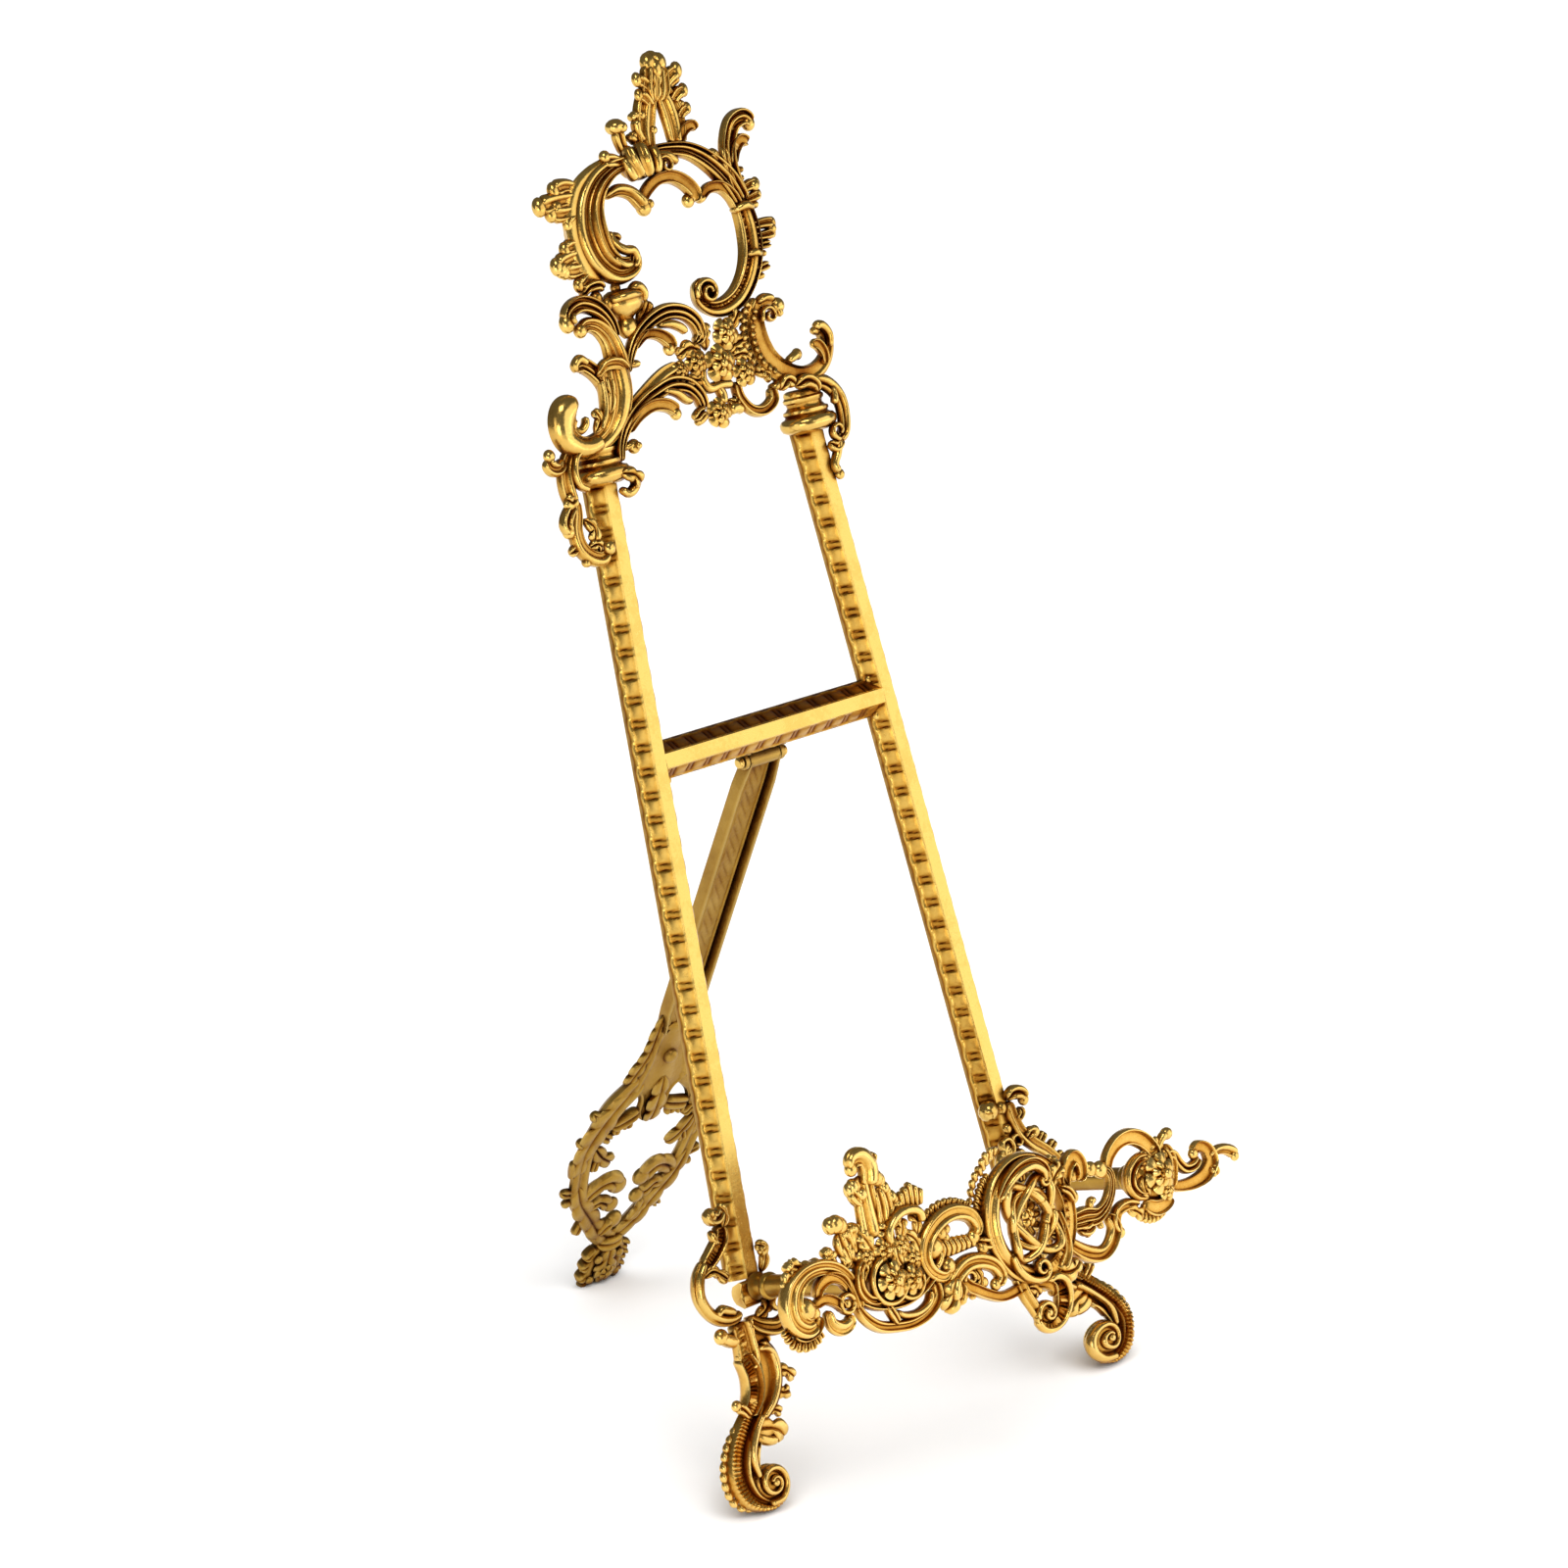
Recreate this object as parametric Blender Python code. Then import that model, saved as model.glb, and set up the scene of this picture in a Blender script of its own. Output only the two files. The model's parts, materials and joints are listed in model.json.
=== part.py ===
"""Table-top display easel in cast brass: a leaning frame of two rails and a crossbar,
a pierced crest, scroll feet, two arms that carry a pierced front gallery, and a hinged rear leg.

Units are metres, +Z up, +X to the easel's left-to-right, the front faces -Y.
Outlines are given in millimetres in the plane of the casting they belong to:
x across, s up the plane, g out of the plane towards the front."""
import math

import bmesh
import bpy
from mathutils import Vector

MM = 0.001

# Driving dimensions
LEAN = math.radians(18.75)          # the frame leans back from vertical
STRUT_ANGLE = math.radians(21.7)    # the rear leg slopes back from vertical
PLANE_Y = -0.0667                   # where the frame's front plane meets the table
CENTRE_X = 0.004                      # the easel's middle
GAP = 0.3                           # clearance between touching castings, mm

RAIL_FOOT = 78.8                    # s of the rails' lower ends
RAIL_TOP = 356.6                    # s of the rails' upper ends
RAIL_SPREAD = 70.8                  # rail centre at s = 0
RAIL_TAPER = 0.0616                 # how much the rails close per mm of s
FACE_HALF = 2.5                     # half width of a rail's flat front face
BACK_HALF = 6.8                     # half width of a rail's back
RAIL_DEPTH = 6.0                    # front face to the back rim
RIM_DEPTH = 1.6                     # thickness of the back rim

CROSSBAR_S = 258.7                  # height of the crossbar's middle
PIN_S = 249.2                       # hinge pin, in the frame's plane
PIN_G = -12.0
PIN_R = 1.5
PIN_HOLE_R = 1.75
STRUT_LENGTH = 252.0                # hinge pin to the rear foot's tip

ARM_X = 65.6                        # the two arms
ARM_S = 75.4
ARM_R = 4.0
GALLERY_G = 70.0                    # the gallery's mid plane in front of the frame


def clear_scene():
    for old in list(bpy.data.objects):
        bpy.data.objects.remove(old, do_unlink=True)


def brass(name, colour, roughness):
    """One Principled brass material per sub-part."""
    material = bpy.data.materials.new(name)
    material.use_nodes = True
    shader = material.node_tree.nodes["Principled BSDF"]
    shader.inputs["Base Color"].default_value = (*colour, 1.0)
    shader.inputs["Metallic"].default_value = 1.0
    shader.inputs["Roughness"].default_value = roughness
    return material


GOLD = (0.80, 0.55, 0.20)
OLD_GOLD = (0.62, 0.42, 0.16)
BROWN = (0.42, 0.28, 0.13)


def plane_empty(name, location, angle, parent=None):
    """An empty whose X, Y, Z are x, s and g of one casting's plane."""
    empty = bpy.data.objects.new(name, None)
    bpy.context.scene.collection.objects.link(empty)
    empty.location = location
    empty.rotation_euler = (angle, 0.0, 0.0)
    empty.parent = parent
    return empty


def face_outwards(mesh_data):
    """Makes a closed solid's faces agree and point out of it."""
    bmesh.ops.recalc_face_normals(mesh_data, faces=mesh_data.faces)
    if mesh_data.calc_volume(signed=True) < 0:
        bmesh.ops.reverse_faces(mesh_data, faces=mesh_data.faces)


def finish(mesh_data, name, parent, colour=GOLD, roughness=0.3):
    """Turns a bmesh in millimetres into a named, closed object in metres."""
    face_outwards(mesh_data)
    bmesh.ops.scale(mesh_data, vec=(MM, MM, MM), verts=mesh_data.verts)
    mesh = bpy.data.meshes.new(name)
    mesh_data.to_mesh(mesh)
    mesh_data.free()
    mesh.materials.append(brass(name, colour, roughness))
    piece = bpy.data.objects.new(name, mesh)
    bpy.context.scene.collection.objects.link(piece)
    piece.parent = parent
    return piece


def smooth_path(points, per_span):
    """Points along a centripetal Catmull-Rom curve through the given (x, s) points."""
    knots = [Vector(p) for p in points]
    knots = [2 * knots[0] - knots[1]] + knots + [2 * knots[-1] - knots[-2]]
    path = []
    for i in range(1, len(knots) - 2):
        p0, p1, p2, p3 = knots[i - 1:i + 3]
        t0 = 0.0
        t1 = t0 + (p1 - p0).length ** 0.5
        t2 = t1 + (p2 - p1).length ** 0.5
        t3 = t2 + (p3 - p2).length ** 0.5
        for k in range(per_span):
            t = t1 + (t2 - t1) * k / per_span
            a1 = p0 * ((t1 - t) / (t1 - t0)) + p1 * ((t - t0) / (t1 - t0))
            a2 = p1 * ((t2 - t) / (t2 - t1)) + p2 * ((t - t1) / (t2 - t1))
            a3 = p2 * ((t3 - t) / (t3 - t2)) + p3 * ((t - t2) / (t3 - t2))
            b1 = a1 * ((t2 - t) / (t2 - t0)) + a2 * ((t - t0) / (t2 - t0))
            b2 = a2 * ((t3 - t) / (t3 - t1)) + a3 * ((t - t1) / (t3 - t1))
            path.append(b1 * ((t2 - t) / (t2 - t1)) + b2 * ((t - t1) / (t2 - t1)))
    path.append(knots[-2])
    return path


def add_scroll(points, back, front, per_span=2):
    """A flat scroll with bevelled front edges. points are (x, s, width)."""
    path = smooth_path([(p[0], p[1]) for p in points], per_span)
    widths = []
    for i in range(len(points) - 1):
        for k in range(per_span):
            widths.append(points[i][2] + (points[i + 1][2] - points[i][2]) * k / per_span)
    widths.append(points[-1][2])
    bm = bmesh.new()
    rings = []
    shoulder = front - (front - back) * 0.35
    for i, centre in enumerate(path):
        ahead = path[min(i + 1, len(path) - 1)]
        behind = path[max(i - 1, 0)]
        along = (ahead - behind).normalized()
        side = Vector((-along.y, along.x))
        half = widths[i] / 2
        section = [(-half, back), (half, back), (half, shoulder), (half * 0.5, front),
                   (-half * 0.5, front), (-half, shoulder)]
        ring = []
        for across, depth in section:
            spot = centre + side * across
            ring.append(bm.verts.new((spot.x, spot.y, depth)))
        rings.append(ring)
    for ring, following in zip(rings, rings[1:]):
        for k in range(6):
            n = (k + 1) % 6
            bm.faces.new((ring[k], ring[n], following[n], following[k]))
    bm.faces.new(list(reversed(rings[0])))
    bm.faces.new(rings[-1])
    return bm


def add_disc(x, s, radius, back, front, squash=1.0, sides=12):
    """A round boss with a domed front."""
    bm = bmesh.new()
    levels = [(1.0, back), (1.0, front - (front - back) * 0.4), (0.55, front)]
    rings = []
    for scale, depth in levels:
        ring = []
        for k in range(sides):
            angle = 2 * math.pi * (k + 0.37) / sides
            ring.append(bm.verts.new((x + radius * scale * math.cos(angle),
                                      s + radius * squash * scale * math.sin(angle), depth)))
        rings.append(ring)
    for ring, following in zip(rings, rings[1:]):
        for k in range(sides):
            n = (k + 1) % sides
            bm.faces.new((ring[k], ring[n], following[n], following[k]))
    bm.faces.new(list(reversed(rings[0])))
    bm.faces.new(rings[-1])
    return bm


def add_plate(outline, back, front):
    """A flat plate with the given (x, s) outline."""
    bm = bmesh.new()
    low = [bm.verts.new((x, s, back)) for x, s in outline]
    high = [bm.verts.new((x, s, front)) for x, s in outline]
    count = len(outline)
    for k in range(count):
        n = (k + 1) % count
        bm.faces.new((low[k], low[n], high[n], high[k]))
    bm.faces.new(list(reversed(low)))
    bm.faces.new(high)
    bmesh.ops.triangulate(bm, faces=[f for f in bm.faces if len(f.verts) > 4])
    return bm


def add_ring(x, s, radius_x, radius_s, band, back, front, sides=24):
    """A closed oval band with a bevelled front."""
    bm = bmesh.new()
    shoulder = front - (front - back) * 0.35
    section = [(0.0, back), (band, back), (band, shoulder), (band * 0.65, front),
               (band * 0.3, front), (0.0, shoulder)]
    rings = []
    for k in range(sides):
        angle = 2 * math.pi * k / sides
        ring = []
        for inwards, depth in section:
            ring.append(bm.verts.new((x + (radius_x - inwards) * math.cos(angle),
                                      s + (radius_s - inwards) * math.sin(angle), depth)))
        rings.append(ring)
    for k in range(sides):
        ring = rings[k]
        following = rings[(k + 1) % sides]
        for j in range(6):
            n = (j + 1) % 6
            bm.faces.new((ring[j], ring[n], following[n], following[j]))
    return bm


def turned(profile, centre, across, along, sides=20, squash=1.0):
    """A turned piece: profile is (distance along the axis, radius), closed at both ends."""
    bm = bmesh.new()
    axis = Vector(along)
    first = Vector(across)
    second = axis.cross(first) * squash
    rings = []
    for distance, radius in profile:
        ring = []
        for k in range(sides):
            angle = 2 * math.pi * (k + 0.5) / sides
            spot = (Vector(centre) + axis * distance
                    + (first * math.cos(angle) + second * math.sin(angle)) * radius)
            ring.append(bm.verts.new(spot))
        rings.append(ring)
    for ring, following in zip(rings, rings[1:]):
        for k in range(sides):
            n = (k + 1) % sides
            bm.faces.new((ring[k], ring[n], following[n], following[k]))
    bm.faces.new(list(reversed(rings[0])))
    bm.faces.new(rings[-1])
    return bm


def raw_object(mesh_data):
    """A plain object that still has its millimetre numbers, for the Booleans."""
    face_outwards(mesh_data)
    mesh = bpy.data.meshes.new("tool")
    mesh_data.to_mesh(mesh)
    mesh_data.free()
    thing = bpy.data.objects.new("tool", mesh)
    bpy.context.scene.collection.objects.link(thing)
    return thing


def fuse(name, solids, parent, colour=GOLD, roughness=0.3, cut=(), curled=False):
    """Joins closed solids into one casting, then takes the cutters away. curled is for a
    casting whose scrolls bend tightly enough to touch themselves."""
    body = raw_object(solids[0])
    tools = [(solid, "UNION") for solid in solids[1:]]
    tools += [(solid, "DIFFERENCE") for solid in cut]
    for solid, operation in tools:
        tool = raw_object(solid)
        step = body.modifiers.new("step", "BOOLEAN")
        step.operation = operation
        step.solver = "EXACT"
        step.use_self = curled
        step.object = tool
        bpy.context.view_layer.update()
        graph = bpy.context.evaluated_depsgraph_get()
        joined = bpy.data.meshes.new_from_object(body.evaluated_get(graph))
        body.modifiers.remove(step)
        body.data = joined
        bpy.data.objects.remove(tool, do_unlink=True)
    casting = bmesh.new()
    casting.from_mesh(body.data)
    bpy.data.objects.remove(body, do_unlink=True)
    bmesh.ops.remove_doubles(casting, verts=casting.verts, dist=0.002)
    bmesh.ops.triangulate(casting, faces=casting.faces)
    return finish(casting, name, parent, colour, roughness)


def mirrored(points, side):
    """Swaps an outline's x for the other side of the easel. side is -1 as drawn, or +1."""
    return [(-side * p[0],) + tuple(p[1:]) for p in points]


def rail_centre(s):
    return RAIL_SPREAD - RAIL_TAPER * s


def half_width(g):
    """Half width of a rail's section at depth g below its front face."""
    if g <= -RAIL_DEPTH:
        return BACK_HALF
    return FACE_HALF + (BACK_HALF - FACE_HALF) * (-g / RAIL_DEPTH)


def rail_section():
    back = -RAIL_DEPTH - RIM_DEPTH
    return [(-BACK_HALF, back), (BACK_HALF, back), (BACK_HALF, -RAIL_DEPTH),
            (FACE_HALF, 0.0), (-FACE_HALF, 0.0), (-BACK_HALF, -RAIL_DEPTH)]


def make_rail(name, side, plane):
    bm = bmesh.new()
    rings = []
    for s in (RAIL_FOOT, RAIL_TOP):
        rings.append([bm.verts.new((side * rail_centre(s) + across, s, depth))
                      for across, depth in rail_section()])
    for k in range(6):
        n = (k + 1) % 6
        bm.faces.new((rings[0][k], rings[0][n], rings[1][n], rings[1][k]))
    bm.faces.new(list(reversed(rings[0])))
    bm.faces.new(rings[1])
    return finish(bm, name, plane)


def make_crossbar(plane):
    """The crossbar's ends are mitred to the rails' sloping flanks and their rims."""
    bm = bmesh.new()
    rings = []
    for side in (-1, 1):
        ring = []
        for across, depth in rail_section():
            s = CROSSBAR_S + across
            x = side * (rail_centre(s) - half_width(depth) - GAP)
            ring.append(bm.verts.new((x, s, depth)))
        rings.append(ring)
    for k in range(6):
        n = (k + 1) % 6
        bm.faces.new((rings[0][k], rings[0][n], rings[1][n], rings[1][k]))
    for ring in rings:
        bm.faces.new((ring[0], ring[1], ring[2], ring[5]))
        bm.faces.new((ring[2], ring[3], ring[4], ring[5]))
    return finish(bm, "crossbar", plane)


def make_capital(name, side, plane):
    centre = (side * rail_centre(RAIL_TOP + 7), RAIL_TOP + GAP, -3.8)
    profile = [(0.0, 9.0), (0.9, 11.2), (2.4, 11.9), (3.9, 11.2), (4.7, 9.2), (6.0, 7.4), (7.4, 7.9),
               (8.6, 6.7), (10.4, 7.4), (12.4, 7.6), (14.2, 7.2)]
    bm = turned(profile, centre, (1, 0, 0), (0, 1, 0), sides=16, squash=0.72)
    return finish(bm, name, plane)


def make_hinge_bracket(plane):
    """A plate on the crossbar's back with two lugs that hold the hinge pin."""
    back = -RAIL_DEPTH - RIM_DEPTH - GAP
    plate = add_plate([(-9.2, 252.6), (9.2, 252.6), (9.2, 264.6), (-9.2, 264.6)], back - 1.6, back)
    lugs = []
    for side in (-1, 1):
        profile = [(side * 7.6, 3.3), (side * 9.3, 3.3)]
        if side < 0:
            profile.reverse()
        lugs.append(turned(profile, (0, PIN_S, PIN_G), (0, 1, 0), (1, 0, 0), sides=20))
        bm = bmesh.new()
        bmesh.ops.create_cube(bm, size=1.0)
        bmesh.ops.scale(bm, vec=(1.7, 9.0, 3.9), verts=bm.verts)
        bmesh.ops.translate(bm, vec=(side * 8.45, PIN_S + 4.6, back - 1.9), verts=bm.verts)
        lugs.append(bm)
    hole = turned([(-12, PIN_HOLE_R), (12, PIN_HOLE_R)], (0, PIN_S, PIN_G), (0, 1, 0), (1, 0, 0), sides=24)
    return fuse("hinge_bracket", [plate] + lugs, plane, BROWN, 0.4, cut=[hole])


def make_pin(strut):
    profile = [(-11.4, 1.9), (-11.0, 2.5), (-9.7, 2.5), (-9.7, PIN_R), (9.7, PIN_R), (9.7, 2.5), (11.0, 2.5),
               (11.4, 1.9)]
    bm = turned(profile, (0, 0, 0), (0, 1, 0), (1, 0, 0), sides=16)
    return finish(bm, "hinge_pin", strut, OLD_GOLD, 0.3)


def make_strut_bar(strut):
    """The rear leg's bar: hollow along its front, with a knuckle on the pin and a heel that
    meets the bracket when the leg is fully open."""
    radius = 3.3
    heel = [(-4.0, 3.6), (-1.9, 5.6), (-0.4, 3.86)]
    outline = [(-radius, 0.0)] + heel
    for k in range(4, 8):
        angle = math.pi - math.pi * k / 8
        outline.append((radius * math.cos(angle), radius * math.sin(angle)))
    outline += [(radius, 0.0), (2.8, -6.0), (2.8, -124.0), (-2.8, -124.0), (-2.8, -6.0)]
    bar = bmesh.new()
    rings = []
    for side in (-1, 1):
        ring = []
        for g, s in outline:
            half = 7.2 if s > -10 else 8.6
            ring.append(bar.verts.new((side * half, s, g)))
        rings.append(ring)
    count = len(outline)
    for k in range(count):
        n = (k + 1) % count
        bar.faces.new((rings[0][k], rings[0][n], rings[1][n], rings[1][k]))
    bar.faces.new(list(reversed(rings[0])))
    bar.faces.new(rings[1])
    bmesh.ops.triangulate(bar, faces=[f for f in bar.faces if len(f.verts) > 4])
    channel = add_plate([(-5.2, -9), (5.2, -9), (6.4, -119), (-6.4, -119)], -0.6, 6.0)
    hole = turned([(-12, PIN_HOLE_R), (12, PIN_HOLE_R)], (0, 0, 0), (0, 1, 0), (1, 0, 0), sides=20)
    return fuse("strut_bar", [bar], strut, OLD_GOLD, 0.4, cut=[hole, channel])


def make_rear_leg(strut):
    """The openwork lower half of the rear leg, with a socket for the bar's end."""
    top = -124.3
    head = add_plate([(-8.6, top), (8.6, top), (11, top - 20), (18, top - 30), (17, top - 38), (6, top - 38),
                      (-6, top - 38), (-17, top - 38), (-18, top - 30), (-11, top - 20)], -2.6, 2.2)
    sides = []
    for side in (-1, 1):
        outer = [(-15, -160, 9), (-23, -168, 10), (-28, -181, 7), (-29, -195, 8), (-22, -207, 8),
                 (-12, -219, 8), (2, -225.6, 9)]
        leaf = [(-27.4, -198, 5), (-14, -198.5, 7), (-7, -204, 5)]
        spur = [(-24, -174, 4), (-15, -181, 4), (-10, -184, 3)]
        sides.append(add_scroll(mirrored(outer, -side), -2.2, 2.0))
        sides.append(add_scroll(mirrored(leaf, -side), -1.9, 2.4))
        sides.append(add_scroll(mirrored(spur, -side), -1.7, 1.6))
    hole = add_disc(0, -137, 1.6, -8, 8, sides=12)
    return fuse("rear_leg", [head] + sides, strut, OLD_GOLD, 0.45, cut=[hole])


def make_rivet(strut):
    """The rivet that holds the bar to the openwork casting."""
    profile = [(-4.2, 1.8), (-3.1, 2.9), (-2.9, 2.9), (-2.9, 1.35), (2.5, 1.35), (2.5, 2.9), (2.7, 2.9),
               (3.8, 1.8)]
    bm = turned(profile, (0, -137, 0), (1, 0, 0), (0, 0, 1), sides=10)
    return finish(bm, "rivet", strut, OLD_GOLD, 0.35)


def make_rear_foot(strut):
    outline = [(-8, -230.5), (8, -230.5), (10, -236), (9.4, -240), (10.8, -244), (9.2, -248),
               (5.6, -251), (0, -252), (-5.6, -251), (-9.2, -248), (-10.8, -244), (-9.4, -240), (-10, -236)]
    foot = add_plate(outline, -4.6, 3.4)
    trim_to_table(foot, STRUT_ANGLE, strut_height())
    return finish(foot, "rear_foot", strut, OLD_GOLD, 0.5)


def strut_height():
    """Height of the hinge pin above the table, mm."""
    return PIN_S * math.cos(LEAN) + PIN_G * math.sin(LEAN)


def trim_to_table(bm, lean, height=0.0):
    """Cuts a casting flat where it meets the table. The plane is leaned back by lean, or, for
    the rear leg, forwards, with its origin at the given height."""
    if height:
        normal = Vector((0, math.cos(lean), -math.sin(lean)))
    else:
        normal = Vector((0, math.cos(lean), math.sin(lean)))
    point = normal * -height
    geometry = bm.verts[:] + bm.edges[:] + bm.faces[:]
    result = bmesh.ops.bisect_plane(bm, geom=geometry, plane_co=point, plane_no=normal, clear_inner=True)
    rim = [e for e in result["geom_cut"] if isinstance(e, bmesh.types.BMEdge)]
    bmesh.ops.contextual_create(bm, geom=rim)
    bmesh.ops.triangulate(bm, faces=[f for f in bm.faces if len(f.verts) > 4])


def make_foot(name, side, plane):
    """S-scroll foot: two channels above, a wide shell-edged scroll and a volute below."""
    stem = [(-73.5, 67.6, 12), (-73.5, 58, 13), (-73.5, 49, 14), (-77, 41, 12.5), (-83, 33, 11), (-90, 24, 13),
            (-93, 13, 14), (-88.5, 5, 11), (-81, 3.4, 8)]
    leaf = [(-82, 29, 4), (-75, 28, 7), (-69, 24, 4)]
    shell = [(-95, 24, 7), (-98.6, 14, 7), (-97, 5.5, 6)]
    knot = [(-82, 36, 5), (-86.5, 38.6, 4)]
    spur = [(-70, 42, 6), (-63.5, 40, 5), (-59, 39.5, 3)]
    solids = [add_scroll(mirrored(stem, side), -8.0, 2.4)]
    solids.append(add_disc(side * 81, 9.6, 6.6, -7.4, 5.0))
    solids.append(add_scroll(mirrored(shell, side), -6.4, 1.4))
    solids.append(add_scroll(mirrored(leaf, side), -5.4, 2.9))
    solids.append(add_scroll(mirrored(knot, side), -5.9, 2.0))
    solids.append(add_scroll(mirrored(spur, side), -5.0, 1.1))
    for solid in solids:
        trim_low(solid)
    return fuse(name, solids, plane)


def trim_low(bm):
    """Trims a solid only where it reaches below the table."""
    low = min(v.co.y * math.cos(LEAN) + v.co.z * math.sin(LEAN) for v in bm.verts)
    if low < -0.001:
        trim_to_table(bm, LEAN)


def make_side_scroll(name, side, plane):
    """The C-scroll that stands outside each rail's foot, with a leaf above and a ball below."""
    band = [(-75.6, 101, 4), (-79, 94, 4.5), (-86, 88.5, 5), (-91, 81, 5), (-90, 73.5, 4.5), (-86.6, 68.6, 4)]
    leaf = [(-77.6, 100, 5), (-79, 104.6, 5), (-81.6, 106.4, 3.4)]
    solids = [add_scroll(mirrored(band, side), -6.0, 0.6), add_scroll(mirrored(leaf, side), -5.0, 0.2)]
    solids.append(add_disc(side * 86.4, 64.4, 3.7, -6.4, 1.6, sides=10))
    return fuse(name, solids, plane)


def make_socket(name, side, plane):
    """The block under each rail that takes the arm, with its rosette below."""
    half = 7.4
    block = add_plate([(side * ARM_X - half, 69.3), (side * ARM_X + half, 69.3),
                       (side * ARM_X + half, RAIL_FOOT - GAP), (side * ARM_X - half, RAIL_FOOT - GAP)], -8.4, 1.8)
    return finish(block, name, plane)


def make_arm(name, side, plane):
    """A round arm from the socket block to the gallery's boss."""
    start = 1.8 + GAP
    end = GALLERY_G - 8.0
    profile = [(start, ARM_R + 1.5), (start + 1.2, ARM_R + 1.5), (start + 1.8, ARM_R), (end - 17, ARM_R),
               (end - 16.4, ARM_R + 1.3), (end - 14.6, ARM_R + 1.3), (end - 14, ARM_R),
               (end - 12, ARM_R), (end - 11.4, ARM_R + 1.0), (end - 10, ARM_R + 1.0), (end - 9.4, ARM_R),
               (end - 6, ARM_R), (end, ARM_R + 3.2)]
    bm = turned(profile, (side * ARM_X, ARM_S, 0), (1, 0, 0), (0, 0, 1), sides=12)
    return finish(bm, name, plane, BROWN, 0.35)


def make_bracket(name, side, plane):
    """A leaf that cradles the arm from below, on the frame side."""
    leaf = [(-72.5, 65.4, 4), (-69, 62.2, 5), (-64, 61.4, 5), (-58.6, 64, 4.6), (-56, 69, 4), (-57.6, 73, 3)]
    return fuse(name, [add_scroll(mirrored(leaf, side), 3.2, 9.4)], plane)


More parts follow.
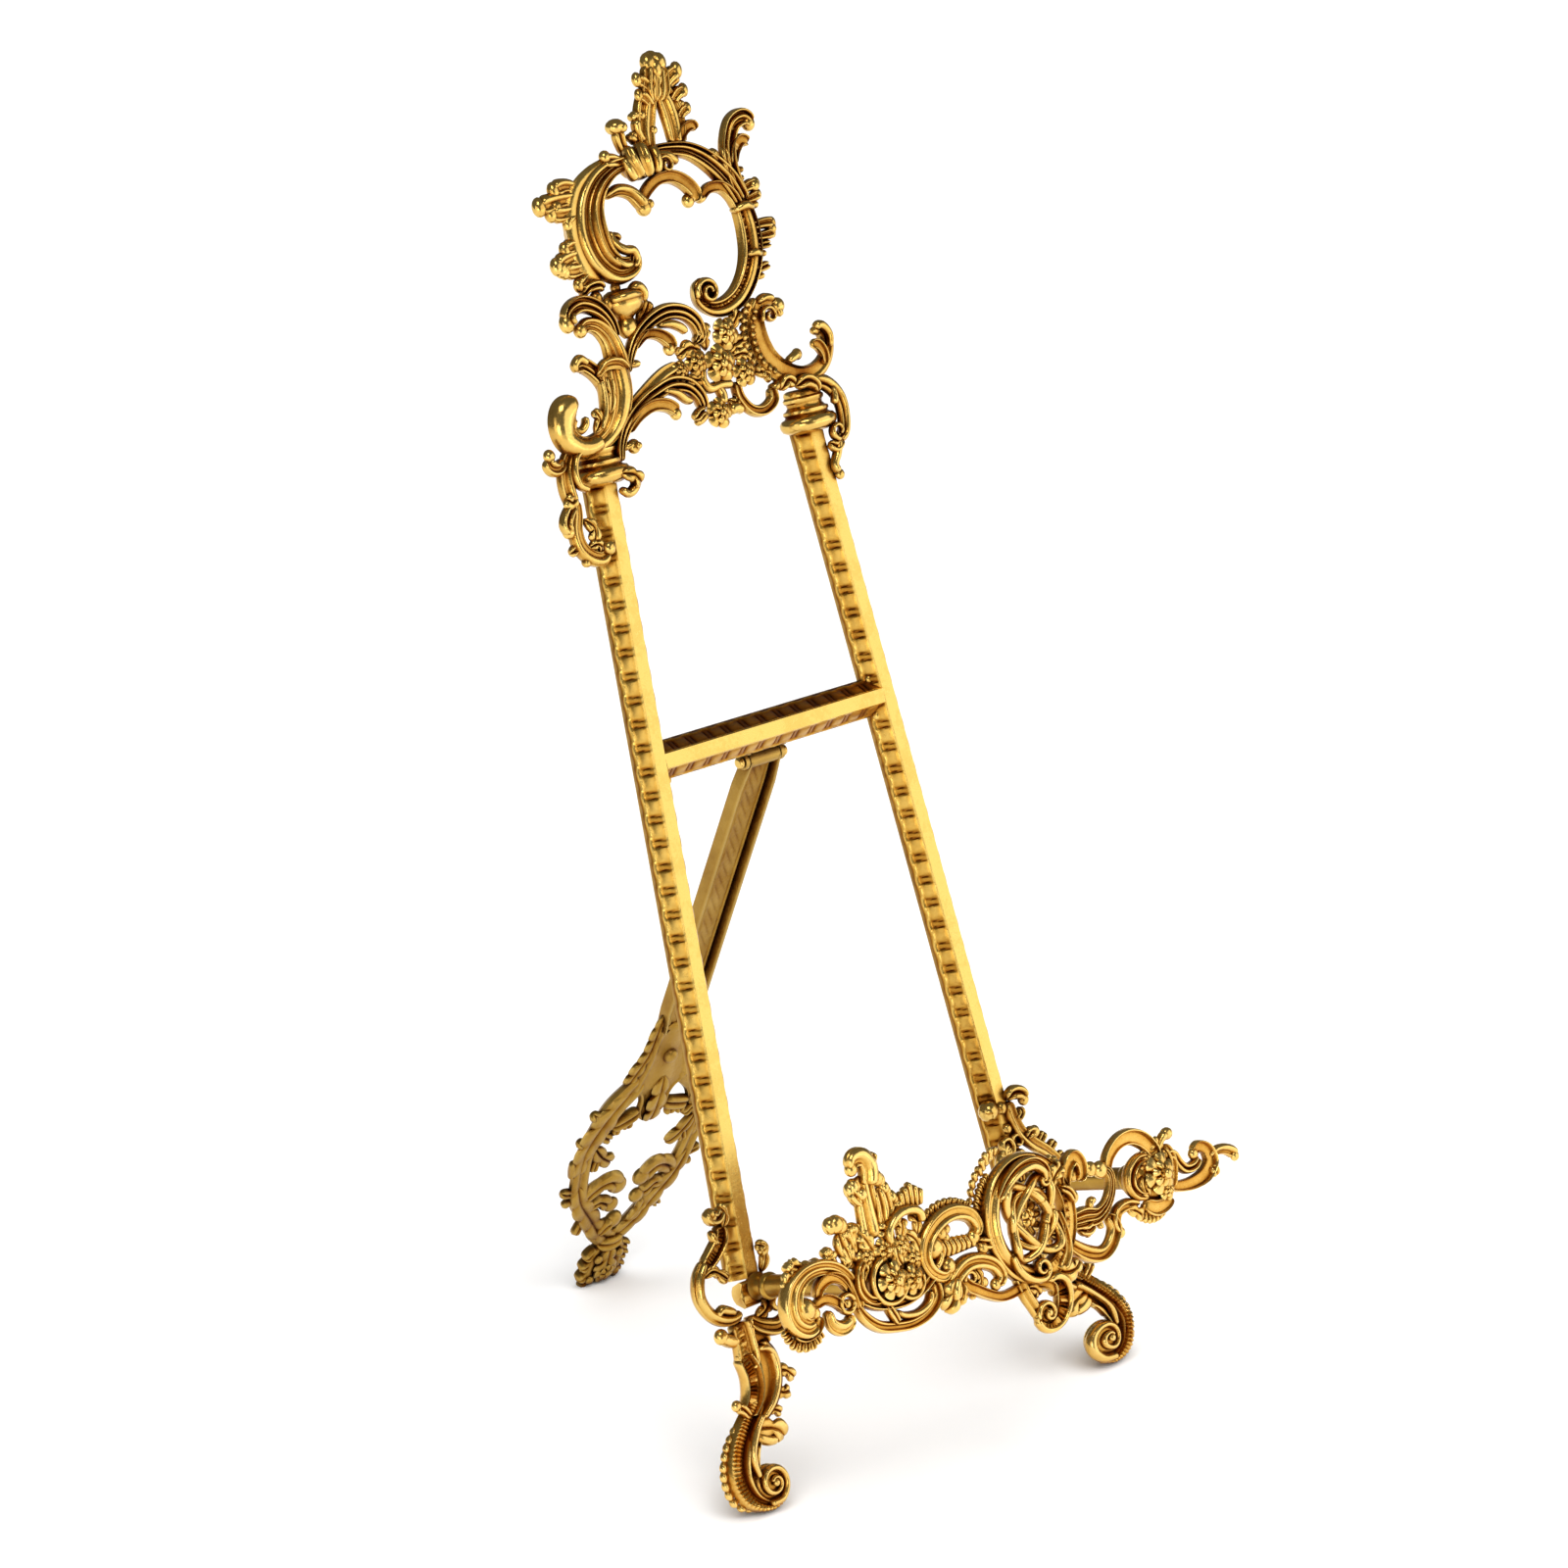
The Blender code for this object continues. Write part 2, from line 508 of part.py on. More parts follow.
def make_crest(plane):
    pieces = []

    def casting(name, solids, cut=()):
        pieces.append(fuse(name, solids, plane, cut=cut))

    casting("crest_left_acanthus", [
        add_scroll([(-62, 382, 6), (-60.5, 377.2, 6), (-53, 374.6, 6), (-44, 375.9, 7.5), (-37.4, 382, 9),
                    (-34.4, 392, 9), (-34.6, 401, 8), (-39, 409.6, 6.5), (-46.5, 413.6, 5.5), (-53, 411.8, 4)],
                   -6.0, 1.2),
        add_disc(-62.6, 380.8, 7.0, -7.0, 2.4),
        add_scroll([(-41, 384, 8), (-45, 391, 6), (-50, 396.4, 4.6), (-55.4, 396.4, 3.4)], -5.4, 0.6),
        add_scroll([(-36, 398, 5), (-40.6, 405, 5), (-47.6, 408.2, 3.6)], -5.0, 0.2)])
    casting("crest_left_branch", [
        add_scroll([(-34.2, 374, 3.4), (-28, 380, 4.6), (-19, 384, 5), (-11, 384.2, 4.6), (-5, 380.8, 4),
                    (-3.2, 375, 3.6), (-5, 370.4, 3)], -5.6, 0.4),
        add_scroll([(-30, 378.4, 3.6), (-24, 379, 4), (-18.6, 376.6, 4.4), (-15.4, 373.2, 2.6)], -5.0, 0.0)])
    casting("crest_upper_branch", [
        add_scroll([(-28.2, 396, 3), (-24, 401.4, 4.4), (-15, 407.2, 5), (-5.5, 408.2, 5), (1.4, 404.6, 4.4),
                    (1.6, 399.6, 3)], -5.2, 0.6),
        add_scroll([(-20, 404, 3.4), (-14.6, 402, 4), (-11, 397.2, 4), (-10.6, 394.4, 2.6)], -4.6, 0.2),
        add_scroll([(-17.4, 406, 5), (-14, 411.6, 4)], -4.4, -0.4)])
    casting("crest_cup", [
        turned([(411, 3.4), (412, 6.6), (414.6, 8.2), (417.4, 8.4), (419.4, 6.6)], (-25.6, 0, -2.4), (1, 0, 0),
               (0, 1, 0), sides=12, squash=0.6),
        turned([(406.2, 1.8), (407.2, 2.9), (408.6, 3.3), (410.2, 2.9), (411.6, 2.2)], (-25.6, 0, -2.3),
               (1, 0, 0), (0, 1, 0), sides=8)])
    casting("crest_crescent", [
        add_scroll([(-19.6, 429.4, 6.6), (-25.6, 426.4, 10), (-32.6, 430, 15), (-35.6, 440, 16),
                    (-34, 449.6, 14), (-27.6, 457.4, 9), (-17.4, 461, 5)], -6.6, 1.6),
        add_scroll([(-37, 451, 10), (-45, 452, 10), (-51.4, 451.4, 8)], -5.6, 0.6),
        add_scroll([(-38, 433, 11), (-46, 433.2, 11), (-52.6, 431.6, 6)], -5.8, 0.9),
        add_scroll([(-31, 424, 4), (-32.2, 420.2, 4)], -4.6, -0.4)])
    casting("crest_knot", [
        add_disc(-7.2, 460.6, 7.6, -6.2, 3.0, sides=12),
        add_scroll([(-9.6, 466, 5), (-12.4, 472.6, 5.4), (-13, 475.4, 4.6)], -5.2, 0.8),
        add_scroll([(-12, 466.6, 4), (-18, 467.2, 4.2), (-22.4, 467.6, 2.6)], -4.9, 0.2),
        add_scroll([(-10, 456, 5), (-10.6, 450.6, 4.6), (-8, 446, 5)], -5.0, 1.3),
        add_scroll([(-1.6, 455, 5), (6, 454, 4), (12, 450.4, 4), (13.6, 445.4, 4.6)], -4.8, 0.4)])
    casting("crest_finial", [
        add_plate([(-3.4, 467.4), (-3.6, 476), (-1.2, 479), (-1.4, 484.6), (2, 489), (5.6, 490.6), (6, 495.2),
                   (10, 497.4), (16, 495.4), (17, 491.2), (21, 489), (20.8, 484), (21.4, 479.6), (18, 473.4),
                   (22.4, 470), (20, 467.4), (9.6, 467.4), (10, 474), (7.6, 480), (5.4, 474), (5, 467.4)],
                  -4.8, 0.2),
        add_disc(11.4, 493.1, 4.9, -5.3, 2.2, squash=0.7, sides=10)])
    casting("crest_arch", [
        add_scroll([(1.6, 463.6, 4), (10, 463.4, 5), (19, 459.6, 6), (27.6, 452.6, 7), (33.6, 445.4, 8.4),
                    (36, 440.2, 9)], -6.0, 1.2),
        add_scroll([(33.8, 448, 5), (35.4, 457, 6), (38.6, 465.4, 5.6), (44, 469, 4.6), (48, 467, 3)], -5.0, 0.6),
        add_scroll([(36.4, 455, 4), (40, 460.6, 4), (44.6, 460.6, 3)], -4.6, 0.0),
        add_scroll([(31, 445, 5), (25.6, 447.4, 4), (20.4, 446.4, 4), (17.4, 443.8, 2.8)], -5.2, 0.3),
        add_scroll([(36.6, 447, 4), (42.6, 444.4, 5), (45.4, 443.6, 3)], -4.7, 0.2)])
    casting("crest_c_scroll", [
        add_scroll([(35.6, 438.6, 9), (36, 428, 9), (32.8, 418, 8.4), (26, 411, 7), (17.4, 408.4, 5.6),
                    (11, 409.4, 4.4)], -6.4, 1.0),
        add_disc(11, 412.6, 5.2, -6.8, 2.6),
        add_scroll([(39, 428.4, 7), (45.6, 428.4, 4)], -5.0, -0.4),
        add_scroll([(36.6, 418.4, 4), (41.4, 416.4, 2.6)], -4.8, -0.8)])
    casting("crest_shell_scroll", [
        add_scroll([(36.8, 402.2, 3.6), (31.8, 398, 5), (29.6, 389.6, 6.4), (33.2, 382, 7.4), (42, 377.8, 6),
                    (52, 377.4, 5.4), (59, 381.4, 5), (60.4, 388, 4.4), (57, 391.8, 3.4)], -6.2, 0.8),
        add_disc(42, 402, 3.1, -5.0, 1.0, sides=12),
        add_scroll([(36, 401.4, 3.2), (40, 402.4, 3)], -4.6, 0.4),
        add_scroll([(46.6, 377, 7), (47, 372.4, 8.6)], -5.4, 0.2)])
    casting("crest_flowers", [
        add_disc(9.6, 388.2, 6.2, -4.4, 4.4),
        add_disc(0.8, 390.4, 4.4, -4.0, 3.2, sides=10),
        add_disc(18.6, 383.4, 5.2, -4.1, 3.8, sides=10),
        add_disc(17.6, 393.4, 6.0, -3.8, 2.8),
        add_disc(8.6, 396.4, 4.2, -3.6, 2.0, sides=10),
        add_disc(7.6, 379.6, 4.4, -3.5, 2.2, sides=10),
        add_disc(6.0, 371.8, 5.0, -3.9, 3.4, sides=10),
        add_scroll([(7.0, 378, 4), (6.4, 374, 4)], -3.2, 1.2),
        add_scroll([(15.4, 380, 3), (16.4, 371.4, 2.8), (24, 367.8, 2.8), (30.4, 370.6, 2.8), (31, 373.6, 2.4)],
                   -3.7, 0.6)])
    return pieces


def make_drop(name, side, plane):
    """The curled drop outside each capital."""
    band = [(-62.0, 370, 3.4), (-66.4, 367, 4.4), (-67.4, 360, 4.4), (-66.6, 353, 4.4), (-64, 347.4, 3.6)]
    leaf = [(-67.4, 366, 4.4), (-73, 366, 4.4), (-76, 369.2, 4)]
    tail = [(-64.8, 349, 3.4), (-67.8, 342, 3.6), (-66.6, 336, 3.6), (-62.4, 334, 3)]
    solids = [add_scroll(mirrored(band, side), -5.8, -0.2), add_scroll(mirrored(leaf, side), -5.4, 0.2),
              add_scroll(mirrored(tail, side), -5.5, -0.6)]
    return fuse(name, solids, plane)


def make_gallery(plane):
    """The pierced front: an oval cartouche between two unlike runs of scrolls."""
    def casting(name, solids, curled=False):
        fuse(name, solids, plane, curled=curled)

    ring = add_ring(0, 79.4, 20.6, 22.2, 5.2, -1.5, 6.5)
    casting("cartouche", [ring])
    weave = [add_ring(0, 79.4, 8.6, 11.4, 2.4, 0.2, 4.2, sides=16),
             add_scroll([(-14.9, 79.4, 2.6), (14.9, 79.4, 2.6)], 0.6, 3.6, per_span=1),
             add_scroll([(0, 62.9, 2.4), (0, 95.9, 2.4)], 0.8, 3.4, per_span=1)]
    casting("cartouche_straps", weave)

    casting("gallery_left_scroll", [
        add_scroll([(-27, 81.6, 3), (-23.8, 85.2, 3.4), (-27.4, 90.2, 3.8), (-36, 91.6, 4), (-44.6, 88.4, 4),
                    (-48.4, 81, 4), (-46.6, 74.6, 3.8), (-41.6, 72.4, 3.4)], -2.4, 2.8),
        add_scroll([(-43.4, 62.4, 6), (-41.2, 67.6, 6), (-35.4, 71.4, 4), (-27, 71, 4), (-22.6, 68.4, 3.4)],
                   -2.2, 2.5),
        add_scroll([(-45.4, 83, 4), (-39, 80.6, 4), (-30, 81.6, 5), (-26.4, 82, 3.4)], -1.8, 1.9),
        add_scroll([(-44, 73, 3), (-38, 69.6, 3)], -2.0, 1.6)])
    casting("gallery_lower_scroll", [
        add_scroll([(-33.8, 65.4, 3), (-31.4, 60.4, 3), (-25, 57.6, 3.4), (-16.4, 57.8, 3.6)], -1.9, 2.2)])

    casting("gallery_left_loops", [
        add_scroll([(-81.4, 70.2, 3.4), (-76.6, 65.6, 3.4), (-69, 62.4, 3.4), (-60, 61.4, 3.6), (-52, 63.6, 3.4),
                    (-47.6, 68.4, 3.2)], -1.7, 2.4),
        add_scroll([(-78.6, 68, 2.6), (-77.4, 71.6, 2.6)], -1.4, 1.8),
        add_scroll([(-69.6, 63, 2.6), (-69, 66.6, 2.6)], -1.3, 1.6)])
    casting("gallery_left_boss", [
        turned([(-7.6, 7.6), (-6.8, 8.6), (-2.4, 9.4), (-1.8, 8.2)], (-ARM_X, 77.2, 0), (1, 0, 0), (0, 0, 1),
               sides=14),
        add_disc(-66.4, 77.4, 7.2, -3, 6.4),
        add_disc(-57.6, 75.6, 4.6, -3.4, 4.6, sides=10),
        add_disc(-72.6, 84, 4.6, -3.6, 3.4, sides=10),
        add_disc(-60, 86.4, 6.4, -3.2, 3.8),
        add_disc(-66, 90.6, 5.0, -3.5, 2.4, sides=10),
        add_scroll([(-76, 80, 4), (-78.4, 90, 5), (-74, 94, 4)], -2.9, 1.6),
        add_scroll([(-61, 90, 3.4), (-56, 96.4, 3.4), (-50, 95.6, 3.4), (-46, 91.4, 3)], -2.8, 2.0),
        add_scroll([(-52.4, 74.6, 3), (-55.4, 70, 3), (-62, 69.4, 3), (-71, 71.4, 3)], -2.7, 1.4)])
    casting("gallery_plume", [
        add_plate([(-71.4, 96.2), (-61.6, 98.8), (-53.4, 98.8), (-54.6, 103), (-58.2, 106.4), (-57.6, 111),
                   (-61.6, 113.6), (-65, 114.2), (-61.4, 117.2), (-64.4, 120), (-67, 121.6), (-70.4, 119),
                   (-70.6, 114), (-73.2, 110.6), (-71.2, 106.6), (-69, 104.4)], -2.0, 2.0)])
    casting("gallery_left_end", [
        add_scroll([(-98.2, 74.6, 5), (-103.4, 73.2, 7), (-108, 77.6, 8.4), (-106.2, 85, 7), (-98, 88.6, 5.6),
                    (-89.4, 86.8, 5), (-83.4, 80.6, 4.6), (-82.6, 74, 4)], -2.6, 2.6),
        add_scroll([(-105, 80.4, 3), (-99, 81.2, 3), (-94.4, 80.2, 3.4), (-90.4, 76, 3), (-91.4, 72, 4.4), (-87.6, 69.6, 3.4)],
                   -2.2, 1.8),
        add_scroll([(-103.6, 88.6, 5), (-100, 92.6, 6), (-91.4, 92.4, 6), (-86, 90, 6)], -2.0, 1.2),
        add_scroll([(-88, 90, 6), (-83, 95.6, 7), (-85.6, 101.4, 6)], -1.8, 1.5),
        add_scroll([(-110, 74, 5), (-110, 69.4, 6), (-103, 68.8, 4)], -1.9, 1.4)], curled=True)
    casting("gallery_right_scrolls", [
        add_scroll([(22.4, 76, 7), (27.2, 72.8, 6), (34, 71.8, 5), (38.4, 75, 4), (40.6, 81, 3.6), (38.4, 86, 4)],
                   -2.4, 2.4),
        add_scroll([(25, 70, 6), (25.6, 63, 5), (30, 58.2, 4), (36.4, 60, 4.2), (39, 66, 4.4), (36.6, 71, 4)],
                   -2.1, 2.1),
        add_scroll([(41, 82, 3), (44.6, 89.8, 3.6), (53, 93.2, 4), (60.6, 90.6, 4.4), (63.8, 87.8, 4.4)],
                   -2.2, 1.9),
        add_scroll([(39.6, 64, 3), (41, 69, 3), (45.6, 71.4, 3), (50.6, 69.8, 3.4)], -1.9, 1.6),
        add_scroll([(24.2, 76.4, 4), (25.8, 87.4, 5), (27.6, 92, 4)], -1.8, 1.7)])
    casting("gallery_right_boss", [
        turned([(-7.6, 7.6), (-6.8, 8.6), (-2.4, 9.4), (-1.8, 8.2)], (ARM_X, 77.2, 0), (1, 0, 0), (0, 0, 1),
               sides=14),
        add_disc(64.8, 76.6, 8.2, -3, 6.2, squash=1.05),
        add_scroll([(55, 68.6, 4), (60.6, 65.4, 5), (67.6, 66.6, 4)], -2.9, 2.2),
        add_scroll([(67, 83, 3), (68.6, 86.6, 3), (72.4, 88.6, 3.4)], -2.8, 1.2)])
    casting("gallery_right_tip", [
        add_scroll([(76.0, 73.2, 4), (79, 71, 4), (84.6, 70.6, 4.4), (90.2, 73.8, 5), (90.4, 78.4, 4.6),
                    (86, 79.4, 3.6)], -2.3, 2.2),
        add_scroll([(75.8, 79.2, 3), (78.6, 76, 3), (83.6, 75.4, 2.6)], -2.0, 1.7),
        add_scroll([(90.6, 75.4, 4), (97, 76, 4), (102, 75, 4), (104, 73, 3)], -1.9, 1.4),
        add_scroll([(76.6, 72.4, 1.8), (76.6, 78.4, 1.8)], -1.5, 1.0),
        add_scroll([(91, 74.4, 4), (92.4, 69, 3.4)], -1.7, 1.2)])
    casting("pendant", [
        add_scroll([(-6.6, 55.6, 4), (-5, 48, 4), (-1.6, 43.4, 5), (4.4, 43.2, 5.4), (8.4, 48.6, 5.4),
                    (7, 54.6, 4.4)], -2.4, 2.6),
        add_disc(-0.6, 46.2, 3.8, -2.8, 3.6, sides=10)])


def build():
    clear_scene()
    frame_plane = plane_empty("frame_plane", (CENTRE_X, PLANE_Y, 0), math.pi / 2 - LEAN)
    gallery_plane = plane_empty("gallery_plane", (0, 0, GALLERY_G * MM), 0.0, frame_plane)
    pin_y = PLANE_Y + (PIN_S * math.sin(LEAN) - PIN_G * math.cos(LEAN)) * MM
    strut = plane_empty("strut_axis", (CENTRE_X, pin_y, strut_height() * MM), math.pi / 2 + STRUT_ANGLE)
    for label, side in (("left", -1), ("right", 1)):
        make_rail("rail_" + label, side, frame_plane)
        make_capital("capital_" + label, side, frame_plane)
        make_drop("drop_" + label, side, frame_plane)
        make_socket("socket_" + label, side, frame_plane)
        make_arm("arm_" + label, side, frame_plane)
        make_bracket("arm_leaf_" + label, side, frame_plane)
        make_side_scroll("side_scroll_" + label, side, frame_plane)
        make_foot("foot_" + label, side, frame_plane)
    make_crossbar(frame_plane)
    make_hinge_bracket(frame_plane)
    make_crest(frame_plane)
    make_gallery(gallery_plane)
    make_pin(strut)
    make_strut_bar(strut)
    make_rear_leg(strut)
    make_rivet(strut)
    make_rear_foot(strut)


build()
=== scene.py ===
"""Looks of the brass display easel: detailed castings, brass, floor, lights and camera."""
import json
import math
import bpy
import numpy as np
from mathutils import Matrix, Vector


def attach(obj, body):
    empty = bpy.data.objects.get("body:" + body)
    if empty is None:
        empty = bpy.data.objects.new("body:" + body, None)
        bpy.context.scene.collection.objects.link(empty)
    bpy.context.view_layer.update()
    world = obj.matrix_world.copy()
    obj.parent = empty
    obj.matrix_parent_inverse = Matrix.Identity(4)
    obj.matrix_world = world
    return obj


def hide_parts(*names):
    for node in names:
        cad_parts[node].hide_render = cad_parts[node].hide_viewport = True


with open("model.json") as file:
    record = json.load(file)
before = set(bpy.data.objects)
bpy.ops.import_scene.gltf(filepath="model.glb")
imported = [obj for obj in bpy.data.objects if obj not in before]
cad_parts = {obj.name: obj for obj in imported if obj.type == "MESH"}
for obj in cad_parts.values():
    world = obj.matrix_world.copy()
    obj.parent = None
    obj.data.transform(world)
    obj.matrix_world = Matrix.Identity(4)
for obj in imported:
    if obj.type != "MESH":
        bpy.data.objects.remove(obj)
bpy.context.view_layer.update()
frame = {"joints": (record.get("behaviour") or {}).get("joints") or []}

# ---------------------------------------------------------------- driving dimensions
MM = 0.001
LEAN = math.radians(18.75)          # how far the frame leans back
STRUT_ANGLE = math.radians(21.7)    # how far the open rear leg leans forward
CENTRE_X = 0.004                    # the easel's middle, m
PLANE_Y = -0.0667                   # where the frame's front plane meets the table, m
GALLERY_G = 70.0                    # how far the ledge stands in front of the frame, mm
RAIL_FOOT, RAIL_TOP = 78.8, 356.6   # the rails' ends
RAIL_SPREAD, RAIL_TAPER = 70.8, 0.0616
FACE_HALF, BACK_HALF = 2.5, 6.8     # half widths of a rail's front face and back
RAIL_DEPTH, RIM_DEPTH = 6.0, 1.6
CROSSBAR_S = 258.7
ARM_X, ARM_S = 65.6, 75.4           # the two arms that carry the ledge
OVAL_X, OVAL_S = 0.6, 79.4          # middle of the ledge's oval
OVAL_WIDE, OVAL_TALL = 17.6, 19.4   # its half width and half height
PATTERN = 8.3                       # pitch of the chased pattern on rails and crossbar
CUSHION = 0.62                      # share of the pitch that a raised cushion takes up
GROOVES = (0.66, 0.92)              # where the two cuts between cushions lie in the pitch
GROOVE_HALF = 0.036                 # half width of such a cut, as a share of the pitch
ROW_STEP = 0.42                     # how fine the bar's rows of points are
SLANT = 0.10                        # how far a cut leans across the flank
PANEL_FROM, PANEL_WIDE = 0.13, 0.62  # the chased panel's place on the flank, from face to rim
BEADING, BEADING_HALF = 0.84, 0.07  # the raised line beside the rim
PIN_S, PIN_HOLE = 249.2, 1.75       # the hinge pin's place up the frame, and its hole's radius


def leaning_plane(origin, angle):
    """Casting coordinates to the world: x across, s up the casting, g out of its front."""
    m = Matrix.Identity(4)
    m.col[0][:3] = (MM, 0, 0)
    m.col[1][:3] = (0, MM * math.sin(angle), MM * math.cos(angle))
    m.col[2][:3] = (0, -MM * math.cos(angle), MM * math.sin(angle))
    m.col[3][:3] = origin
    return m


FRAME_PLANE = leaning_plane((CENTRE_X, PLANE_Y, 0), LEAN)
GALLERY_PLANE = FRAME_PLANE @ Matrix.Translation((0, 0, GALLERY_G))
PIVOT = next(Vector(joint["pos_m"]) for joint in frame["joints"] if joint["name"] == "strut_fold")
STRUT_PLANE = leaning_plane(PIVOT, -STRUT_ANGLE)


# ---------------------------------------------------------------- brass
SHADE_AND_DIRT_REACH = 0.0045               # how near a surface has to be to darken another with dirt and painted shade, m
BLOTCH_SCALE, SPECK_SCALE = 85.0, 700.0
SPECK_STRENGTH, SPECK_GLOSS = 0.22, 0.16
LIT_AND_CLEAN_SHARE = 0.40                 # how much the marks lighten the metal: raised parts clean and lit, grooves dark with patina and painted shade
GLOSS_SPREAD = 0.20                 # how much duller the hollows are
BUMP_HEIGHT = 0.00025
# sharp edges are lightened: real wear and a painted highlight
EDGE_FROM, EDGE_TO, EDGE_WEAR_AND_HIGHLIGHT = 0.53, 0.62, 0.75
WORN_AND_HIGHLIT = (0.95, 0.70, 0.22)
# colours for the hollows: tarnish, and painted shade where the light falls short
TARNISH_AND_SHADE = ((0.05, (0.060, 0.014, 0.001)), (0.32, (0.260, 0.072, 0.006)), (0.62, (0.55, 0.28, 0.030)))
CLEAN_AT = 0.97


def brass(name, shade, red, rough, patina, grain, grime_and_shade=1.1, clean=(0.80, 0.50, 0.09)):
    """Cast brass: dark brown in the hollows from tarnish, dirt and painted shade, light on sharp edges
    from wear and a painted highlight.

    shade and red tint the colour, rough is the gloss of the clean metal, patina the strength of the
    blotches, grain that of the fine bumps, grime_and_shade how dark the hollows are painted, for dirt and
    painted shade, clean the colour of clean metal."""
    mat = bpy.data.materials.new(name)
    mat.use_nodes = True
    nodes, links = mat.node_tree.nodes, mat.node_tree.links
    nodes.clear()

    def node(kind, **values):
        n = nodes.new(kind)
        for key, value in values.items():
            setattr(n, key, value)
        return n

    def math_node(operation, *values, clamp=False):
        n = node("ShaderNodeMath", operation=operation, use_clamp=clamp)
        for socket, value in zip(n.inputs, values):
            if isinstance(value, (int, float)):
                socket.default_value = value
            else:
                links.new(value, socket)
        return n.outputs[0]

    def noise(scale, detail, roughness=0.55):
        n = node("ShaderNodeTexNoise")
        links.new(coords.outputs["Object"], n.inputs["Vector"])
        n.inputs["Scale"].default_value = scale
        n.inputs["Detail"].default_value = detail
        n.inputs["Roughness"].default_value = roughness
        return n.outputs["Fac"]

    def about_zero(value, strength):
        return math_node("MULTIPLY", math_node("SUBTRACT", value, 0.5), strength)

    def tinted(colour):
        r, g, b = colour
        return (r * shade, g * shade / red, b * shade / red, 1.0)

    coords = node("ShaderNodeTexCoord")
    lit_and_clean_marks = node("ShaderNodeAttribute", attribute_name="lit_and_clean_marks").outputs["Fac"]
    hollow_shade = node("ShaderNodeAmbientOcclusion", samples=8)
    hollow_shade.inputs["Distance"].default_value = SHADE_AND_DIRT_REACH
    edges = node("ShaderNodeNewGeometry").outputs["Pointiness"]
    blotches = noise(BLOTCH_SCALE, 4.0)
    specks = noise(SPECK_SCALE, 3.0, 0.65)

    # 0 is a hollow darkened with dirt and painted shade, 1 is clean metal with no painted shade
    clear_of_dirt_and_shade = math_node("POWER", hollow_shade.outputs["AO"], grime_and_shade)
    bare_and_lit = math_node("MULTIPLY", clear_of_dirt_and_shade, math_node("MULTIPLY_ADD", lit_and_clean_marks, LIT_AND_CLEAN_SHARE,
                                                     1 - LIT_AND_CLEAN_SHARE))
    stains = math_node("ADD", about_zero(blotches, patina), about_zero(specks, SPECK_STRENGTH))
    bare_and_lit = math_node("ADD", bare_and_lit, stains, clamp=True)

    ramp = node("ShaderNodeValToRGB")
    ramp.color_ramp.interpolation = "B_SPLINE"
    stops = TARNISH_AND_SHADE + ((CLEAN_AT, clean),)
    elements = ramp.color_ramp.elements
    while len(elements) < len(stops):
        elements.new(0.5)
    for element, (place, colour) in zip(elements, stops):
        element.position = place
        element.color = tinted(colour)
    links.new(bare_and_lit, ramp.inputs["Fac"])

    # sharp edges lightened by wear and by a painted highlight
    worn_and_highlit = node("ShaderNodeMix", data_type="RGBA")
    edge_wear_and_highlight = node("ShaderNodeMapRange")
    edge_wear_and_highlight.inputs["From Min"].default_value = EDGE_FROM
    edge_wear_and_highlight.inputs["From Max"].default_value = EDGE_TO
    edge_wear_and_highlight.inputs["To Max"].default_value = EDGE_WEAR_AND_HIGHLIGHT
    links.new(edges, edge_wear_and_highlight.inputs["Value"])
    links.new(edge_wear_and_highlight.outputs[0], worn_and_highlit.inputs["Factor"])
    links.new(ramp.outputs["Color"], worn_and_highlit.inputs["A"])
    worn_and_highlit.inputs["B"].default_value = tinted(WORN_AND_HIGHLIT)

    gloss = math_node("MULTIPLY_ADD", bare_and_lit, -GLOSS_SPREAD, rough + GLOSS_SPREAD)
    gloss = math_node("ADD", gloss, about_zero(specks, SPECK_GLOSS), clamp=True)

    bump = node("ShaderNodeBump")
    bump.inputs["Strength"].default_value = grain
    bump.inputs["Distance"].default_value = BUMP_HEIGHT
    links.new(math_node("ADD", specks, math_node("MULTIPLY", blotches, 0.8)), bump.inputs["Height"])

    shader = node("ShaderNodeBsdfPrincipled")
    shader.inputs["Metallic"].default_value = 1.0
    links.new(worn_and_highlit.outputs["Result"], shader.inputs["Base Color"])
    links.new(gloss, shader.inputs["Roughness"])
    links.new(bump.outputs["Normal"], shader.inputs["Normal"])
    out = node("ShaderNodeOutputMaterial")
    links.new(shader.outputs[0], out.inputs[0])
    return mat


BRIGHT = brass("bright_brass", 0.90, 1.05, 0.17, 0.75, 0.30, 2.2, (0.80, 0.56, 0.15))
# a lighter copy of the bright brass for the feet: painted light
FOOT_PAINTED_LIGHT = brass("foot_brass_painted_light", 1.06, 1.02, 0.20, 0.45, 0.30, 1.2, (0.78, 0.53, 0.16))
# a lighter copy of the bright brass for the ledge: painted light
LEDGE_PAINTED_LIGHT = brass("ledge_brass_painted_light", 1.09, 1.0, 0.20, 0.45, 0.30, 1.25, (0.79, 0.53, 0.16))
RAIL = brass("rail_brass", 0.98, 1.0, 0.25, 0.30, 0.10, 1.1, (0.78, 0.54, 0.14))
BROWN = brass("brown_brass", 0.62, 1.06, 0.30, 0.55, 0.35)
DULL = brass("dull_brass", 0.54, 1.05, 0.34, 0.85, 0.70, 1.7)
FINISH = {"bright_brass": BRIGHT, "brown_brass": BROWN, "dull_brass": DULL}


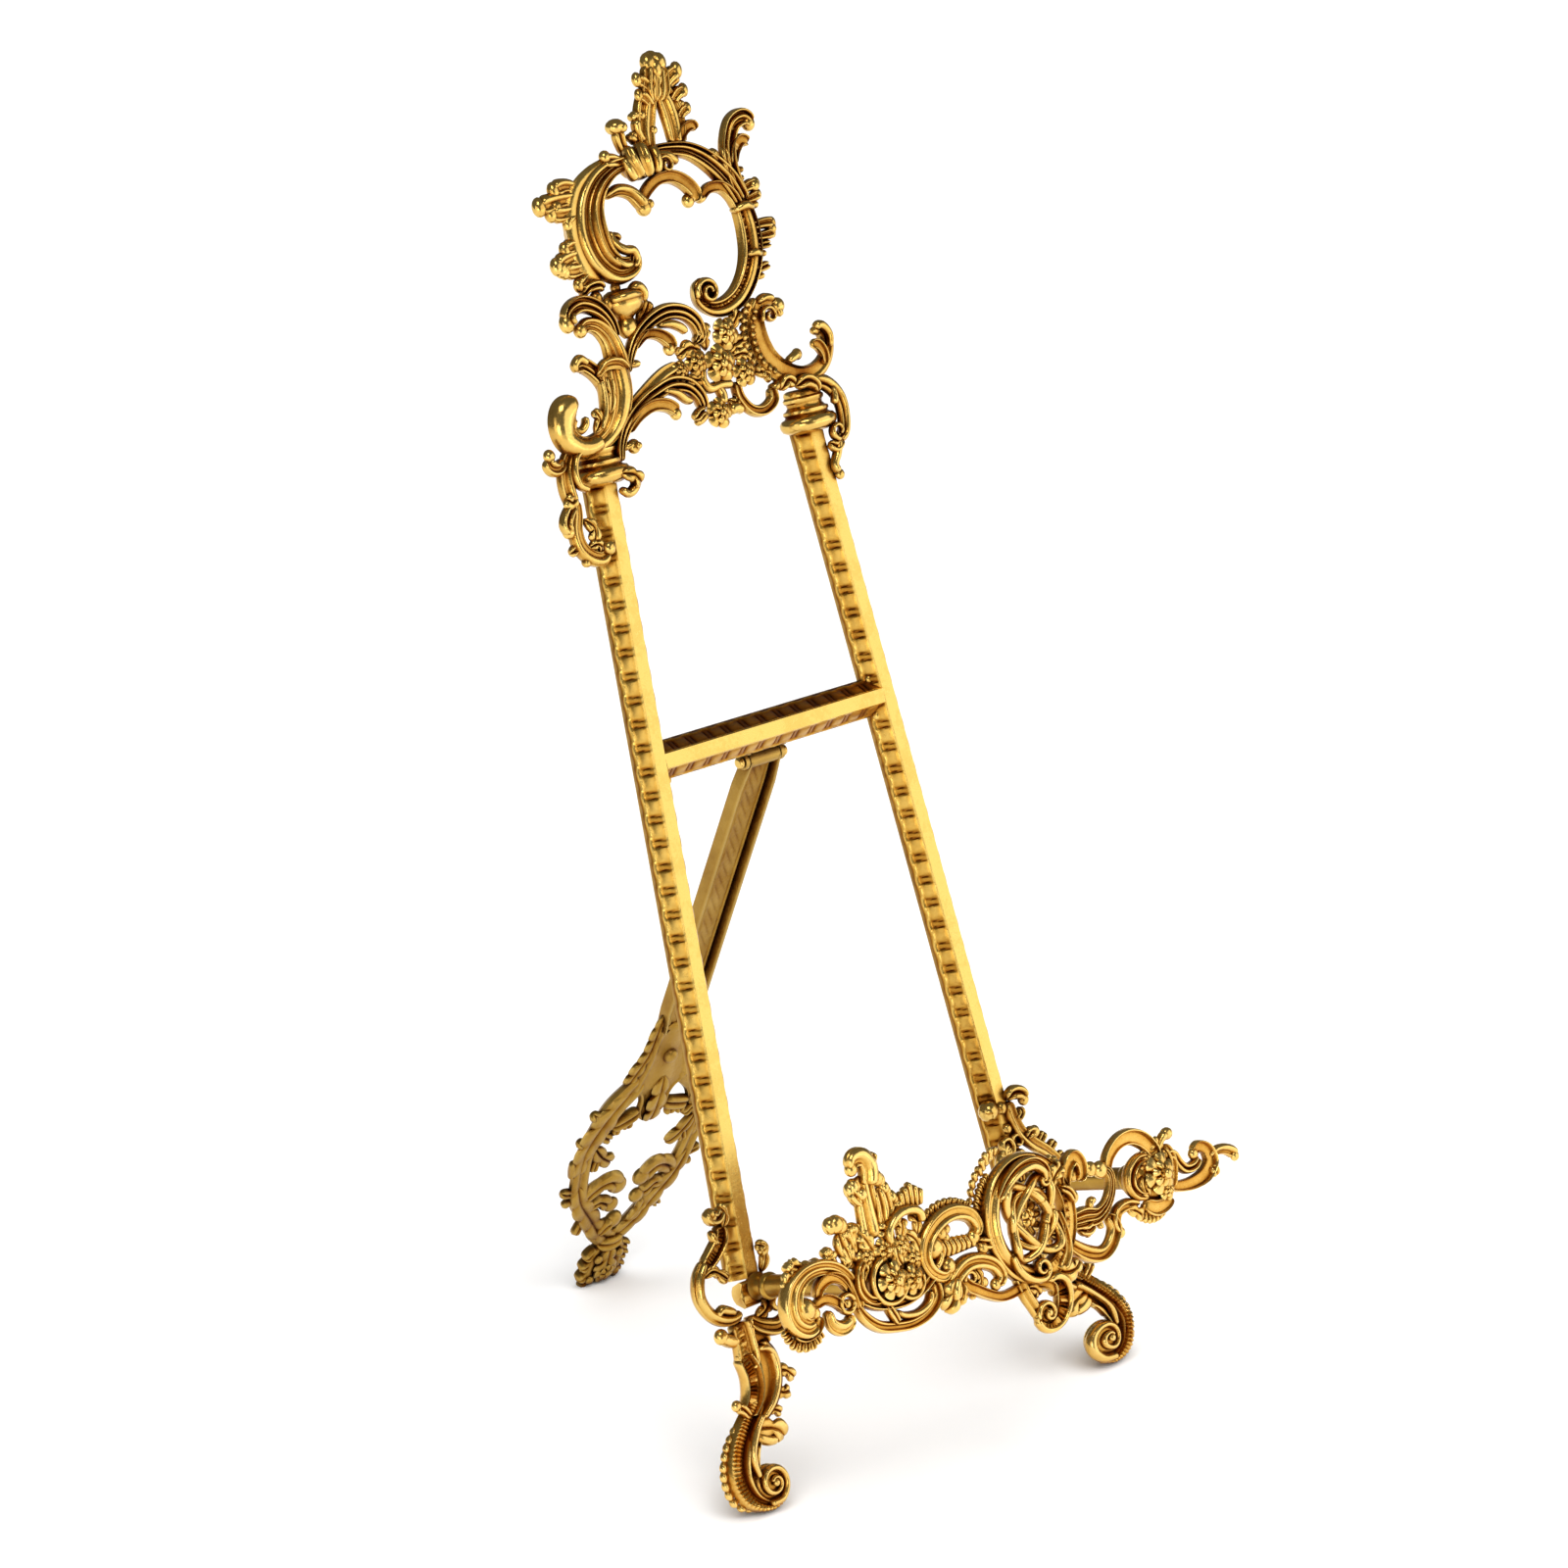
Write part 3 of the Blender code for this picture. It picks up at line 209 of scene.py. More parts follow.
# ---------------------------------------------------------------- shells: (points, faces, lit_and_clean_marks)
def smooth(points, step):
    """An even curve through rows of x, s, width and lift."""
    rows = [tuple(p) + (0.0,) * (4 - len(p)) for p in points]
    p = np.array(rows, float)
    p = np.vstack([2 * p[0] - p[1], p, 2 * p[-1] - p[-2]])
    d = np.maximum(np.hypot(*np.diff(p[:, :2], axis=0).T), 0.05) ** 0.5
    out = []
    for i in range(1, len(p) - 2):
        a, b, c = d[i - 1], d[i], d[i + 1]
        m1 = b * ((p[i] - p[i - 1]) / a - (p[i + 1] - p[i - 1]) / (a + b) + (p[i + 1] - p[i]) / b)
        m2 = b * ((p[i + 1] - p[i]) / b - (p[i + 2] - p[i]) / (b + c) + (p[i + 2] - p[i + 1]) / c)
        count = max(2, int(b * b / step))
        t = (np.arange(count) / count)[:, None]
        out.append((2 * t**3 - 3 * t**2 + 1) * p[i] + (t**3 - 2 * t**2 + t) * m1
                   + (3 * t**2 - 2 * t**3) * p[i + 1] + (t**3 - t**2) * m2)
    out.append(p[-2:-1])
    return np.vstack(out)


def run_length(path):
    """How far along the path each of its points lies."""
    steps = np.hypot(*np.diff(path[:, :2], axis=0).T)
    return np.concatenate([[0], np.cumsum(steps)])


def tube_faces(rows, columns):
    """Faces of a closed tube of rows, with a fan to the two end points that follow it."""
    faces = []
    for i in range(rows - 1):
        for j in range(columns):
            k = (j + 1) % columns
            faces.append((i * columns + j, i * columns + k, (i + 1) * columns + k, (i + 1) * columns + j))
    first, last = rows * columns, rows * columns + 1
    for j in range(columns):
        k = (j + 1) % columns
        faces.append((first, k, j))
        faces.append((last, (rows - 1) * columns + j, (rows - 1) * columns + k))
    return faces


def sweep(path, across, front, back, top, lit_and_clean_marks, rounded=(1, 1), shift=None):
    """A solid along a path. across and top are rows by columns: where each point lies across the
    width, from -1 to 1, and how far it stands up, from 0 to 1."""
    xy = path[:, :2]
    tangent = np.gradient(xy, axis=0)
    tangent /= np.maximum(np.linalg.norm(tangent, axis=1), 1e-9)[:, None]
    side = np.stack([-tangent[:, 1], tangent[:, 0]], axis=1)
    length = run_length(path)
    half = path[:, 2] / 2
    scale = np.ones(len(path))
    for distance, end, how in ((length, half[0], rounded[0]),
                               (length[-1] - length, half[-1], rounded[1])):
        reach = max(end * how, 0.25)
        near = np.clip(distance / reach, 0, 1)
        scale *= np.sqrt(np.clip(1 - (1 - near) ** 2, 0.004, 1))
    tall = scale * np.clip(half / half.max(), 0.05, 1) ** 0.5
    rows, columns = across.shape
    low = np.linspace(1, -1, 7)[1:-1]
    width = half * scale
    spread = np.hstack([across, np.tile(low, (rows, 1)) * np.abs(across).max(axis=1)[:, None]])
    x = xy[:, :1] + side[:, :1] * spread * width[:, None]
    s = xy[:, 1:] + side[:, 1:] * spread * width[:, None]
    if shift is not None:
        bow = np.abs(low) ** 1.5 * np.abs(shift).max()
        push = np.hstack([shift, np.tile(bow, (rows, 1))]) * scale[:, None]
        x = x + tangent[:, :1] * push
        s = s + tangent[:, 1:] * push
    under = np.tile(1 - low**2, (rows, 1))
    g = np.hstack([top * front, -back * np.sqrt(under)]) * tall[:, None] + path[:, 3:4]
    # the back of each shell is painted dim: painted shade
    marks = np.hstack([lit_and_clean_marks, np.full((rows, len(low)), 0.35)])
    total = columns + len(low)
    points = np.stack([x, s, g], axis=2).reshape(-1, 3)
    ends = np.array([[xy[0, 0], xy[0, 1], path[0, 3]], [xy[-1, 0], xy[-1, 1], path[-1, 3]]])
    faces = [tuple(reversed(f)) for f in tube_faces(rows, total)]
    return np.vstack([points, ends]), faces, np.concatenate([marks.ravel(), [0.6, 0.6]])


# Sets of ribs: each rib's middle and half width across the band, from -1 to 1, and its height.
PLAIN = ((0.0, 1.0, 1.0),)
CLEFT = ((-0.5, 0.5, 1.0), (0.5, 0.5, 1.0))
RIMS = ((-0.76, 0.24, 1.0), (0.76, 0.24, 1.0))


def band(points, ribs=PLAIN, front=2.4, back=1.7, floor=0.3, ticks=None, pitch=1.5, step=0.6,
         rounded=(1, 1)):
    """A scroll whose front carries lengthwise ribs, with a ticked strip (from, to, depth) if wanted.

    Each row of points here and below is (x, s, width, lift): a place on the casting, the scroll's width
    there and how far it stands out."""
    path = smooth(points, step)
    columns = 11 if ribs == PLAIN else 8 * len(ribs) + 5
    crowded = np.sin(np.linspace(-math.pi / 2, math.pi / 2, columns))
    u = crowded * 0.35 + np.linspace(-1, 1, columns) * 0.65
    bell = np.sqrt(np.clip(1 - u * u, 0, 1))
    top = (0.25 + 0.75 * floor) * np.clip(bell * 2.5, 0, 1)
    for centre, half, height in ribs:
        top = np.maximum(top, height * np.sqrt(np.clip(1 - ((u - centre) / half) ** 2, 0, 1)))
    rows = len(path)
    tops = np.tile(top, (rows, 1))
    if ticks:
        length = run_length(path)
        inside = (u > ticks[0]) & (u < ticks[1])
        tooth = 0.5 + 0.5 * np.sin(2 * math.pi * length / pitch)
        tops[:, inside] += ticks[2] * tooth[:, None]
    # the front is painted darker where it sinks between the ribs: patina and painted shade in the grooves
    lit_and_clean_marks = np.clip(tops / max(top.max(), 0.01), 0, 1)
    return sweep(path, np.tile(u, (rows, 1)), front, back, tops, lit_and_clean_marks, rounded)


def leaf(points, lobes=3, front=1.9, back=1.1, sharp=0.42):
    """An acanthus leaf: lobed edges that sweep forward, raised veins and a sunk middle line."""
    path = smooth(points, 0.5)
    length = run_length(path)
    t = (length / length[-1])[:, None]
    u = np.linspace(-1, 1, 15)[None, :]
    swell = np.abs(np.sin(math.pi * (lobes * t + 0.02)))
    edge = 1 - sharp * (1 - swell) ** 1.6
    across = u * edge
    vein = 0.5 + 0.5 * swell * np.ones_like(u)
    tops = np.sqrt(np.clip(1 - u * u, 0, 1)) ** 0.7 * (0.62 + 0.38 * vein * np.abs(u) ** 0.5)
    tops = tops - 0.32 * np.exp(-(u / 0.16) ** 2) - 0.16 * (1 - vein) * np.abs(u)
    shift = 0.5 * (path[:, 2:3] / 2) * np.abs(u) ** 1.6
    # the sunk middle line and the dips between the lobes are painted darker: painted shade
    lit_and_clean_marks = np.clip(1 - 0.9 * np.exp(-(u / 0.14) ** 2) - 0.7 * (1 - swell), 0, 1)
    return sweep(path, across, front, back, tops, lit_and_clean_marks, (1, 1), shift)


def lobe(x, s, angle, length, width, front=1.6, back=1.0, lift=0.0, ribs=PLAIN, tip=0.6):
    """One round-ended leaf tip, pointing along angle in degrees."""
    a = math.radians(angle)
    c, d = math.cos(a) * length, math.sin(a) * length
    return band([(x, s, width * 0.85, lift), (x + c * 0.45, s + d * 0.45, width, lift + tip * 0.3),
                 (x + c * 0.8, s + d * 0.8, width, lift + tip),
                 (x + c, s + d, width * 0.9, lift + tip * 0.8)], ribs, front * 0.85, back, step=0.7,
                rounded=(0.3, 0.9))


def fan(x, s, from_angle, to_angle, count, length, width, lift=0.0, front=1.6, start=0.0, ribs=PLAIN):
    """Lobes that spread from a point."""
    shells = []
    for k in range(count):
        f = k / max(count - 1, 1)
        angle = from_angle + (to_angle - from_angle) * f
        a = math.radians(angle)
        shells.append(lobe(x + start * math.cos(a), s + start * math.sin(a), angle, length - start, width,
                           front, 1.0, lift, ribs))
    return shells


def fringe(points, count, side, length, width, slant=20.0, lift=-0.3, front=1.5, taper=0.7, ribs=PLAIN):
    """Short lobes along a path: side 1 is the left of the direction of travel, -1 the right."""
    path = smooth(points, 0.4)
    run = run_length(path)
    shells = []
    for k in range(count):
        f = (k + 0.5) / count
        i = min(int(np.searchsorted(run, f * run[-1])), len(path) - 2)
        heading = math.degrees(math.atan2(path[i + 1, 1] - path[i, 1], path[i + 1, 0] - path[i, 0]))
        size = taper + (1 - taper) * math.sin(math.pi * f)
        shells.append(lobe(path[i, 0], path[i, 1], heading + side * (90 - slant), length * size,
                           width * size, front, 1.0, lift + path[i, 3], ribs))
    return shells


def bead(x, s, r, g=0.0, squash=0.72, stretch=1.0, rings=10, sides=16):
    """A ball; squash flattens it front to back and stretch lengthens it up the casting."""
    points = []
    for i in range(1, rings):
        a = math.pi * i / rings
        for j in range(sides):
            b = 2 * math.pi * j / sides
            points.append((x + r * math.sin(a) * math.cos(b), s + r * stretch * math.sin(a) * math.sin(b),
                           g + r * squash * math.cos(a)))
    points += [(x, s, g + r * squash), (x, s, g - r * squash)]
    faces = [tuple(reversed(f)) for f in tube_faces(rings - 1, sides)]
    return np.array(points), faces, np.full(len(points), 0.9)


def rosette(x, s, r, petals=5, g=0.0, front=3.0, layers=2, turn=0.0, back=1.5):
    """A flower head: cupped petals, a smaller layer between them and a button in the middle."""
    shells = []
    for layer in range(layers):
        size = r * (1 - 0.36 * layer)
        base = g + front * 0.30 * layer
        sides, rings = petals * 10, 8
        points, marks = [], []

        def petal_at(j):
            a = 2 * math.pi * j / sides
            return a + math.radians(turn + layer * 180 / petals), abs(math.cos(petals * a / 2)) ** 0.45

        for i in range(1, rings + 1):
            rho = i / rings
            for j in range(sides):
                b, petal = petal_at(j)
                reach = size * rho * (0.76 + 0.24 * petal)
                up = front * 0.5 * (0.35 + 0.65 * petal) * math.sin(math.pi * (0.12 + 0.78 * rho)) ** 0.8
                points.append((x + reach * math.cos(b), s + reach * math.sin(b), base + up))
                # petal tips are painted light, the dips between petals and the middle dark: painted shade
                marks.append(0.25 + 0.75 * petal * rho ** 0.5)
        for rho in (0.94, 0.6):
            for j in range(sides):
                b, petal = petal_at(j)
                reach = size * rho * (0.76 + 0.24 * petal)
                points.append((x + reach * math.cos(b), s + reach * math.sin(b),
                               base - back * (1.2 - rho)))
                # the underside is painted dark: painted shade
                marks.append(0.2)
        points += [(x, s, base + front * 0.2), (x, s, base - back)]
        marks += [0.1, 0.1]
        shells.append((np.array(points), tube_faces(rings + 2, sides), np.array(marks)))
    shells.append(bead(x, s, r * 0.24, g + front * 0.30 * layers + front * 0.12))
    return shells


def spiral(x, s, r0, r1, start, turn, w0, w1, lift0=0.0, lift1=0.0, count=10):
    """Points of a volute that winds in from r0 to r1 about (x, s); angles in degrees."""
    points = []
    for k in range(count + 1):
        f = k / count
        a = math.radians(start + turn * f)
        r = r0 + (r1 - r0) * f ** 0.8
        points.append((x + r * math.cos(a), s + r * math.sin(a), w0 + (w1 - w0) * f,
                       lift0 + (lift1 - lift0) * f))
    return points


def turned(profile, centre, along, across, sides=40, squash=1.0):
    """A lathe-turned piece: profile rows are (distance along the axis, radius)."""
    a = Vector(along).normalized()
    b = Vector(across).normalized()
    c = a.cross(b)
    o = Vector(centre)
    points = []
    for d, r in profile:
        for j in range(sides):
            t = 2 * math.pi * j / sides
            points.append(o + a * d + b * (r * math.cos(t)) + c * (r * squash * math.sin(t)))
    points += [o + a * profile[0][0], o + a * profile[-1][0]]
    marks = np.full(len(points), 0.85)
    return np.array([tuple(p) for p in points]), tube_faces(len(profile), sides), marks


def mirror(shells):
    """The same castings on the other side of the middle."""
    return [(p * np.array([-1.0, 1.0, 1.0]), [tuple(reversed(q)) for q in f], m) for p, f, m in shells]


def flat(shells):
    """One list of shells from a mix of single shells and lists of them."""
    out = []
    for item in shells:
        if isinstance(item, list):
            out += flat(item)
        else:
            out.append(item)
    return out


def piece(node, shells, how="cast", plane=FRAME_PLANE, body="frame", slot="bright_brass", material=None,
          sharp=48.0, floor=None):
    """Joins shells into the one object that stands for a node; floor keeps it above the table."""
    points, faces, marks, start = [], [], [], 0
    for p, f, m in flat(shells):
        corners = np.array([(q[0], q[k], q[k + 1]) for q in f for k in range(1, len(q) - 1)])
        a, b, c = p[corners[:, 0]], p[corners[:, 1]], p[corners[:, 2]]
        inside_out = np.einsum("ij,ij->i", a, np.cross(b, c)).sum() < 0
        if inside_out:
            f = [tuple(reversed(q)) for q in f]
        points.append(p)
        marks.append(m)
        faces += [tuple(k + start for k in q) for q in f]
        start += len(p)
    to_world = np.array(plane)
    world = np.vstack(points) @ to_world[:3, :3].T + to_world[:3, 3]
    if floor is not None:
        world[:, 2] = np.maximum(world[:, 2], floor)
    name = node + "_" + how
    mesh = bpy.data.meshes.new(name)
    mesh.from_pydata(world.tolist(), [], faces)
    mesh.update()
    mark = mesh.attributes.new("lit_and_clean_marks", "FLOAT", "POINT")
    mark.data.foreach_set("value", np.concatenate(marks).astype(np.float32))
    mesh.polygons.foreach_set("use_smooth", [True] * len(mesh.polygons))
    mesh.set_sharp_from_angle(angle=math.radians(sharp))
    mesh.materials.append(material or FINISH[slot])
    obj = bpy.data.objects.new(name, mesh)
    bpy.context.scene.collection.objects.link(obj)
    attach(obj, body)
    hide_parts(node)


# ---------------------------------------------------------------- rails and crossbar
def rail_centre(s):
    return RAIL_SPREAD - RAIL_TAPER * s


def chased_bar(centre_line, across, span, flank_painted_shade):
    """A long bar: flat front, two chased flanks, thin rims. centre_line(d) gives (x, s) at distance d,
    across is the sideways direction in the casting's plane, span is the bar's length and
    flank_painted_shade gives each flank's painted shade, for how the light falls on it."""
    rows = int(span / ROW_STEP)
    slope = math.hypot(RAIL_DEPTH, BACK_HALF - FACE_HALF)
    out_x, out_g = RAIL_DEPTH / slope, (BACK_HALF - FACE_HALF) / slope
    # the section: x, g, place on the flank from the face (0) to the rim (1), and which flank
    flank = [(FACE_HALF + (BACK_HALF - FACE_HALF) * v, -RAIL_DEPTH * v, v) for v in np.linspace(0, 1, 15)]
    face = [(FACE_HALF * 0.98 * k / 2, 0.0, None, 0.0) for k in range(-2, 3)]
    right = [(x, g, v, 1.0) for x, g, v in flank]
    left = [(-x, g, v, -1.0) for x, g, v in reversed(flank)]
    back = [(x, -RAIL_DEPTH - RIM_DEPTH, None, 0.0) for x in (BACK_HALF, 0.0, -BACK_HALF)]
    loop = left + face + right + back
    points, marks = [], []
    for i in range(rows + 1):
        d = span * i / rows
        x0, s0 = centre_line(d)
        for x, g, v, side in loop:
            raised, mark = 0.0, 0.97
            if v is None:
                # the back is painted dark: painted shade
                if g < -0.1:
                    mark = -0.9
            else:
                phase = (d / PATTERN + (0.0 if side > 0 else 0.35)) % 1.0
                wave = 0.05 * math.cos(2 * math.pi * (phase - 0.3))
                edge_line = math.exp(-((v - BEADING + wave) / BEADING_HALF) ** 2)
                inside = min(max((v - PANEL_FROM) / PANEL_WIDE, 0), 1)
                window = max(0.0, math.sin(math.pi * inside)) ** 0.35
                cushion = math.sin(math.pi * phase / CUSHION) ** 0.35 if phase < CUSHION else 0.0
                slant = SLANT * (v - 0.4)
                cut = max(math.exp(-((phase - place - slant) / GROOVE_HALF) ** 2) for place in GROOVES)
                raised = window * (0.40 * cushion - 0.38 * cut) + 0.50 * edge_line
                # painted shade in the cuts, painted highlight on the cushions and the beading
                chased_light_and_shade = window * (0.55 * cushion - 0.95 * cut * (0.5 + 0.8 * v)) + 0.9 * edge_line
                mark = min(1.0, (flank_painted_shade[0] if side > 0 else flank_painted_shade[1]) + chased_light_and_shade)
                if v < 0.10:
                    mark = 0.8
                # the outer rim is painted dark: painted shade
                if v > 0.95:
                    mark = -0.9
            sideways = x + side * raised * out_x
            points.append((x0 + across[0] * sideways, s0 + across[1] * sideways, g + raised * out_g))
            marks.append(mark)
    points += [(*centre_line(d), -3.5) for d in (0, span)]
    marks += [0.5, 0.5]
    return np.array(points), tube_faces(rows + 1, len(loop)), np.array(marks)


def make_rail(side):
    span = RAIL_TOP - RAIL_FOOT
    # painted shade for the two flanks
    flank_painted_shade = (-0.6, 0.0) if side < 0 else (-0.5, -0.15)
    return chased_bar(lambda d: (side * rail_centre(RAIL_FOOT + d), RAIL_FOOT + d), (1, 0), span, flank_painted_shade)


def make_crossbar():
    reach = rail_centre(CROSSBAR_S) - FACE_HALF - 0.1
    # painted shade for the two flanks, the top one darker
    return chased_bar(lambda d: (-reach + d, CROSSBAR_S), (0, 1), 2 * reach, (-0.9, -0.4))


for label, side in (("left", -1), ("right", 1)):
    piece("rail_" + label, [make_rail(side)], "chased", material=RAIL, sharp=28)
corner = [bead(x * 50.6, s, 1.9, -4.2) for x in (-1, 1) for s in (265.2, 252.0)]
piece("crossbar", [make_crossbar()] + corner, "chased", material=RAIL, sharp=28)


# ---------------------------------------------------------------- feet, sockets, side scrolls, arms
FOOT_RIBS = ((-0.55, 0.42, 0.80), (0.16, 0.14, 1.0), (0.92, 0.09, 0.75))


def make_foot():
    """The left foot; the right one is its mirror image."""
    shells = [
        band([(-77.5, 66, 9), (-77, 59, 9.5), (-77.4, 52, 10), (-78.6, 50, 8)],
             ((-0.86, 0.13, 0.8), (0.62, 0.3, 1.0)), 3.6, 3.4, 0.35, ticks=(-0.5, 0.05, 0.22), pitch=1.1,
             rounded=(0.3, 0.3)),
        band([(-69.6, 66.4, 8), (-70.2, 60, 8), (-69.8, 55, 8)], RIMS, 3.0, 3.4, 0.2, rounded=(0.3, 0.3)),
        band([(-79.6, 54.4, 7), (-77.6, 47, 8.4), (-79, 40, 8), (-83.4, 34.4, 6)],
             ((-0.80, 0.18, 0.9), (0.74, 0.24, 1.0)), 4.2, 3.2, 0.35, ticks=(-0.5, 0.3, 0.3), pitch=1.2,
             rounded=(0.4, 0.6)),
        band([(-71.6, 57, 6), (-69.0, 51, 8), (-69.2, 44, 8.6), (-73, 37.4, 8.6), (-79, 32.4, 7)],
             ((-0.92, 0.08, 0.5), (0.42, 0.46, 1.0), (0.9, 0.1, 0.7)), 4.4, 3.2, 0.08,
             rounded=(0.5, 0.6)),
        band([(-73.4, 55.2, 2.2, 1.6), (-69.6, 54.4, 2.6, 2.4), (-66.4, 50.4, 2.2, 1.8),
              (-65.6, 44.0, 1.8, 1)], front=2.4, back=2),
        band([(-76, 37.4, 8, 0), (-82.4, 31, 11.5, 0), (-88.4, 23, 13.6, 0), (-90.8, 14, 13.6, 0.4),
              (-88.2, 6.6, 10.4, 0.9), (-81.8, 2.7, 5.4, 1.6), (-76.3, 4.2, 4.2, 2.2)], FOOT_RIBS, 4.0,
             3.6, 0.05, ticks=(-0.86, -0.20, 0.24), pitch=1.25, rounded=(0.6, 0.8)),
        bead(-80.7, 9.4, 6.8, 0.6, squash=0.55, sides=28),
        band([(-83.6, 2.6, 3.2, 2.0)] + spiral(-80.6, 9.6, 6.9, 1.3, -68, 590, 3.2, 1.5, 2.4, 4.4,
                                               count=26), front=2.6, back=2.6, step=0.35),
        bead(-80.6, 9.6, 1.3, 5.6),
        band([(-77.6, 33.4, 3, 1.6), (-82.6, 28.4, 3.2, 2), (-86.6, 20.6, 3, 2.2),
              (-85.6, 12.6, 2.4, 2.2)], front=3.0, back=2.4),
        band([(-84.6, 16.4, 2.2, 0.8), (-83.2, 20.6, 2.6, 1), (-81.4, 23.2, 2.2, 0.8)], front=2.0,
             back=2.0),
        leaf([(-83.4, 29.4, 6, 1), (-77.4, 28.2, 7.6, 2), (-72.4, 26, 8, 2.2), (-70.0, 22.8, 5.6, 2)],
             lobes=2),
        band([(-82, 26.6, 4, 1), (-77.4, 23.8, 4.2, 1.6), (-73, 22.6, 3.4, 1.6)], front=2.2, back=1.4),
        leaf([(-76.4, 32.6, 3, 0.6), (-72, 33, 4.6, 1.4), (-68.6, 30.9, 3.4, 1.6)], lobes=2),
        band([(-82.6, 33, 3, 1), (-85.2, 36.4, 4, 2), (-87.6, 39, 4.4, 2)], CLEFT, 2.4, 1.6),
        bead(-87.6, 39, 2.1, 2.2),
        band([(-78.6, 59.6, 5, 0), (-83.4, 61.2, 5, 0.4), (-87.0, 63.6, 4.6, 1)], front=2.6, back=2),
        bead(-86.6, 63.4, 2.9, 1.2),
        leaf([(-68.6, 40, 4, 0), (-66, 37.4, 5.6, 0.8), (-62.4, 37, 4, 1.2)], lobes=2),
        leaf([(-67, 45.4, 4, 0), (-62.6, 44.2, 5.4, 1), (-59.4, 40.6, 4, 1.4)], lobes=2),
        band([(-80.6, 55.2, 2.4, 0.6), (-81.8, 53.6, 2.6, 1.2)], front=2, back=1.4)]
    shells += fringe([(-87.4, 31.0, 1, 0), (-93.4, 24.0, 1, 0), (-96.2, 15.4, 1, 0), (-94.6, 7.4, 1, 0),
                      (-89.4, 4.0, 1, 0)], 11, -1, 3.8, 4.6, slant=14, lift=-0.8, front=2.2)
    return shells


def make_socket():
    return [band([(-73.4, 73.9, 9.4), (-59.6, 73.9, 9.4)],
                 ((-0.84, 0.14, 1.0), (0.84, 0.14, 1.0), (0.0, 0.62, 0.9)), 1.4, 5.2, 0.6,
                 rounded=(0.12, 0.12)),
            leaf([(-62.6, 79, 3, 0), (-60.4, 83, 5, 0.8), (-60.2, 87.4, 5, 1.2), (-62.6, 89.4, 3, 1)],
                 lobes=2),
            bead(-60.3, 86.6, 2.2, 1.2)]


def make_side_scroll():
    """The ear beside a rail's foot, as it is on the left."""
    return [
        band([(-76, 100.6, 5), (-77.4, 95.6, 6.4), (-81.6, 91.6, 6.6), (-87, 87.8, 5.6)],
             ((-0.72, 0.28, 0.9), (0.66, 0.32, 1.0)), 3.0, 2.4, 0.25, ticks=(-0.4, 0.3, 0.25), pitch=1.2),
        band([(-86, 90.2, 3.4), (-90, 85.4, 5), (-91.6, 79, 5), (-89.4, 73, 4.8), (-85, 69.2, 5),
              (-80, 67.8, 4.6), (-75, 68.4, 3.6)], ((0.1, 0.8, 1.0), (0.9, 0.1, 0.5)), 3.0, 2.2),
        band([(-87.2, 70.2, 2.6, 1), (-84.6, 72.4, 3.4, 1.6), (-81.4, 71.2, 3.4, 1.6),
              (-78, 69.4, 2.4, 1)], front=2.2, back=1.4),
        leaf([(-88.4, 84.6, 3, 0.4), (-84.4, 86, 5, 1.2), (-80.4, 83.4, 5, 1), (-77.6, 81, 3, 0.4)],
             lobes=2),
        band([(-74, 105.6, 4, 0.6), (-77.6, 103.2, 5, 1.4), (-81, 104.4, 5.6, 2), (-80.8, 107, 4.6, 2)],
             CLEFT, 2.8, 1.8),
        bead(-80.6, 104.6, 2.9, 2.4),
        leaf([(-75.4, 98.6, 3, 0.6), (-73.6, 103, 5, 1.2), (-75.6, 106.8, 4, 1.2)], lobes=2),
        band([(-80.2, 99.6, 2.6, 0.4), (-80.4, 96.6, 3, 0.8), (-79, 94, 2.4, 0.8)], front=2.0, back=1.4)]


def make_arm(side):
    rings = [(-1.0, 4.3), (1.4, 5.0), (2.6, 4.3), (3.4, 4.0)]
    for g in (6.0, 53.4):
        rings += [(g, 4.0), (g + 0.5, 4.6), (g + 1.4, 4.9), (g + 2.3, 4.6), (g + 2.8, 4.0)]
    rings += [(57.6, 4.0), (58.2, 4.5), (59.0, 4.5), (59.5, 4.1), (60.6, 5.2), (62.4, 6.8)]
    return turned(rings, (side * ARM_X, ARM_S, 0), (0, 0, 1), (1, 0, 0), sides=36)


def make_arm_leaf():
    return [
        band([(-73.6, 66, 4, 0.6), (-69.4, 62.4, 6, 2), (-63, 60.4, 6.4, 3), (-57.8, 63.4, 5.6, 3.4),
              (-56, 68.4, 4.6, 3), (-58, 72.4, 3.6, 2.4)], ((-0.6, 0.38, 1.0), (0.5, 0.46, 0.85)), 2.6,
             2.2, 0.3),
        band(spiral(-61.4, 67.8, 4.8, 1.2, -60, 380, 2.6, 1.6, 3.4, 4.4, count=14), front=2.2, back=2.0,
             step=0.4),
        leaf([(-71, 64.4, 4, 1), (-66.4, 66.6, 6, 2), (-63.4, 69.6, 4, 2)], lobes=2)]


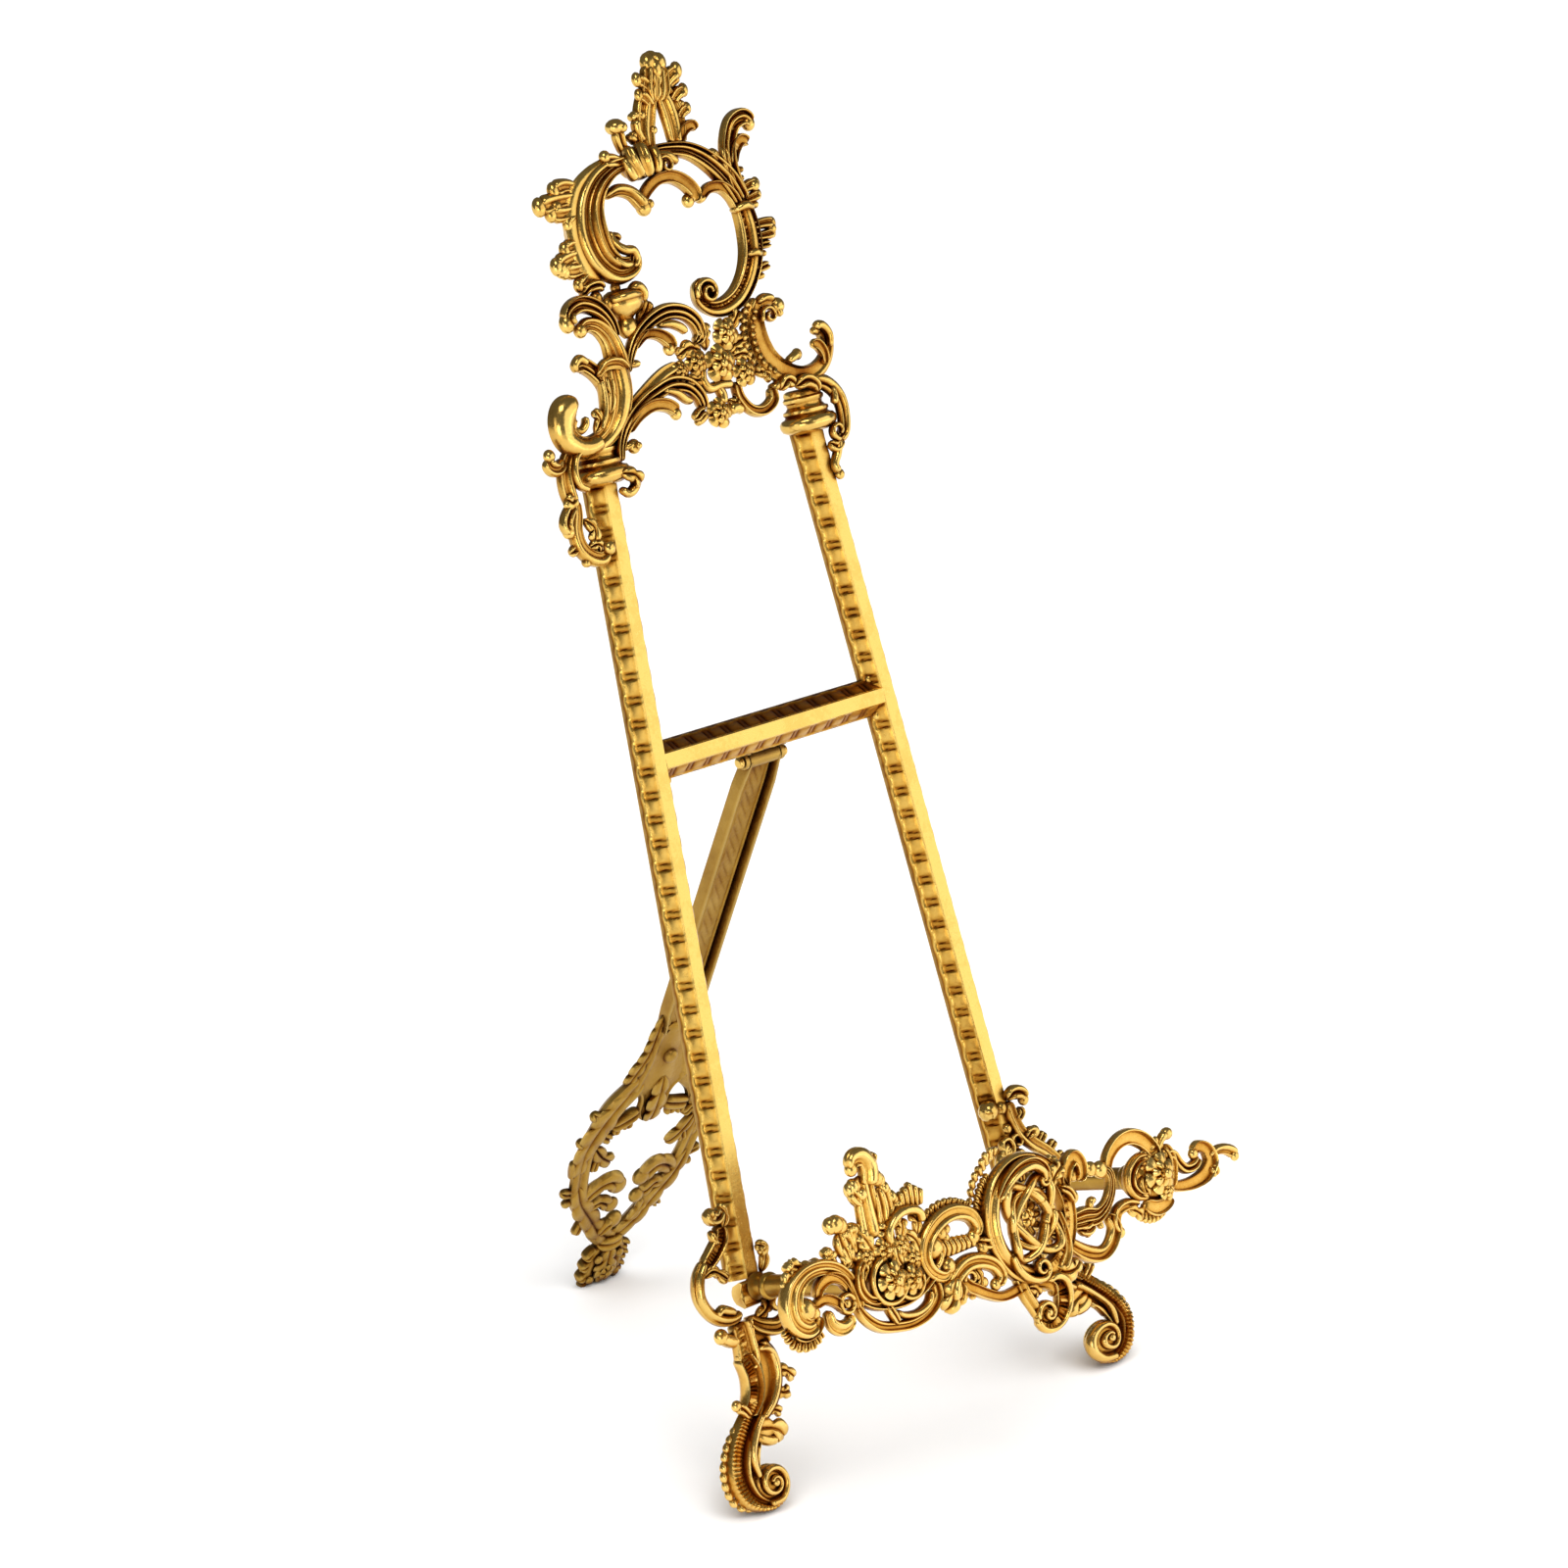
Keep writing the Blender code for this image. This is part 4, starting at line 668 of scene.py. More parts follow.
def make_right_ear():
    """The ear beside the right rail's foot, which hugs the rail, and the bosses on the rail itself."""
    return [
        band([(66, 105.4, 4, 0.4), (68.6, 107.4, 5.4, 1), (72.6, 106.4, 5.4, 1.4),
              (74.2, 103.4, 4.2, 1.4)], CLEFT, 2.6, 2.0),
        bead(73.4, 103.8, 2.4, 1.6),
        band([(66.6, 105, 4.6), (67.4, 98.6, 5.4), (69.6, 92.4, 5.8), (74, 87.4, 5.6), (79.4, 83.0, 5.2),
              (84, 77.6, 5), (86, 71.8, 4.6), (83.4, 67.6, 4.4), (78.4, 67.6, 3.6)],
             ((-0.5, 0.48, 1.0), (0.6, 0.38, 0.8)), 2.8, 2.2, 0.4),
        band([(68.6, 97, 3, 0.4), (71.0, 99.6, 3.8, 0.8), (70.6, 101.8, 3, 0.8)], CLEFT, 2.2, 1.6),
        band([(70.6, 89.6, 3, 0.6), (73.4, 91.6, 4.4, 1), (75.8, 90.6, 4.2, 1.2)], CLEFT, 2.4, 1.6),
        bead(75.6, 91.2, 2.4, 1.2), lobe(76.4, 85.6, 48, 6, 4.2, 2.2, 1.6, 0, CLEFT),
        lobe(80.4, 82, 42, 5.6, 4, 2.2, 1.6, 0, CLEFT), lobe(83.6, 78, 34, 4.6, 3.6, 2.0, 1.4, 0, CLEFT),
        leaf([(82, 72, 3, 0.4), (78, 75.6, 5, 0.8), (73.6, 77.6, 3, 0.4)], lobes=2),
        bead(57.6, 103.6, 3.9, -0.6, squash=0.9), bead(63.4, 103.2, 2.4, 0.2),
        band(spiral(60.6, 89.6, 4.0, 1.0, -60, 400, 2.4, 1.4, 0.6, 1.4, count=16), front=1.8, back=2.0,
             step=0.4),
        band(spiral(66.8, 90.0, 3.6, 1.0, 240, -400, 2.2, 1.4, 0.2, 1.0, count=16), front=1.8, back=2.0,
             step=0.4),
        band([(56.6, 82.8, 3, -0.6), (58.4, 86.4, 4, 0), (60.6, 85.2, 3.4, 0.4)], CLEFT, 2.2, 2.0),
        band([(69.6, 83, 3, -0.4), (66.6, 85.4, 4, 0.2), (64.4, 84.6, 3.4, 0.4)], CLEFT, 2.2, 2.0),
        bead(63.8, 95.4, 2.0, 0.4)]


def spread_right(shells):
    """The right foot kicks out further than the left one, most of all at its volute."""
    out = []
    for points, faces, marks in shells:
        points = points.copy()
        low = np.clip((34.0 - points[:, 1]) / 22.0, 0, 1)
        low = low * low * (3 - 2 * low)
        x = points[:, 0]
        points[:, 0] = x + low * np.interp(x, (62, 72, 80, 91, 98, 103), (0, 2.5, 6.6, 6.4, 4.6, 3.0))
        points[:, 1] += low * 0.06 * np.clip(points[:, 1], 0, 12)
        out.append((points, faces, marks))
    return out


ears = {"left": flat(make_side_scroll()), "right": flat(make_right_ear())}
for label, side in (("left", -1), ("right", 1)):
    sided = mirror if side > 0 else flat
    foot = sided(flat(make_foot()))
    if side > 0:
        foot = spread_right(foot)
    piece("foot_" + label, foot, material=FOOT_PAINTED_LIGHT, floor=0.0)
    piece("socket_" + label, sided(flat(make_socket())))
    piece("side_scroll_" + label, ears[label])
    piece("arm_" + label, [make_arm(side)], "turned", slot="brown_brass", sharp=35)
    piece("arm_leaf_" + label, sided(flat(make_arm_leaf())))


# ---------------------------------------------------------------- capitals and drops
def make_capital():
    rows = [(355.6, 7.2), (356.2, 9.0), (357.2, 10.9), (358.6, 11.6), (360.0, 11.6), (361.2, 10.6),
            (361.6, 9.2),
            (362.2, 8.7), (363.0, 9.4), (363.9, 9.3), (364.4, 8.0), (365.4, 7.2), (366.4, 7.4),
            (367.0, 8.2), (368.0, 8.4), (368.8, 7.6), (369.6, 7.8), (370.6, 7.4), (371.2, 6.2)]
    return turned(rows, (-48.9, 0, -3.8), (0, 1, 0), (1, 0, 0), sides=44, squash=0.72)


def make_capital_leaves():
    return [
        leaf([(-47, 358.6, 4, 3.4), (-42, 357, 6.4, 4.4), (-38.6, 353.6, 5, 3.6)], lobes=2),
        band([(-38.8, 357.8, 3.4, 2.6), (-37.6, 355.2, 3.6, 2.4)], front=2.2, back=1.6),
        band([(-46.4, 353.4, 2.6, 1), (-43.4, 351.2, 3.6, 1.6), (-40.2, 353.4, 3.8, 2),
              (-40.6, 357, 3, 2.2)], front=2.4, back=1.6)]


def make_drop_left():
    return [
        band([(-67.4, 351, 6), (-68.6, 357, 6.8), (-68, 363, 6.4), (-64.6, 368.4, 5.6),
              (-59.4, 370.6, 5)], ((-0.4, 0.55, 1.0), (0.72, 0.24, 0.8)), 2.8, 2.2, 0.35),
        band([(-58.6, 369.4, 2.6, 1), (-63, 367.4, 3, 1.6), (-65.4, 362.6, 3, 2), (-64.4, 357.8, 2.8, 2),
              (-60.4, 355.6, 2.6, 1.6)], front=2.4, back=1.8),
        band([(-67.4, 367.4, 4, 0.4), (-71.4, 365.2, 5.4, 1.2), (-75.2, 366.4, 6, 2),
              (-76, 369.4, 5, 2.4)], ((-0.45, 0.5, 1.0), (0.6, 0.34, 0.8)), 2.8, 1.8),
        bead(-74.8, 370.0, 2.4, 2.8),
        leaf([(-66, 355.6, 4, 1), (-69, 352.8, 6, 1.8), (-71.4, 354.6, 4.4, 2)], lobes=2),
        band([(-67.4, 352, 4, 0.4), (-71.4, 349.4, 5, 1), (-73.8, 345.8, 5.2, 1.4),
              (-72.6, 342.4, 4, 1.6)], CLEFT, 2.6, 1.6),
        bead(-73.0, 343.4, 2.5, 1.6),
        band([(-66.6, 353.6, 5), (-67.4, 348.6, 5.6), (-69.2, 343.0, 6), (-68.6, 337.2, 6.2),
              (-65, 333.2, 6), (-60.4, 331.8, 5.4), (-57.2, 333.8, 4.6)],
             ((-0.35, 0.6, 1.0), (0.72, 0.24, 0.7)), 2.8, 1.8, 0.4),
        bead(-57.0, 334.8, 2.6, 1.4), lobe(-69.8, 337.4, 196, 4.6, 4, 2.2, 1.4, 0.2, CLEFT),
        lobe(-66.4, 333.6, 232, 4, 3.6, 2.2, 1.4, 0.2),
        leaf([(-65.4, 346.6, 4, 0.6), (-62, 342.8, 6, 1.4), (-62.8, 338.2, 4.4, 1.4)], lobes=2),
        leaf([(-66, 336.4, 3, 1), (-62.4, 337, 4.4, 1.6), (-60, 335.4, 3, 1.2)], lobes=2)]


def make_drop_right():
    return [
        band([(50.6, 373.6, 5), (57, 371.2, 6), (61.4, 366, 6), (62.2, 359.4, 5.4), (60.4, 353, 5),
              (57, 350.8, 4.4)], ((-0.6, 0.34, 0.8), (0.3, 0.6, 1.0)), 2.8, 2.0, 0.3),
        band([(58.8, 370, 2.4, 1), (58.6, 366, 2.8, 1.6), (57.6, 363.2, 3, 1.6)], front=2, back=1.4),
        band(spiral(56.4, 354.2, 3.4, 1.1, -80, -360, 2.4, 1.4, 1.6, 2.4, count=12), front=2.0, back=1.6,
             step=0.4),
        band([(58.6, 351, 4, 0.4), (54.4, 348.6, 4.6, 1), (51.6, 350.6, 3.4, 1)], CLEFT, 2.2, 1.4),
        band([(57.4, 351.4, 3.4, 0.4), (54.6, 346.2, 3.6, 0.8), (52.4, 342.4, 3.2, 0.8),
              (53.4, 339.4, 3.6, 1)], front=2.2, back=1.4),
        bead(53.8, 338.8, 2.0, 1.0)]


piece("capital_left", [make_capital()] + make_capital_leaves(), sharp=40)
right_lumps = [
    band([(34.6, 372.6, 4, 1), (37.6, 375.6, 5, 2), (41.2, 373.4, 4.4, 2)], CLEFT, 2.4, 2.0),
    band([(41.6, 372.6, 4, 1.6), (46, 374, 5.4, 2.4), (50.4, 371.8, 4.6, 2), (51.4, 368.8, 3, 1.4)],
         CLEFT, 2.4, 2.0)]
piece("capital_right", mirror([make_capital()]) + right_lumps, sharp=40)
piece("drop_left", make_drop_left())
piece("drop_right", make_drop_right())


# ---------------------------------------------------------------- crest
THREE = ((-0.72, 0.3, 0.85), (-0.08, 0.36, 0.95), (0.66, 0.36, 1.0))


def roll(x, s, angle, length, width, lift=0.0, front=2.4):
    """The rolled-over end of a leaf: a fat middle lump and a smaller one on each side."""
    a = math.radians(angle)
    c, d = math.cos(a) * length * 0.22, math.sin(a) * length * 0.22
    fat, tall = length * 0.34, width * 0.56
    shells = [bead(x, s, fat, lift, squash=front / fat * 0.9, stretch=tall / fat)]
    for side in (-1, 1):
        shells.append(bead(x + side * c, s + side * d - 0.08 * width, fat * 0.84, lift - 0.3,
                           squash=front / fat, stretch=tall / fat * 1.1))
    return shells


def frond(x, s, angle, turn, length, width, lift=0.0, front=2.8):
    """A fluted leaf finger that bends by turn degrees and ends in a curled knob."""
    points, steps = [], 6
    for k in range(steps + 1):
        f = k / steps
        a = math.radians(angle + turn * f)
        points.append((x, s, width * (0.8 + 0.35 * f), lift + 1.2 * f * f))
        x += math.cos(a) * length / steps
        s += math.sin(a) * length / steps
    knob = bead(points[-1][0], points[-1][1], width * 0.42, lift + 1.2, squash=0.75, stretch=1.3)
    return [band(points, TUFT, front, 1.8, 0.45, rounded=(0.3, 0.9)), knob]


TUFT = ((-0.42, 0.56, 1.0), (0.62, 0.36, 0.85))
left_acanthus = [
    band([(-58.4, 383.2, 6.0, 2.4), (-60.6, 384.2, 9.4, 2.2), (-63.6, 383.0, 11.8, 1.8),
          (-65.4, 379.4, 12.0, 1.4), (-65.0, 374.8, 10.8, 1.0), (-61.0, 371.2, 9, 0.6),
          (-55.6, 369.8, 7.6, 0.2), (-49, 371.2, 6.6, 0)], ((-0.1, 0.9, 1.0),), 4.4, 2.8,
         rounded=(0.9, 0.5)),
    band([(-60, 369.8, 6.8, 0), (-53, 370.0, 7.2, 0), (-46.4, 372.4, 8, 0), (-41.2, 377.6, 10.6, 0),
          (-38.4, 384.6, 13.4, 0.2), (-38.2, 391.4, 13.8, 0.6), (-38.6, 395, 12.4, 1.0)],
         ((-0.42, 0.56, 1.0), (0.34, 0.3, 0.85), (0.84, 0.16, 0.8)), 3.6, 2.6, 0.55, rounded=(0.5, 0.3)),
    band([(-60.6, 377.4, 2.4, 0.4), (-57.8, 375.6, 2.8, 0.8), (-55.2, 377.2, 2.8, 1.2),
          (-54.4, 380.2, 2.4, 1.4)], front=1.8, back=2.0),
    leaf([(-52.4, 373.6, 3, 1.6), (-49.4, 377.8, 5, 2), (-50.6, 381.6, 3.4, 1.8)], lobes=2, front=1.8),
    band([(-50, 374.4, 2.2, 1.8), (-46.6, 379.8, 2.6, 2), (-45.4, 386, 2.6, 2.2), (-45.6, 391, 2.2, 2.4)],
         front=2.4, back=2.2),
    band([(-46.8, 392.2, 3, 1.8), (-42.6, 395.6, 4.4, 3), (-37, 395.2, 4.6, 3.2), (-32.4, 391.8, 3, 2)],
         ((0.5, 0.46, 1.0), (-0.5, 0.36, 0.6)), 3.0, 2.0),
    leaf([(-44.4, 379, 3, 2.6), (-42.4, 385, 5, 3), (-41.6, 391.6, 4, 2.6)], lobes=2, front=1.3),
    band([(-35, 392, 11.6, 0), (-35.2, 399, 9.8, 0.4), (-36.8, 404.6, 8.2, 0.6), (-40.8, 409, 6.6, 0.8),
          (-45.6, 410.2, 5.2, 1.2), (-49, 408.4, 4.4, 1.6)],
         ((-0.56, 0.4, 0.95), (0.14, 0.24, 0.8), (0.74, 0.26, 0.95)), 3.2, 2.4, 0.4, rounded=(0.3, 0.9)),
    bead(-48.6, 408.8, 2.7, 2.0),
    band([(-33.2, 403.6, 3, 0.8), (-35.2, 409.8, 4.6, 1.2), (-40, 415, 6, 1.6), (-46.4, 417.6, 6.4, 1.6),
          (-52, 416, 6, 1.8), (-54.4, 412.6, 5.4, 2.2)],
         ((-0.78, 0.22, 1.0), (-0.1, 0.34, 0.8), (0.66, 0.3, 0.9)), 3.2, 2.2, 0.15, rounded=(1, 0.9)),
    bead(-54.0, 412.2, 3.1, 2.4, stretch=1.15),
    band([(-51.4, 415.4, 1.8, 4.2), (-52.6, 413, 1.8, 4.8), (-51.2, 411.4, 1.8, 4.2)], front=1.2,
         back=1.2),
    band([(-42.6, 382, 3.6), (-43.6, 389.6, 5.6, 0.4), (-47.2, 394.6, 6, 0.8), (-52, 397.6, 5.8, 1.2),
          (-55.2, 396.8, 4.6, 1.6)], ((-0.7, 0.28, 0.9), (0.1, 0.34, 0.75), (0.74, 0.26, 0.95)), 3.0, 2.2,
         0.25, rounded=(1, 0.9)),
    band([(-49, 397.4, 2.6, 2.6), (-53, 399.6, 3.4, 3), (-55.6, 397.6, 3, 3), (-54.6, 395.4, 2.4, 2.4)],
         front=2.0, back=1.6)]
piece("crest_left_acanthus", left_acanthus)

left_branch = [
    band([(-42.8, 362, 3), (-41.4, 367.6, 4), (-37.2, 373.6, 5), (-30, 378.8, 5.2), (-22, 382, 6),
          (-13, 383.8, 6.6), (-6, 381.8, 6.2), (-2, 377.2, 5.4), (-1.2, 372.6, 4.6)], THREE, 3.0, 2.2,
         0.1),
    band([(-41.6, 369.4, 3, -1), (-34.6, 377.6, 3.8, -0.6), (-24.6, 383.6, 4.4, -0.4), (-15, 388, 4.8, 0),
          (-8, 389.6, 4, 0)], ((-0.3, 0.66, 1.0),), 2.6, 2.0, 0.4),
    band([(-37, 371.4, 3, 0.4), (-31, 376.2, 4.4, 1), (-24.4, 378.2, 4.8, 1.4), (-18.4, 377.0, 5.2, 1.8),
          (-14.6, 373.8, 5, 2)], RIMS, 2.4, 1.8, 0.35, rounded=(1, 0.9)),
    bead(-15.2, 373.6, 2.4, 2.0),
    band([(-18, 382.4, 2.4, 1), (-13, 380.6, 3.2, 1.4), (-9, 377.4, 3.2, 1.4), (-6.4, 376.2, 2.4, 1.4)],
         front=2.2, back=1.4),
    band([(-40.6, 366, 2, 0), (-38, 366.8, 3, 0.6), (-36, 366.4, 3.4, 1)], front=2.2, back=1.4),
    bead(-36.0, 366.2, 2.7, 1.0), bead(-35.4, 366.2, 1.3, 3.2),
    band([(-1.2, 372.2, 3.4, 0.8), (-4.6, 372, 3.6, 1.4), (-7.6, 369.9, 3.8, 1.6)], CLEFT, 2.6, 1.6),
    band([(-0.2, 371.4, 3, 0.4), (-3.8, 369.4, 3.4, 0.8), (-6.6, 368.4, 2.6, 0.8)], front=2.2, back=1.4)]
piece("crest_left_branch", left_branch)

upper_branch = [
    band([(-31, 391, 2.6), (-28.8, 396.6, 4), (-24, 402.4, 4.8), (-17, 406.6, 5.6), (-8.4, 408.6, 6),
          (-0.8, 406.8, 6), (3.6, 402.6, 5.6), (4.4, 398.2, 4.6), (1.8, 395.4, 3.8)], THREE, 3.0, 2.2,
         0.1),
    band([(-26.4, 398.8, 2.6, 0.6), (-20.6, 402.4, 3.6, 1), (-15, 401.4, 4.4, 1.4),
          (-11.4, 398, 5.2, 1.8), (-11.8, 395.2, 4.6, 2)], RIMS, 2.6, 1.8, 0.3, rounded=(1, 0.9)),
    bead(-11.6, 395.8, 2.5, 2.0),
    band([(-14, 404.6, 2.2, 1), (-8, 404, 3.4, 1.4), (-3.8, 401.6, 3.4, 1.6), (-2.4, 399.6, 2.4, 1.4)],
         front=2.4, back=1.6),
    leaf([(-21.4, 405.4, 4, -1), (-17.4, 409.4, 6.4, -0.6), (-14.4, 413.6, 4.6, 0)], lobes=2),
    band([(-30, 393, 2.2, 0), (-27.4, 393.6, 3, 0.6), (-25.2, 393, 2.6, 0.8)], front=2.0, back=1.4)]
piece("crest_upper_branch", upper_branch)

bowl = [(402.6, 2.2), (404, 3.6), (406, 4.4), (408, 4.0), (409.2, 3.2), (410, 4.2), (411.2, 6.6),
        (413, 8.4), (415, 9.0), (416.6, 8.8), (417.2, 7.6), (418, 7.2), (418.8, 6.4), (419.6, 4.6)]
cup = [
    turned([(d, r * 0.98) for d, r in bowl], (-25.6, 0, -0.6), (0, 1, 0), (1, 0, 0), sides=34,
           squash=0.72),
    band([(-33.6, 416.2, 2.6, 2.4), (-29, 416.9, 3, 5), (-24, 416.9, 3, 5), (-18.4, 416.4, 2.8, 2.4)],
         front=1.6, back=1.6),
    band([(-23.6, 418.2, 3, 2), (-20.6, 419.4, 4, 2.6), (-18.2, 417, 4, 2.4), (-18.6, 413.4, 3, 1.8)],
         front=2.6, back=1.8),
    bead(-37.6, 418.4, 2.6, 0.8), bead(-27.6, 420.4, 2.1, 0.2), bead(-33.6, 415.6, 2.4, 1.4),
    band([(-43.4, 420.2, 2.6), (-40.4, 422.4, 3.8, 0.6), (-36.2, 422.6, 4, 1), (-33.6, 420.6, 3, 0.6)],
         CLEFT, 2.6, 1.8)]
piece("crest_cup", cup)

crescent = [
    band([(-17.6, 431.6, 4.4, 1.6), (-19.4, 427, 7.4, 1.6), (-26.2, 426.2, 10.6, 1.2),
          (-31.6, 431.2, 13.2, 0.6), (-33.8, 440, 14.6, 0.2), (-32, 449.4, 12.8, 0),
          (-26.4, 456.6, 10, 0.2), (-18.6, 460.6, 7, 0.6), (-11, 461.6, 5.4, 0.8)],
         ((0.62, 0.36, 1.0), (0.06, 0.18, 0.82), (-0.34, 0.2, 0.9), (-0.82, 0.18, 0.85)), 3.8, 2.6, 0.4,
         rounded=(0.9, 0.6)),
    band([(-33, 423.4, 5, -0.6), (-37.4, 429, 9, -0.4), (-39.6, 437, 9.4, -0.4), (-39.2, 446, 9, -0.4),
          (-35, 454.6, 8.4, -0.4), (-28.6, 459.4, 6.6, -0.2), (-20, 462.8, 4.4, 0)], ((0.3, 0.9, 1.0),),
         3.0, 2.2, 0.6),
    band([(-26.4, 440, 2.4, 1.2), (-25.4, 435.4, 3.2, 2), (-22.2, 432.4, 3.6, 2.8),
          (-18.8, 431.6, 3.6, 2.8), (-17.6, 428.4, 3.2, 2.4), (-19.6, 425.6, 2.6, 2)], front=2.4,
         back=2.0),
    band([(-27.6, 430.6, 2, 3), (-23.4, 427.4, 2.6, 3.6), (-19.8, 427.4, 2, 3.2)], front=1.2, back=1.2),
    leaf([(-26.4, 434.4, 3, 0), (-24, 437.2, 4.6, 0.6), (-21.6, 435.8, 3, 0.8)], lobes=2),
    lobe(-24, 438.6, -35, 4, 2.6)]
for x, s, angle, turn, long, wide in (
        (-36.6, 457.0, 158, 50, 9.4, 5.8), (-36.6, 453.2, 176, 14, 16.8, 6.6),
        (-36.8, 449.6, 192, -30, 12.4, 6.0),
        (-36.4, 447.2, 204, -10, 6.6, 5.2), (-39.2, 436.8, 160, 50, 7.6, 5.4),
        (-39.6, 433.6, 174, 36, 12.4, 6.2),
        (-39.4, 429.8, 192, -30, 9.6, 6.0), (-38.0, 426.6, 208, -10, 6.6, 5.0)):
    crescent.append(frond(x, s, angle, turn, long, wide, -0.2))
crescent += [bead(-46.4, 451.6, 2.6, 1.2), bead(-50.0, 430.6, 2.8, 1.0, stretch=1.2),
             bead(-43.4, 446.8, 1.8, 1.0)]
piece("crest_crescent", crescent)

knot = [
    bead(-5.4, 460.6, 8.4, -0.4, squash=0.42, stretch=0.72, sides=26),
    band([(-13.4, 463.6, 3, 1.4), (-12, 459, 4, 2.2), (-9.6, 454.6, 3.6, 2)], front=2.6, back=2),
    band([(-10.6, 467.4, 4, 1.6), (-10, 461.6, 5, 3), (-7, 455.2, 4.4, 2.6)], ((0.3, 0.6, 1.0),), 2.6,
         2.0),
    band([(-4.6, 468, 5, 1.6), (-5, 461.6, 5.6, 3.6), (-3.6, 455, 4.4, 2.8)], ((0.3, 0.6, 1.0),), 2.6,
         2.0),
    band([(0.6, 466, 4.4, 1.4), (0.8, 460.6, 4.6, 2.8), (0.4, 455.4, 3.6, 2.2)], front=2.6, back=2.0),
    band(spiral(5.2, 458, 3.6, 1.0, 160, -420, 2.0, 1.1, 1.6, 2.8, count=14), front=1.8, back=1.8,
         step=0.35),
    band([(2.4, 462.4, 3.6, 0.4), (8, 460.6, 5, 0.6), (12.4, 458, 3, 0.4)], front=2.2, back=1.6),
    band([(-10.4, 464.4, 4, 0), (-12, 469.4, 5, 0.6), (-12.6, 473.4, 6, 1.2)], CLEFT, 2.6, 1.8),
    bead(-12.6, 474.2, 3.9, 1.2, squash=0.8, stretch=0.75), bead(-10.8, 473.6, 1.9, 3.2),
    band([(-13, 461.6, 4, 0), (-17.4, 463, 5.4, 0.8), (-22.4, 463.6, 5.4, 1.2)], CLEFT, 2.6, 1.8),
    bead(-20.6, 464.8, 2.4, 1.8),
    lobe(-6, 467.4, 70, 4.4, 4, 2.0), lobe(-0.4, 467, 120, 4, 3.4, 2.0),
    band([(-23.4, 451.4, 2.6), (-17.4, 452.8, 4.6, 0.4), (-12.6, 451, 5.4, 0.8), (-9.8, 447.4, 6, 1.4),
          (-8.4, 444.8, 5.4, 1.6)], ((0.3, 0.66, 1.0), (-0.76, 0.22, 0.7)), 3.0, 2.0, rounded=(1, 0.8)),
    bead(-8.2, 445.2, 3.2, 1.4), bead(-5.6, 446.0, 1.7, 2.2),
    band([(-8.4, 447.4, 3.4, 0.6), (-5.4, 450.6, 4.4, 0.6), (0.4, 453.6, 4.6, 0.6), (7, 453.6, 5.2, 0.6),
          (12.6, 450.2, 5.8, 0.8), (15, 446, 5.6, 1.2), (13.6, 443.8, 4.4, 1.4)], RIMS, 2.8, 2.0, 0.4,
         rounded=(1, 0.8)),
    bead(12.6, 444.2, 2.6, 1.0),
    band([(16.4, 446.8, 2, 0.6), (17.6, 443.8, 2.8, 0.8), (20.4, 444.2, 2.2, 0.8)], front=2.0, back=1.4)]
piece("crest_knot", knot)

arch = [
    band([(-1, 463.4, 4), (8, 463.2, 5), (17.6, 461.2, 6.4), (26.4, 455.4, 8), (32.6, 448, 9),
          (36.4, 439.6, 8.4)], ((0.8, 0.2, 0.95), (0.28, 0.3, 0.85), (-0.2, 0.16, 0.7),
                                (-0.68, 0.3, 0.95)), 3.4, 2.4, 0.2, rounded=(1, 0.5)),
    band([(17.6, 443.4, 2.8, 0.4), (21.8, 446.8, 4, 0.8), (27.4, 446.6, 4.6, 1), (31.6, 442.8, 5, 1),
          (33.8, 437.6, 4.6, 0.8)], RIMS, 2.8, 1.8, 0.3),
    band([(37.6, 440, 6), (35.4, 447.4, 6.4), (35, 454.6, 6.2), (36.4, 461.6, 6.4),
          (40.2, 467.6, 6.8, 0.4), (45.2, 468.8, 6.6, 1), (48.2, 465.8, 5.2, 1.6)],
         ((0.76, 0.24, 0.9), (0.1, 0.36, 0.8), (-0.72, 0.28, 1.0)), 3.2, 2.2, 0.15, rounded=(0.6, 0.9)),
    bead(47.2, 466.2, 2.8, 1.6),
    band([(36.6, 453, 3, 0.6), (38.2, 458, 4.2, 1), (41.6, 461.2, 4.6, 1.4), (45, 459.6, 4, 1.6)], RIMS,
         2.4, 1.6, 0.3, rounded=(1, 0.8)),
    band([(31, 455.6, 3.6, 0), (28.4, 458.4, 4.4, 0.6), (26.6, 458.4, 3.4, 0.6)], front=2.2, back=1.6),
    leaf([(33.4, 449.6, 3, 1), (33.2, 455, 4.6, 1.4), (33.8, 460, 3, 1)], lobes=2),
    lobe(37.6, 451.4, -8, 3.4, 2.4), lobe(37.4, 448, 4, 3, 2.2),
    frond(37.6, 443.6, 24, -26, 7.4, 4.4), frond(38.6, 440.2, 6, 14, 6.2, 3.8),
    lobe(38.4, 438.2, -2, 5.6, 3, 2.2, 1.4), bead(43.4, 444.6, 2.1, 2.0)]
piece("crest_arch", arch)

